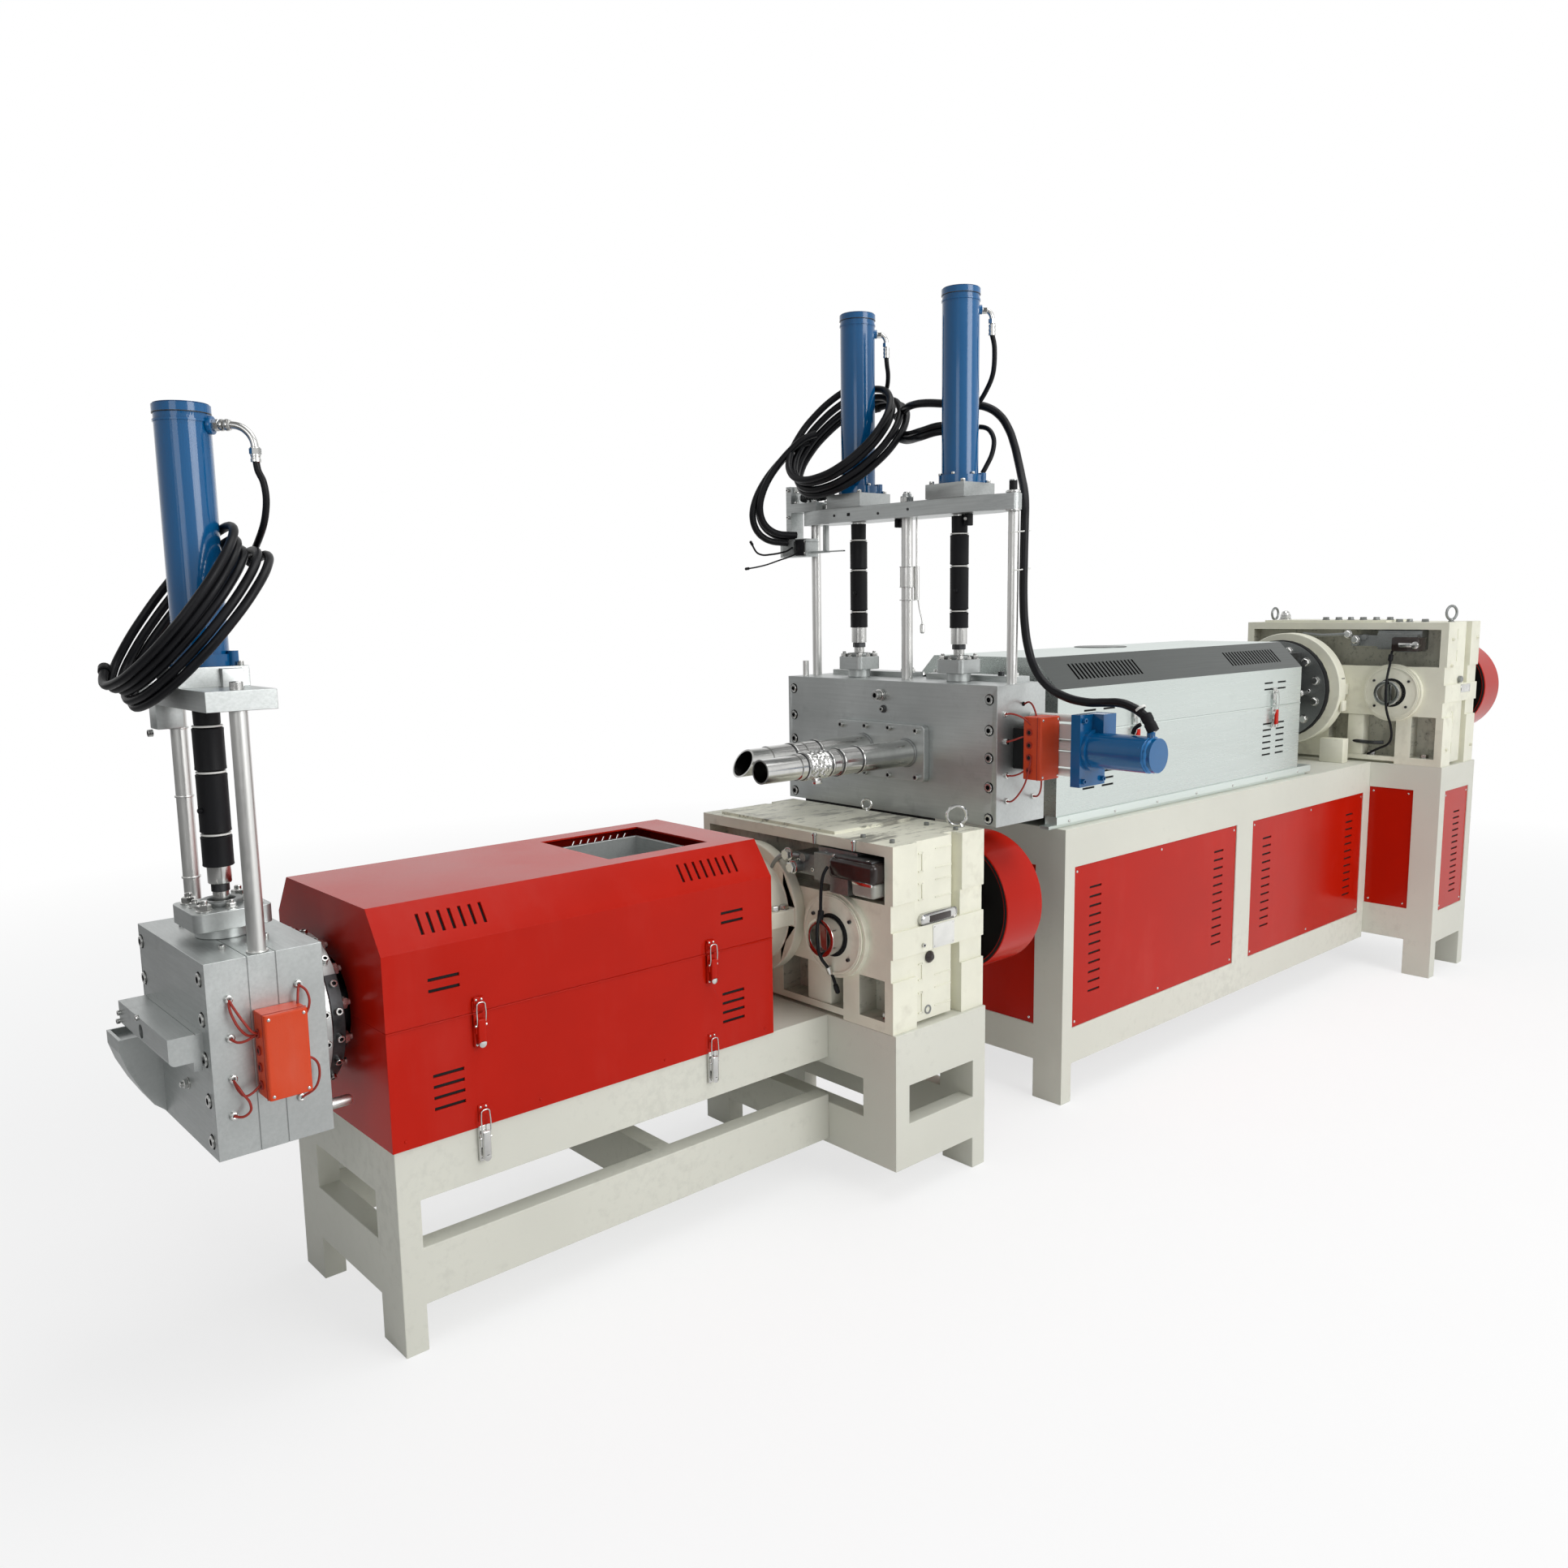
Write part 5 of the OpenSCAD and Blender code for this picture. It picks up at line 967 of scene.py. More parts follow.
class LINE_OT_terminal_boxes(bpy.types.Operator):
    """Model the lids, glands and heater leads of the terminal boxes"""
    bl_idname = "line.terminal_boxes"
    bl_label = "Terminal boxes"

    def box(self, name, x, y, z, side):
        """Lid edge, gland row and lid screws of a box whose back is at y."""
        w, h, depth = 40, 81, 57
        front = y + side * depth
        lid = y + side * (depth - 13)
        a, b = sorted((lid, lid + side * 2.2))
        plate(name + "_seam", (x - w - 0.7, a, z - h - 0.7), (x + w + 0.7, b, z + h + 0.7), "lead_sleeve", 0.6)
        holes = [Vector((x - w, y + side * depth * 0.36, z + dz)) for dz in (41, 8, -24, -58)]
        rings(name + "_gland_rims", (5.2, 9, -1, 3.2), holes, "lead_sleeve", LEFT)
        fixings(name + "_plugs", "pan", 5.4, holes, LEFT, "black_gap")
        fixings(name + "_lid_screws", "pan", 3.2, [(x + sx * (w - 8), front, z + sz * (h - 8))
                                                   for sx in (-1, 1) for sz in (-1, 1)], (0, side, 0))

    def wired(self, name, beads, leads, turn):
        """Beads on a block's side and the leads that run from them to the box."""
        side = 1 if turn(Vector((0, -100, 0))).y > 0 else -1
        model = ring("bead", 2.2, 8, -1, 6, 2.4, 20)
        coated(model, "bright_steel")
        finished(copies(model, name + "_beads", [stood(turn(Vector(p)), (0, side, 0)) for p in beads]), None)
        fixings(name + "_bead_cores", "pan", 4.4, [turn(Vector(p)) for p in beads], (0, side, 0), "dull_steel")
        d = bpy.context.scene.line_sizes.heater_lead * 0.8
        for i, lead in enumerate(leads):
            hose(f"{name}_lead_{i + 1}", [turn(Vector(p)) for p in lead], d, "lead_sleeve",
                 sides=3)

    def execute(self, context):
        softened("terminal_boxes", "orange_paint", 2.4, segments=3)
        # Faces in the gap between the main boxes and the block are painted near-black: painted shade
        second_coat(bpy.data.objects["terminal_boxes_dressed"], "black_gap", lambda at, n: -443 < at.y < -397
                    and at.x > 1600)
        s_z, m_z = middle("second_screen_block").z + 4, 1124
        self.box("second_near_box", -187, -93, s_z, -1)
        self.box("second_far_box", -187, 317, s_z, 1)
        self.box("main_near_box", 1653.5, -442, m_z, -1)
        self.box("main_far_box", 1653.5, 398, m_z, 1)
        beads = [(-268, -93, 805), (-270, -93, 731), (-271, -93, 654), (-275, -93, 584), (-142, -93, 806),
                 (-151, -93, 585)]
        # Each lead from its bead to the box
        leads = [
            [(-268, -97, 803), (-264, -110, 789), (-253, -122, 764), (-240, -124, 743), (-225, -117, 735)],
            [(-269, -97, 801), (-270, -107, 784), (-262, -116, 757), (-246, -114, 736), (-225, -110, 731)],
            [(-270, -97, 730), (-262, -108, 725), (-250, -113, 726), (-238, -113, 730), (-226, -112, 734)],
            [(-271, -97, 652), (-268, -109, 636), (-259, -115, 624), (-245, -116, 627), (-226, -113, 640)],
            [(-275, -97, 584), (-262, -108, 583), (-251, -115, 594), (-253, -118, 612), (-262, -118, 628),
             (-268, -112, 642), (-271, -98, 650)],
            [(-142, -97, 805), (-133, -108, 795), (-130, -114, 776), (-136, -116, 757), (-148, -117, 746)],
            [(-142, -97, 803), (-147, -106, 796), (-150, -111, 785), (-152, -113, 774)],
            [(-148, -116, 668), (-133, -115, 664), (-122, -114, 648), (-121, -112, 622), (-130, -108, 600),
             (-150, -97, 586)],
        ]
        self.wired("second_near", beads, leads, lambda p: p)
        self.wired("second_far", beads, leads[2:4] + leads[7:], lambda p: Vector((p.x, 224 - p.y, p.z)))
        beads = [(1593, -398, 1210), (1601, -398, 1138), (1602, -398, 1049), (1604, -398, 981), (1717, -398, 982)]
        leads = [
            [(1593, -402, 1210), (1597, -418, 1212), (1606, -438, 1206), (1611, -456, 1195), (1616, -466, 1184)],
            [(1601, -402, 1138), (1606, -418, 1143), (1613, -434, 1150), (1622, -446, 1154)],
            [(1602, -402, 1049), (1606, -418, 1050), (1612, -434, 1056), (1620, -446, 1066)],
            [(1604, -402, 981), (1598, -420, 984), (1596, -440, 1000), (1602, -456, 1028), (1606, -464, 1056),
             (1609, -468, 1080), (1615, -468, 1098)],
            [(1717, -402, 982), (1712, -416, 984), (1704, -430, 994), (1696, -441, 1014), (1690, -446, 1045)],
            [(1672, -402, 1232), (1668, -418, 1238), (1660, -436, 1232), (1656, -448, 1216), (1655, -453, 1203)],
        ]
        self.wired("main_near", beads, leads, lambda p: p)
        self.wired("main_far", beads, leads[3:5], lambda p: Vector((p.x, 398 + (abs(p.y) - 398) * 0.5, p.z)))
        fixings("lead_socket", "pan", 6, [(1672, -398, 1232)], FRONT, "black_gap")
        return {"FINISHED"}


class LINE_OT_columns(bpy.types.Operator):
    """Model the sleeves, ties, neck nuts and small pieces of the screen changers"""
    bl_idname = "line.columns"
    bl_label = "Screen changer columns"

    def sleeve(self, name, node, axis, lengths, r, top, body):
        """A rubber sleeve in tied lengths under a narrower collar, which stands for its node."""
        outline = []
        for low, high in lengths:
            outline += [(r - 1.6, low), (r, low + 1.5), (r - 0.5, low + 8), (r - 0.4, high - 8), (r, high - 1.5),
                        (r - 1.6, high), (r * 0.80, high + 0.8), (r * 0.80, high + 6.5)]
        outline += [(r * 0.84, outline[-1][1] + 1), (r * 0.86, top - 1)]
        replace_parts(round_piece(name, outline, axis, UP, "sleeve_rubber", body, 32), node)
        ties = [(axis.x, axis.y, high + 1.6) for low, high in lengths]
        rings(name + "_ties", (r * 0.76, r * 0.96, 0, 3.8, 1.2), ties, "white_plastic", body=body)
        knot = (axis.x - r * 0.9, axis.y - r * 0.35, lengths[0][0] + (lengths[1][1] - lengths[0][0]) * 0.62)
        round_piece(name + "_knot", [(2, 0), (5, 1), (5.5, 6), (3, 8)], knot, (-1, -0.4, 0), "sleeve_rubber", body,
                    14)

    def execute(self, context):
        softened("glands", "block_steel", 1.6)
        axis = SECOND
        self.sleeve("second_tied_sleeve", "second_ram_sleeve", axis, [(1013, 1072), (1080, 1193), (1201, 1282)],
                    29, 1323, "second_ram")
        rod = round_piece("second_ram_dressed", [(15, 817), (15, 962), (17, 963), (17, 978), (21, 979), (22, 981),
                                                 (22, 1014), (18, 1015), (18, 1520)], axis, UP, "bright_steel",
                          "second_ram", 32)
        second_coat(rod, "dark_steel", lambda at, n: 950 < at.z < 979)
        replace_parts(rod, "second_ram")
        for side, axis in (("near", NEAR), ("far", FAR)):
            self.sleeve(side + "_tied_sleeve", side + "_ram_sleeve", axis, [(1429, 1471), (1479, 1591), (1599, 1677)],
                        25.5, 1728, side + "_ram")
            round_piece(side + "_neck_collar", [(16.6, 0), (18.5, 1), (18.5, 13), (16, 14)],
                        (axis.x, axis.y, 1371), UP, "dark_steel", side + "_ram", 8)
        for name, (x, y, _), z, span, d in (("second", SECOND, 937, 47, 15), ("near", NEAR, 1344.5, 31, 11),
                                            ("far", FAR, 1344.5, 31, 11)):
            fixings(name + "_gland_nuts", "nut", d, [(x + sx * span, y + sy * span, z)
                                                     for sx in (-1, 1) for sy in (-1, 1)])
            rings(name + "_gland_rings", (25.5, 25.5 + span * 0.28, 0, 11, 2), [(x, y, z - 0.5)], "dull_steel")
            wide = span * 1.05
            fixings(name + "_gland_studs", "nut", d * 0.72, [(x - wide, y + 3, z), (x + 2, y - wide, z),
                                                            (x + wide, y - 4, z)])
        # White wire that ties the run hose to the near rod
        rod = Vector((NEAR.x, -370, 0))
        for i, (z, run) in enumerate(((1677, (1690, -382)), (1580, (1691, -384)))):
            mid = Vector(((rod.x + run[0]) / 2, (rod.y + run[1]) / 2, z))
            along = Vector((run[0] - rod.x, run[1] - rod.y, 0)).normalized()
            side = Vector((-along.y, along.x, 0))
            loop = [mid + along * 30.5 * math.cos(a) * (1 - 0.04 * math.cos(4 * a)) + side * 17 * math.sin(a)
                    + Vector((0, 0, 3 * math.cos(a))) for a in [math.tau * k / 20 for k in range(21)]]
            pipe(f"run_tie_{i + 1}", loop, 3.4, "white_plastic")
        # Grey boss with its black cap at the near end of the beam
        round_piece("boss_cap", [(9.2, 0), (10.5, 1), (10.5, 24), (8.5, 27)], (NEAR.x - 11, -376, 1780), UP,
                    "sleeve_rubber")
        rings("boss_rings", (16.6, 19.2, 0, 5), [(NEAR.x - 11, -376, 1774), (NEAR.x - 11, -376, 1728)],
              "bright_steel")
        # Small blocks and screws at the beam
        plate("beam_stop_near", (1640, -232, 1700), (1664, -219, 1731.5), "sleeve_rubber", 2)
        plate("beam_stop_middle", (1640, 20, 1708), (1662, 32, 1731.5), "sleeve_rubber", 2)
        fixings("beam_stop_screw", "pan", 5, [(1640, -225, 1718)], LEFT)
        fixings("beam_nuts", "nut", 23, [(NEAR.x, 0, 1772.5), (NEAR.x, 304, 1772.5)])
        fixings("beam_pins", "pan", 4, [(1603, -52, 1752), (1603, 60, 1748), (1603, 235, 1752)], LEFT, "dark_steel")
        plate("beam_plug", (1602, 170, 1747), (1606, 183, 1757), "black_gap", 1.8)
        for node, z, (x, y, _) in (("second", 1400, SECOND), ("near", 1810.5, NEAR), ("far", 1810.5, FAR)):
            turns = [math.radians(20 + 60 * k) for k in range(6)]
            fixings(node + "_foot_screws", "socket", 6.5,
                    [(x + 53 * math.cos(a), y + 53 * math.sin(a), z + 22) for a in turns])
            fixings(node + "_jack_plate_screws", "socket", 9,
                    [(x + sx * 52, y + sy * 54, z) for sx in (-1, 1) for sy in (-1, 1)])
        # Rings on the far rod of the second stage, and the bracket under its crosshead
        far_rod = Vector((SECOND.x, SECOND.y + 182, 0))
        rings("far_rod_rings", (15, 18.5, 0, 4), [far_rod + raised(z) for z in (960, 1128, 1268)], "rod_steel")
        near_rod = Vector((SECOND.x, SECOND.y - 182, 0))
        rings("near_rod_ring", (15, 20, 0, 3, 1), [near_rod + raised(877)], "rod_steel")
        plate("second_bracket", (far_rod.x - 46, far_rod.y - 20, 1270), (far_rod.x + 6, far_rod.y + 26, 1325.5),
              "block_steel", 3)
        fixings("second_bracket_screw", "socket", 10, [(far_rod.x - 46, far_rod.y + 12, 1262)], LEFT)
        fixings("second_head_nuts", "socket", 16, [(SECOND.x, SECOND.y + s * 182, 1362) for s in (-1, 1)])
        # Middle rod of the main stage: clamp rings, lever and its thin cable
        mid_rod = Vector((NEAR.x, 0, 0))
        rings("clamp_rings", (15.5, 21.5, 0, 3), [mid_rod + raised(z) for z in (1505, 1541, 1597)], "bright_steel")
        spring = beside(mid_rod, 27, 0, 0)
        lever = [spring + Vector(p) for p in ((4, -2, 1506), (8, -4, 1480), (13, -8, 1452), (14, -9, 1436))]
        pipe("clamp_lever", lever, 4, "rod_steel")
        round_piece("clamp_lever_grip", [(3, 0), (6.5, 3), (7, 22), (4, 27)], lever[-1] - raised(24), UP,
                    "rod_steel", sides=16)
        return {"FINISHED"}


class LINE_OT_barrels(bpy.types.Operator):
    """Round the barrels and model their flange screws, nuts and studs, the drain stub and the disc screws"""
    bl_idname = "line.barrels"
    bl_label = "Barrels"

    def execute(self, context):
        barrel = softened("second_barrel", "dark_steel", 1.5)
        second_coat(barrel, "block_steel", lambda at, n: at.z > 790 or at.x < -64)
        axis = Vector((0, SECOND.y, SECOND_AXIS))
        spots = [(place, (place - Vector((x, axis.y, axis.z))).normalized()) for x, r in ((-79, 165), (-49, 155))
                 for place in around(axis, r, 18, 10, x)]
        fixings("second_flange_screws", "socket", 10, spots)
        fixings("second_flange_nuts", "nut", 14, around(axis, 138, 12, 15, -36), RIGHT)
        round_piece("second_drain_stub", [(9, 0), (11, 2), (11, 44), (9, 49), (4, 50)], (-93, -62, 541), RIGHT,
                    "rod_steel")
        barrel = softened("main_barrel", "dark_steel", 1.5)
        second_coat(barrel, "dull_steel", lambda at, n: at.x > 3850 and n.x < -0.9)
        axis = raised(MAIN_AXIS)
        x = local_box("main_adapter")[0].x - 34
        fixings("main_disc_screws", "hex", 17, around(axis, 160, 12, 15, x), LEFT)
        fixings("main_disc_small_screws", "socket", 10, around(axis, 132, 6, 0, x), LEFT)
        rings("main_disc_rim", (193, 199, 0, 30, 2), [Vector((x + 2, 0, axis.z))], "black_gap", RIGHT)
        for i, y in enumerate((-123, 123)):
            round_piece(f"tie_stud_{i + 1}", [(10, 0), (12, 1), (12, 58), (10, 60), (8, 61), (8, 74)],
                        (x + 1, y, MAIN_AXIS - 7), LEFT, "bright_steel", sides=20)
        back = local_box("main_barrel")[0].x + 82
        fixings("main_flange_nuts", "nut", 16, around(axis, 138, 12, 15, back), RIGHT)
        spots = [(place, (place - Vector((place.x, 0, axis.z))).normalized())
                 for place in around(axis, 165, 18, 10, back - 62)]
        fixings("main_flange_screws", "socket", 13, spots)
        return {"FINISHED"}


class LINE_OT_pipes(bpy.types.Operator):
    """Put the seams, bands and the wrapped clamp on the outlet pipes"""
    bl_idname = "line.pipes"
    bl_label = "Outlet pipes"

    def execute(self, context):
        dress("pipe_steel", "outlet_pipes")
        z = middle("outlet_plate").z
        start = local_box("outlet_plate")[0].x
        for name, y, r, seams in (("near", -102, 36, ((1428, 34.2), (1339, 36.6), (1269, 36.6), (1229, 34.4),
                                                      (1147, 34.4))),
                                  ("far", 62, 40, ((1430, 38.2), (1345, 40.6), (1255, 38.4)))):
            for i, (x, radius) in enumerate(seams):
                rings(f"{name}_pipe_seam_{i + 1}", (radius - 2, radius + 0.8, -1.6, 1.6, 0.5), [(x, y, z)],
                      "dark_steel", LEFT)
                rings(f"{name}_pipe_lip_{i + 1}", (radius - 2, radius + 1.2, -3.4, 3.4, 1.4), [(x + 7, y, z)],
                      "pipe_steel", LEFT)
            rings(name + "_pipe_weld", (r - 5, r + 4, -4, 4, 3.4), [(start - 1, y, z)], "dull_steel", LEFT)
        foil = turned("foil", [(34.6, 0)] + [(35.8 + 1.3 * math.sin(k * 2.3) + 0.7 * math.sin(k * 5.1), 3 + 5.4 * k)
                                             for k in range(15)] + [(34.6, 82)], 40)
        edit(foil)
        bpy.ops.mesh.subdivide(number_cuts=1)
        done()
        for v in foil.data.vertices:
            turn = math.atan2(v.co.y, v.co.x)
            crinkle = 0.9 * math.sin(turn * 9 + v.co.z * 410) + 0.7 * math.sin(turn * 17 - v.co.z * 900)
            low = 1 - min(1, max(0, abs(v.co.z - 0.041) / 0.041)) ** 4
            v.co.xy *= 1 + crinkle * low * MM / 0.035
        foil.data.transform(stood((1229, -102, z), LEFT))
        finished(foil, "pipe_steel", "line", 25)
        fixings("foil_clamp_screw", "hex", 9, [(1188, -118, z - 33)], (0, -0.45, -0.9))
        plate("foil_clamp_tab", (1176, -126, z - 47), (1200, -112, z - 31), "bright_steel", 2.5)
        return {"FINISHED"}


class LINE_OT_latches(bpy.types.Operator):
    """Model the toggle latches of both covers"""
    bl_idname = "line.latches"
    bl_label = "Latches"

    def latches(self, name, places, length, reach, back, coats, above="line"):
        """Toggle latches on an upright sheet that faces -Y, each at the middle of its seam.

        The sheet lies this far behind; coats are those of the keeper, the base and the lever."""
        keeper, base, handle = coats

        def put(piece, part, coat, body="line"):
            o = copies(part, f"{name}_{piece}", [Matrix.Translation(point(p)) for p in places])
            return finished(o, coat, body)

        top, low = reach, -length * 0.86
        put("keepers", block("part", (-11, -2.4, 6), (11, back, top + 12), 1), keeper, above)
        put("keeper_lips", block("part", (-8, -9, top - 8), (8, 0, top), 1.8), keeper, above)
        bases = put("bases", block("part", (-13, -2.2, low), (13, back, -3), 1), base)
        put("ears", block("part", (-12, -8, -length * 0.52), (12, -1, -length * 0.2), 2), base)
        put("levers", block("part", (-9, -14, -length * 0.74), (9, -6, -length * 0.14), 2.6, 3), handle)
        for piece, outline, sides, place, axis in (
                ("tips", [(6, 0), (8.4, 1.2), (8.4, 3.8), (6, 5)], 18, (0, -9, -length * 0.76), "X"),
                ("pins", [(2.6, 0), (3.2, 0.6), (3.2, 26.4), (2.6, 27)], 14, (-13.5, -6.5, -length * 0.31), "Y")):
            part = turned("part", outline, sides)
            part.data.transform(Matrix.Translation(Vector(place) * MM) @ Matrix.Rotation(math.pi / 2, 4, axis))
            put(piece, part, "bright_steel")
        foot = -length * 0.3
        wire = [(-8, -8, foot), (-9.6, -11, foot + 12), (-9.6, -11, top - 6), (-8, -11, top + 1), (0, -11, top + 3.4),
                (8, -11, top + 1), (9.6, -11, top - 6), (9.6, -11, foot + 12), (8, -8, foot)]
        for i, place in enumerate(places):
            pipe(f"{name}_wire_{i + 1}", [Vector(place) + Vector(p) for p in wire], 2.8, "bright_steel")
        for piece, d, across, up, body in (("keeper", 2.6, 6, top + 7, above), ("base", 2.8, 8, low + 5, "line")):
            proud = -2.4 if piece == "keeper" else -2.2
            fixings(f"{name}_{piece}_screws", "pan", d, [Vector(p) + Vector((s * across, proud, up)) for p in places
                                                         for s in (-1, 1)], FRONT, body=body)
        return bases

    def execute(self, context):
        low, high = local_box("second_cover_latches")
        second = (low.x + 16, high.x - 16)
        self.latches("second_seam", [(x, -157.5, 686) for x in second], 84, 20, 4.5, ("red_paint",) * 3, "second_lid")
        bases = self.latches("sill", [(x, -153.4, 446) for x in second], 92, 30, 5.3,
                             ("red_paint", "bright_steel", "bright_steel"))
        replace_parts(bases, "second_cover_latches")
        main = [(x, -282.5, 1115) for x in (2393, 3290)]
        self.latches("main_seam", main, 90, 52, 4.4, ("bright_steel", "bright_steel", "red_paint"), "main_lid")
        return {"FINISHED"}


class LINE_OT_gearboxes(bpy.types.Operator):
    """Model the pumps, cables, glasses, plates, eye bolts and screws of both gearboxes"""
    bl_idname = "line.gearboxes"
    bl_label = "Gearboxes"

    def eye(self, name, place, radius, wire, coat="bright_steel", tilt=UP, turn=0):
        """A forged ring on a collar and a shank."""
        deselect()
        bpy.ops.mesh.primitive_torus_add(major_radius=radius * MM, minor_radius=wire * MM, major_segments=32,
                                         minor_segments=10, location=(0, 0, (radius + 9) * MM),
                                         rotation=(math.radians(90), 0, 0))
        hoop = settle(bpy.context.object)
        foot = turned("foot", [(wire * 1.9, -2), (wire * 2.1, 1), (wire * 2.1, 4), (wire * 1.3, 7),
                               (wire * 1.1, 13)], 20)
        o = joined(name, [hoop, foot])
        o.data.transform(stood(place, tilt, turn))
        return finished(o, coat)

    def shaft_end(self, name, shaft):
        """Ring, groove and screws of a bearing cover, and the black seal round its bright sleeve."""
        x = local_box(name)[0].x
        face = x + 40
        rings(name + "_seal", (48.3, 56, -3, 1, 1), [(face - 1, shaft.y, shaft.z)], "black_gap", LEFT)
        rings(name + "_sleeve_lip", (36, 49.2, -1, 3, 1), [(x, shaft.y, shaft.z)], "bright_steel", LEFT)
        rings(name + "_cover_ring", (96, 101.5, 0, 2.5, 1), [(face, shaft.y, shaft.z)], "cream_paint", LEFT)
        rings(name + "_cover_edge", (102, 105, -4, 0.8, 0.6), [(face, shaft.y, shaft.z)], "cream_paint", LEFT)
        fixings(name + "_cover_screws", "socket", 6.5, [(face, shaft.y + 80 * math.cos(a), shaft.z + 80 * math.sin(a))
                                                      for a in [math.radians(d) for d in (35, 145, 222, 318)]],
                LEFT, "dark_steel")

    def pump(self, name, x, y, low, high, cup):
        """The dark reservoir with its lid and the pale cup that hangs below it."""
        plate(name + "_reservoir", (x - 38, y[0], low), (x + 40, y[1], high), "dark_gloss", 13, segments=4)
        plate(name + "_tank_lid", (x - 30, y[0] + 12, high - 2), (x + 36, y[1] - 16, high + 5), "dark_steel", 3)
        plate(name + "_cup", (x - 31, cup[0], cup[2]), (x + 30, cup[1], cup[3]), "cup_plastic", 10, segments=4)
        plate(name + "_cup_band", (x - 33, cup[0] + 5, cup[3] - 10), (x + 30, cup[1] - 5, cup[3] - 1),
              "bright_steel", 2)
        fixings(name + "_tank_screws", "socket", 6, [(x - 24, y[1] - 10, high), (x - 24, y[0] + 30, high)])

    def field(self, name, x, y, ribs, lines):
        """Raised brackets and fine lines cast into the field of the near side."""
        for i, (low, high) in enumerate(ribs):
            parts = [block("rib", (x + 12, y - 3, low), (x + 16, y + 3, high), 1),
                     block("rib", (x, y - 3, high - 4), (x + 16, y + 3, high), 1),
                     block("rib", (x, y - 3, low), (x + 16, y + 3, low + 4), 1)]
            finished(moved(joined(f"{name}_rib_{i + 1}", parts)), "cream_paint")
        for i, z in enumerate(lines):
            plate(f"{name}_line_{i + 1}", (x + 63, y - 2, z), (x + 126, y + 3, z + 3), "cream_paint", 0.8)

    def execute(self, context):
        casting = context.scene.line_sizes.casting_edge
        for node in ("second_gearbox", "main_gearbox"):
            low, high = local_box(node)
            o = softened(node, "cream_paint", casting)
            shaft = middle("second_pulley" if node == "second_gearbox" else "main_pulley")
            second_coat(o, "bright_steel", lambda at, n: at.x < low.x + 38
                        and math.hypot(at.y - shaft.y, at.z - shaft.z) < 49)
            if node == "second_gearbox":
                second_coat(o, "worn_cream", lambda at, n: at.z > high.z - 12 and n.z > -0.2)
            # The pockets take the darker, worn cream: real grime and wear, with painted shade in the recesses
            second_coat(o, "grimy_cream", lambda at, n: low.x + 64 < at.x < low.x + 127
                        and low.y + 16 < at.y < high.y - 16 and low.z + 12 < at.z < high.z - 14)
            self.shaft_end(node, shaft)
        softened("second_adapter", "cream_paint", casting)
        softened("main_adapter", "cream_paint", casting)
        for node in ("second_oil_pump", "main_oil_pump"):
            softened(node, "dull_steel", 3)
        fixings("belt_bolts", "hex", 14, [(1108, -36, 712), (1137, -41, 712), (1108, 260, 712), (1137, 265, 712),
                                          (1062, -38, 712), (1062, 262, 712)])
        plate("second_cast_rib", (1193, -158, 466), (1251, -68, 574), "cream_paint", 5)
        plate("main_cast_rib", (4071, -272, 866), (4129, -208, 1031), "cream_paint", 5)
        self.pump("second_pump", 1190, (-349, -190), 817, 871, (-343, -266, 782, 822))
        pipe("second_pump_pipe", [(1178, -60, 850), (1166, -34, 852), (1160, -10, 846), (1158, 10, 832),
                                  (1160, 34, 800), (1168, 52, 778)], 13, "dull_steel")
        fixings("second_pump_nuts", "hex", 17, [(1156, -58.5, 824), (1166, -30, 853)], LEFT)
        fixings("second_pump_screws", "socket", 7, [(1190, -150, 869), (1180, -60, 840), (1180, -112, 822)], LEFT)
        plug = round_piece("second_cable_plug", [(4, 0), (6, 2), (7, 16), (6, 26), (4, 28)], (1190, -186, 506),
                           (-0.35, 0, 0.94), "sleeve_rubber")
        cable = [(1151, -193, 846), (1141, -188, 828), (1137, -184, 800), (1135, -183, 765), (1132, -184, 730),
                 (1121, -187, 708), (1114, -190, 685), (1113, -192, 658), (1118, -192, 630), (1134, -189, 604),
                 (1152, -187, 584), (1168, -186, 562), (1176, -186, 545), (1180, -186, 534)]
        hose("second_pump_cable", evened(cable, 24), 8.5, "sleeve_rubber")
        for i, place in enumerate(((1133, -184, 722), (1160, -186, 574))):
            round_piece(f"second_cable_joint_{i + 1}", [(5, -13), (8, -11), (8, 8), (5, 13)], place,
                        (-0.2, -0.05, -1) if i == 0 else (0.4, 0, -0.9), ("sleeve_rubber", "bright_steel")[i])
        field_y = -369.7
        self.field("second_field", 1292, field_y, ((835, 885), (763, 808), (556, 601), (470, 526)),
                   (886, 837, 806, 761, 558, 525, 477))
        plate("sight_glass", (1291, -383, 699), (1431, -367, 729), "bright_steel", 13, segments=4)
        plate("sight_window", (1322, -385, 705), (1402, -380, 722), "dark_gloss", 2.2)
        plate("second_bare_plate", (1337, -381.2, 634), (1419, -378, 695), "white_plastic", 1)
        fixings("second_plate_rivets", "pan", 2.4, [(1342, -381.2, 640), (1414, -381.2, 640), (1342, -381.2, 690),
                                                    (1414, -381.2, 690)], FRONT)
        round_piece("second_drain", [(5, 0), (15, 1.5), (15.5, 5), (11, 10), (6, 14)], (1333, -369, 612), FRONT,
                    "dark_gloss")
        fixings("second_side_screw", "socket", 7, [(1300, -379, 650)], FRONT)
        rings("second_side_ring", (8, 12, -1, 2.4, 1), [(1329, field_y, 474)], "dull_steel", FRONT)
        fixings("second_foot_screws", "hex", 17, [(1221, -334, 468), (1221, 60, 468), (1221, 300, 468)])
        self.eye("second_lift_ring_1", (1513, -323, 914), 26, 4.4, tilt=(-0.34, 0.16, 0.92), turn=-40)
        self.eye("second_lift_ring_2", (1516, 25, 914), 14, 3.6, turn=-60)
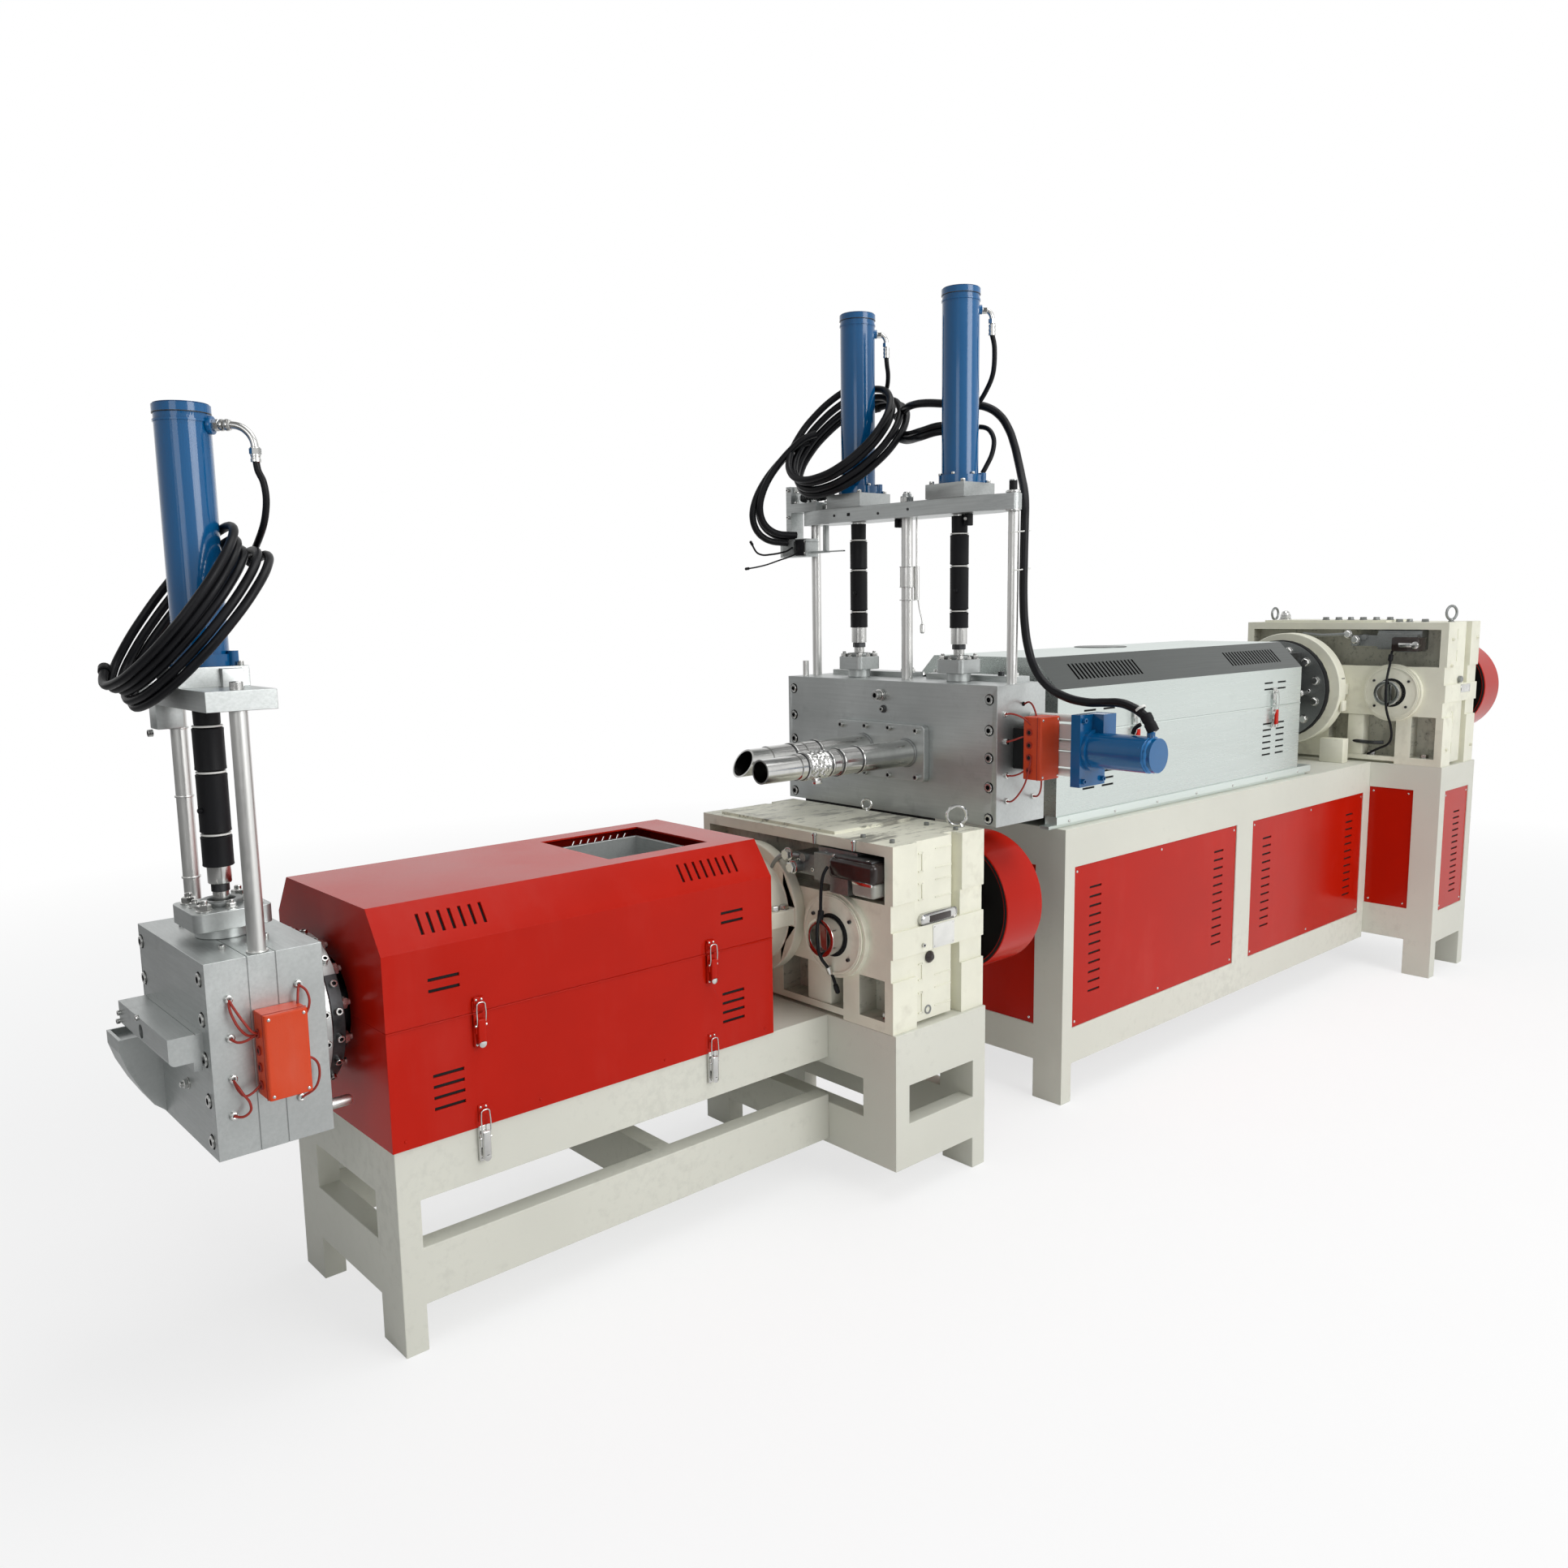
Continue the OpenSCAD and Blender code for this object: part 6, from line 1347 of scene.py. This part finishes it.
        # A near-black strip under the block's front edge: painted shadow in the slit below the block
        plate("block_seat", (1565, -170, 904), (1586, 330, 915.6), "black_gap", 1)
        for i, y in enumerate((-108, -250)):
            round_piece(f"second_rim_stud_{i + 1}", [(4, 0), (5.5, 1), (5.5, 20), (7.5, 21), (7.5, 26), (5, 28)],
                        (1186, y, 888), UP, "bright_steel")
        fixings("second_top_screws", "socket", 9, [(x, y, 915) for x in (1230, 1470) for y in (-340, -240)],
                coat="dull_steel")
        # Main gearbox: its pump stands at this x
        x = 4068
        plate("main_pump_box", (x - 40, -483, 1283), (x + 40, -377, 1340), "dark_gloss", 9)
        plate("main_pump_band", (x - 42, -455, 1300), (x + 30, -405, 1318), "bright_steel", 4)
        round_piece("main_pump_stub", [(11, 0), (14, 2), (14, 16), (10, 18)], (x - 30, -470, 1309), LEFT,
                    "bright_steel")
        flat = [(x - 26, -216, 1345), (x - 36, -198, 1349), (x - 40, -168, 1347), (x - 42, -130, 1345),
                (x - 40, -96, 1344), (x - 34, -62, 1347), (x - 20, -22, 1350)]
        pipe("main_pump_pipe", evened(flat, 14), 13, "dull_steel")
        fixings("main_pump_nuts", "hex", 16, [(4034, -238.5, 1328), (4040, -206, 1349)], LEFT)
        cable = [(4046, -377, 1284), (4037, -377, 1262), (4030, -378, 1235), (4012, -380, 1204), (3998, -382, 1172),
                 (3992, -384, 1122), (3994, -386, 1074), (4010, -388, 1036), (4032, -392, 996), (4044, -393, 950),
                 (4050, -378, 918), (4056, -345, 900), (4066, -315, 884), (4080, -290, 870)]
        hose("main_pump_cable", evened(cable, 26), 9, "sleeve_rubber")
        round_piece("main_cable_joint", [(6, -14), (9, -12), (9, 10), (6, 14)], (4036, -377, 1258), (-0.3, 0, -1),
                    "sleeve_rubber")
        pipe("main_low_pipe", [(4078, -233, 921), (4070, -262, 920), (4070, -300, 919), (4070, -330, 920),
                               (4076, -352, 922)], 15, "dark_steel")
        bolts = [(4150, y, z) for z, row in ((1403, (-64, -117, -166, -216, -268, -321)), (1395, (-357, -396, -454)))
                 for y in row]
        fixings("main_top_bolts", "hex", 14, bolts, coat="dull_steel")
        fixings("main_breather", "cap", 25, [(4209, 138, 1403)])
        self.eye("main_eye_1", (4161, -545, 1395), 26, 5, "dull_steel", turn=-22)
        self.eye("main_eye_2", (4250, 205, 1395), 24, 5, "dull_steel", turn=-4)
        self.field("main_field", 4168, -563.7, ((1326, 1372), (1240, 1290), (1000, 1050), (880, 930)), ())
        plate("main_sight", (4222, -577, 1120), (4312, -570, 1152), "bright_steel", 3)
        round_piece("main_knob", [(9, 0), (13, 2), (13, 12), (8, 15)], (4218, -564, 1173), FRONT, "dull_steel")
        fixings("main_foot_screws", "hex", 17, [(4098, -500, 868), (4098, -300, 868), (4098, 170, 868)])
        screws = [(x, -573, z) for x, row in ((4110, (905, 1230, 1330)), (4360, (905, 1330))) for z in row]
        fixings("main_side_screws", "socket", 8, screws, FRONT, "cream_paint")
        # Dots, window and foot blocks of the main adapter ring
        a = math.radians(12)
        out = (0, -math.cos(a), math.sin(a))
        dots = [((x, 226.2 * out[1], MAIN_AXIS + 226.2 * out[2]), out) for x in (3970, 3979, 3988)]
        fixings("adapter_dots", "pan", 2.6, dots, coat="black_gap")
        plate("adapter_window", (3962, -233, 1046), (3996, -221, 1088), "cream_paint", 4)
        for i, side in enumerate((-1, 1)):
            y = sorted((side * 152, side * 246))
            plate(f"adapter_foot_{i + 1}", (3952, y[0], 840.2), (4002, y[1], 936), "cream_paint", 3)
        return {"FINISHED"}


class LINE_OT_covers(bpy.types.Operator):
    """Put dark sheets behind the slots, as painted shade, and the screws on covers and panels"""
    bl_idname = "line.covers"
    bl_label = "Covers and panels"

    def slope_liner(self, name, x, y, z, rise, run, body):
        """A dark strip under a sloping edge's slots, as painted shade, from x[0] to x[1]."""
        long = math.hypot(rise, run)
        out = Vector((0, -rise / long, run / long))
        o = block(name, (x[0], -1, -long * 0.3), (x[1], 1, long * 0.3), 0.5)
        o.data.transform(Matrix.Rotation(-math.atan2(run, rise), 4, "X"))
        o.data.transform(Matrix.Translation(point(Vector((0, y, z)) - out * 6.5)))
        finished(o, "black_gap", body)

    def execute(self, context):
        edge = context.scene.line_sizes.edge
        softened("second_cover_base", "red_paint", edge)
        softened("second_cover_lid", "red_paint", edge, "second_lid")
        softened("main_cover_base", "stainless", edge)
        # The louvres in the sloping edges are opened a little wider than the part's own slots
        lean = math.atan2(88, 90)  # how far the sloping edges lean back
        spots = [Matrix.Translation(point((first + 20 * i, side * 234, 1290))) @ Matrix.Rotation(side * lean, 4, "X")
                 for first in (2130, 3038) for i in range(18) for side in (-1, 1)]
        louvres = copies(block("louvre", (-5, -10, -31), (5, 10, 31), 0.3, 1), "louvres", spots)
        lid = softened("main_cover_lid", "stainless", edge, "main_lid", cut=louvres)
        # The lid's sloping edges take the darker copy of the sheet (painted shade) and its flat top the lighter copy
        # (painted light)
        second_coat(lid, "stainless_shade", lambda at, n: 0.4 < n.z < 0.92 and at.z > 1240)
        second_coat(lid, "stainless_light", lambda at, n: n.z > 0.97 and at.z > 1300)
        # The side walls of the louvres are painted near-black: painted shade inside the slots
        second_coat(lid, "black_gap", lambda at, n: abs(n.x) > 0.9 and at.z > 1250 and 2010 < at.x < 3480)
        dress("red_paint", "main_side_panels")
        # The sill takes the lighter copy of the sheet: painted light
        softened("main_cover_sill", "stainless_light", 1)
        # Dark sheets behind the wall slots of both covers: painted shade inside the covers
        for stage, slots, width, sides, base, lid in (
                ("second", (89, 835), 76, (-148.8, 370.8), (494, 587), (739, 786)),
                ("main", (2124, 2224, 3221, 3318), 69, (-273.8, 271.8), (932, 1064), (1166, 1208))):
            for i, x in enumerate(slots):
                for j, y in enumerate(sides):
                    for half, (low, high), body in (("base", base, "line"), ("lid", lid, stage + "_lid")):
                        plate(f"{stage}_{half}_liner_{i}{j}", (x - 8, y, low), (x + width, y + 2, high),
                              "black_gap", 0.5, body)
        # Dark strips under the slots of the sloping edges: painted shade
        self.slope_liner("second_slope_liner_1", (86, 242), -122.5, 882.5, 85, 61, "second_lid")
        self.slope_liner("second_slope_liner_2", (735, 915), -122.5, 882.5, 85, 61, "second_lid")
        self.slope_liner("main_slope_liner_1", (2120, 2480), -234, 1290, 90, 88, "main_lid")
        self.slope_liner("main_slope_liner_2", (3028, 3388), -234, 1290, 90, 88, "main_lid")
        # Dark sheets behind the panel slots: painted shade inside the panels
        for i, x in enumerate((2131, 2860, 3200, 3873)):
            for name, y in (("panel_liner", -301.8), ("panel_liner_back", 299.8)):
                plate(f"{name}_{i}", (x - 8, y, 310), (x + 70, y + 2, 662), "black_gap", 0.5)
        # The same dark sheet behind the stand's slot: painted shade
        plate("stand_liner", (4219, -569.8, 312), (4297, -567.8, 662), "black_gap", 0.5)
        screws = [(x, -306, z) for low, high in ((2048, 3005), (3117, 4018))
                  for x in (low + 16, (low + high) / 2, high - 16) for z in (246, 706)]
        fixings("panel_screws", "pan", 4, screws, FRONT)
        fixings("stand_panel_screws", "pan", 4, [(x, -574, z) for x in (4134, 4342) for z in (284, 724)], FRONT)
        fixings("recess_screws", "pan", 4, [(4072, y, z) for y in (-460, -326) for z in (284, 726)], LEFT)
        fixings("end_panel_screws", "pan", 4, [(2002, y, z) for y in (-186, 186) for z in (246, 706)], LEFT)
        fixings("sill_screws", "pan", 4.5, [(x, -284, 858) for x in range(2050, 3500, 240)], FRONT)
        fixings("base_screws", "pan", 3.4, [(x, -153, 458) for x in (24, 330, 660, 968)], FRONT, "red_paint")
        plate("second_seam_lip", (-4, -155.2, 682.6), (996, -152, 685.8), "red_paint", 0.8)
        # The main seam lip takes the lighter copy of the sheet: a painted highlight along the seam
        plate("main_seam_lip", (1993, -280.4, 1111.4), (3498, -277, 1114.8), "stainless_light", 0.8)
        # The lid disc takes the darker copy of the sheet: painted shade
        round_piece("lid_disc", [(88, 0), (90, 0.6), (90, 2.4), (86, 3.2), (20, 3.2)], (2783, 110, 1335), UP,
                    "stainless_shade", "main_lid", 40)
        return {"FINISHED"}


class LINE_OT_valves(bpy.types.Operator):
    """Model the coil, the knob, the switch and the thin cables of the valve block"""
    bl_idname = "line.valves"
    bl_label = "Valves"

    def execute(self, context):
        softened("valve_block", "head_steel", 1.6)
        rings("coil_ribs", (11.1, 14, -1.6, 1.6, 1), [(1648, 338 + 8 * i, 1816.5) for i in range(10)], "dark_steel",
              BEHIND)
        round_piece("valve_cap", [(11, 0), (13, 1.5), (13, 12), (8, 15)], (1648, 333, 1816.5), FRONT, "sleeve_rubber")
        round_piece("valve_knob", [(8, 0), (11, 2), (11, 14), (7, 17)], (1648, 372, 1798), UP, "sleeve_rubber")
        fixings("valve_fitting", "hex", 20, [(1648, 432, 1832)])
        pipe("valve_elbow", [(1648, 432, 1846), (1648, 430, 1858), (1644, 418, 1868), (1638, 402, 1872)], 11,
             "bright_steel")
        plate("switch_block", (1588, 394, 1643), (1600, 446, 1690), "dull_steel", 3)
        plate("switch_body", (1586, 352, 1643), (1596, 388, 1690), "sleeve_rubber", 3)
        plate("switch_seam", (1590, 344, 1682), (1644, 457, 1684.5), "dark_steel", 0.8)
        plate("switch_bracket", (1612, 290, 1649), (1640, 360, 1655), "block_steel", 1.2)
        plate("switch_arm", (1620, 219, 1650), (1632, 292, 1654), "block_steel", 1)
        plate("switch_strip", (1616, 290, 1652), (1636, 297, 1729), "block_steel", 1.2)
        fixings("switch_screws", "pan", 4, [(1592, y, z) for y in (352, 450) for z in (1650, 1684)], LEFT)
        fixings("valve_screws", "socket", 7, [(x, y, 1798.5) for x in (1626, 1670) for y in (338, 424)])
        fixings("valve_plate_screws", "socket", 7, [(1618, 447, z) for z in (1710, 1760, 1840)], LEFT)
        for name, d, route in (
                ("switch_cable", 5.5, [(1588, 400, 1668), (1565, 400, 1657), (1532, 400, 1650), (1501, 400, 1646),
                                       (1470, 400, 1644), (1446, 401, 1652), (1429, 402, 1676)]),
                ("sensor_cable", 4.5, [(1590, 376, 1652), (1560, 380, 1640), (1520, 388, 1628), (1480, 394, 1616),
                                       (1440, 398, 1608), (1410, 400, 1604)])):
            tip = round_piece(name + "_tip", [(3, -6), (4.2, -4), (4.2, 7), (2.4, 9)], route[-1],
                              Vector(route[-1]) - Vector(route[-2]), "sleeve_rubber", sides=14)
            hose(name, evened(route), d, "sleeve_rubber")
        return {"FINISHED"}


class LINE_OT_cylinders(bpy.types.Operator):
    """Finish the hydraulic cylinders with their rims, blocks, crinkled cap and ferrule"""
    bl_idname = "line.cylinders"
    bl_label = "Cylinders"

    def execute(self, context):
        softened("second_cylinder", "blue_paint", 1.5)
        softened("main_cylinders", "blue_paint", 1.5)
        softened("side_cylinder", "blue_paint", 2)
        softened("side_spacers", "white_plastic", 1)
        for name, column, top in (("second", SECOND, 1882), ("near", NEAR, 2310.5), ("far", FAR, 2310.5)):
            rings(name + "_head_groove", (48.6, 51.3, -1, 1, 0.5), [column + raised(top - 18)], "dark_steel")
            round_piece(name + "_head_lid", [(47, -1), (48, 0), (46, 0.25), (43, 0.3)], column + raised(top - 0.4),
                        UP, "blue_paint", sides=48)
        rings("second_port_collar", (9, 17, 0, 9, 1.5), [beside(SECOND, 48, 0, 1843)], "blue_paint", OUT)
        rings("second_port_rings", (7.4, 11, 0, 6, 1), [beside(SECOND, 70, 0, 1843), beside(SECOND, 80, 0, 1843)],
              "bright_steel", OUT)
        low = local_box("side_cylinder")[0]
        axis = Vector((middle("side_cylinder").x, 0, MAIN_AXIS))
        outline = [(41, 0)]
        outline += [(43.4 + 1.1 * math.sin(k * 2.1), 2 + 3 * k) for k in range(9)] + [(41, 28), (24, 28.6)]
        cap = turned("side_cap", outline, 40)
        for v in cap.data.vertices:
            turn = math.atan2(v.co.y, v.co.x)
            out = min(1, v.co.xy.length / 0.04)  # from 0 in the middle to 1 near the rim
            v.co.xy *= 1 + 0.022 * math.sin(7 * turn + 190 * v.co.z) * out + 0.012 * math.sin(15 * turn)
        cap.data.transform(stood((axis.x, low.y + 36, axis.z), FRONT))
        finished(cap, "pale_blue")
        fixings("side_flange_screws", "socket", 9, [(x, -618, z) for x in (1624, 1707) for z in (1052, 1204)], FRONT,
                "blue_paint")
        port = Vector((axis.x, low.y + 22, 1198))
        round_piece("side_ferrule", [(9, -2), (14.5, 0), (14.5, 20), (13.2, 22), (13.2, 26), (14.5, 28), (14.5, 44),
                                     (12, 46)],
                    port + Vector((0, -6, -12)), (0, 0.6, 1), "sleeve_rubber")
        rings("side_tie", (11.6, 14, -3, 3, 1), [port + Vector((0, 31, 40))], "white_plastic", (0, 0.8, 1))
        pipe("side_branch", evened([port + Vector((0, 30, 2)), port + Vector((0, 44, -8)),
                                    port + Vector((0, 50, -22))], 8), 10, "sleeve_rubber")
        return {"FINISHED"}


class LINE_OT_finishes(bpy.types.Operator):
    """Give the frames, crossheads, rods, sleeves and pulleys their finishes and rounded edges"""
    bl_idname = "line.finishes"
    bl_label = "Finishes"

    def execute(self, context):
        for node in ("second_frame", "second_gearbox_stand", "main_frame", "main_gearbox_stand"):
            softened(node, "frame_paint", 2.2)
        for node in ("second_crosshead", "main_crosshead"):
            softened(node, "head_steel", 1.6)
        for node in ("second_pulley", "main_pulley"):
            axis = middle(node)
            o = softened(node, "red_paint", 3, node)
            # The inside of the hollow pulley, within its rim, is painted near-black: painted shade
            second_coat(o, "black_gap", lambda at, n: math.hypot(at.y - axis.y, at.z - axis.z) < 172)
        dress("bright_steel", "second_cover_latches", "second_ram", "near_ram", "far_ram", "hose_fittings")
        dress("rod_steel", "second_guide_rods", "main_guide_rods")
        dress("sleeve_rubber", "second_ram_sleeve", "near_ram_sleeve", "far_ram_sleeve")
        dress("hose_rubber", "second_hose", "far_hose", "near_hose", "side_hose")
        return {"FINISHED"}


class LINE_OT_stage(bpy.types.Operator):
    """Set the pale floor, the sky and the soft lamps"""
    bl_idname = "line.stage"
    bl_label = "Stage"

    def sky(self, context):
        """White all round for the camera; reflections are darker overhead and to the left."""
        world = bpy.data.worlds.new("sky")
        context.scene.world = world
        f = Finish("sky", world)
        way = f.tree.nodes.new("ShaderNodeSeparateXYZ")
        f.tree.links.new(f.node("ShaderNodeTexCoord", output="Generated").socket, way.inputs[0])
        along, up = Value(f, way.outputs["X"]), Value(f, way.outputs["Z"])

        def light(strength, tint=(1, 1, 1)):
            return f.node("ShaderNodeBackground", None, {"Color": tint, "Strength": strength}, "Background")

        mirrored = f.between(up, 0.42, 0.85, 1.0, 0.3) * f.between(along, -0.9, 0.1, 0.62, 1.0)
        paths = f.tree.nodes.new("ShaderNodeLightPath")
        seen = f.between(Value(f, paths.outputs["Is Camera Ray"]) + Value(f, paths.outputs["Is Transmission Ray"]),
                         0, 1)
        soft = light(f.between(along, -1, 1, 0.10, 0.64), (0.95, 0.97, 1))
        both = f.node("ShaderNodeMixShader", None, {0: Value(f, paths.outputs["Is Glossy Ray"]), 1: soft,
                                                    2: light(mirrored)}, "Shader")
        f.node_output(f.node("ShaderNodeMixShader", None, {0: seen, 1: both, 2: light(1.0)}, "Shader"),
                      "ShaderNodeOutputWorld")

    def execute(self, context):
        deselect()
        bpy.ops.mesh.primitive_circle_add(vertices=96, radius=30, fill_type="NGON", location=(0, 0, 0))
        floor = bpy.context.object
        floor.name = "floor"
        f = Finish("pale_floor")
        far = f.node("ShaderNodeVectorMath", {"operation": "LENGTH"}, {0: f.coords}, "Value")
        fade = f.between(far, 2.4, 6)
        across = f.tree.nodes.new("ShaderNodeSeparateXYZ")
        f.tree.links.new(f.coords.socket, across.inputs[0])
        mottled = f.noise(3, 3)
        ground = f.node("ShaderNodeBsdfDiffuse", None,
                        {"Color": f.mix(mottled, (0.90, 0.90, 0.895), (0.93, 0.93, 0.925))}, "BSDF")
        paths = f.tree.nodes.new("ShaderNodeLightPath")
        dimmed = 1 - f.between(Value(f, across.outputs["X"]), -4.2, 0, 0.16, 1.08)
        mirrored = 1 - Value(f, paths.outputs["Is Glossy Ray"]) * dimmed
        glow = f.node("ShaderNodeEmission", None, {"Color": (1, 1, 1), "Strength": mirrored}, "Emission")
        seen = Value(f, paths.outputs["Is Camera Ray"]) + Value(f, paths.outputs["Is Glossy Ray"]) + \
            Value(f, paths.outputs["Is Transmission Ray"])
        share = f.between(seen, 0, 1) * (fade * 0.30 + 0.70)
        f.node_output(f.node("ShaderNodeMixShader", None, {0: share, 1: ground, 2: glow}, "Shader"))
        floor.data.materials.append(f.material)
        self.sky(context)
        for name, place, aim, width, power in (
                ("lamp_high", (0.4, -1.0, 6.0), (0, 0, 0.6), 4.5, 150),
                ("lamp_front", (0.4, -6.5, 3.4), (0.1, 0, 0.9), 3.6, 225),
                ("lamp_left", (-5.0, -2.0, 2.2), (-1.4, 0, 0.9), 1.6, 16)):
            data = bpy.data.lights.new(name, "AREA")
            data.shape = "SQUARE"
            data.size = width
            data.energy = power
            lamp = bpy.data.objects.new(name, data)
            context.scene.collection.objects.link(lamp)
            lamp.matrix_world = Matrix.Translation(place) @ (Vector(aim) - Vector(place)).to_track_quat(
                "-Z", "Y").to_matrix().to_4x4()
        return {"FINISHED"}


STEPS = [
    LINE_OT_camera, LINE_OT_second_hoses, LINE_OT_main_hoses, LINE_OT_fittings, LINE_OT_screen_blocks,
    LINE_OT_terminal_boxes, LINE_OT_columns, LINE_OT_barrels, LINE_OT_pipes, LINE_OT_latches, LINE_OT_gearboxes,
    LINE_OT_covers, LINE_OT_valves, LINE_OT_cylinders, LINE_OT_finishes, LINE_OT_stage,
]


class LINE_PT_panel(bpy.types.Panel):
    """Sizes, colours and steps of the recycling line"""
    bl_idname = "LINE_PT_panel"
    bl_label = "Recycling Line"
    bl_space_type = "VIEW_3D"
    bl_region_type = "UI"
    bl_category = "Recycling Line"

    def draw(self, context):
        for group in (context.scene.line_sizes, context.scene.line_colours):
            for name in group.__annotations__:
                self.layout.prop(group, name)
        for step in STEPS:
            self.layout.operator(step.bl_idname)


CLASSES = [LineColours, LineSizes, *STEPS, LINE_PT_panel]


def register():
    for made in CLASSES:
        bpy.utils.register_class(made)
    bpy.types.Scene.line_colours = PointerProperty(type=LineColours)
    bpy.types.Scene.line_sizes = PointerProperty(type=LineSizes)


def unregister():
    del bpy.types.Scene.line_sizes
    del bpy.types.Scene.line_colours
    for made in reversed(CLASSES):
        bpy.utils.unregister_class(made)


def main():
    """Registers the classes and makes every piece."""
    register()
    for step in STEPS:
        group, name = step.bl_idname.split(".")
        getattr(getattr(bpy.ops, group), name)()
    deselect()
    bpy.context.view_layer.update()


if __name__ == "__main__":
    main()
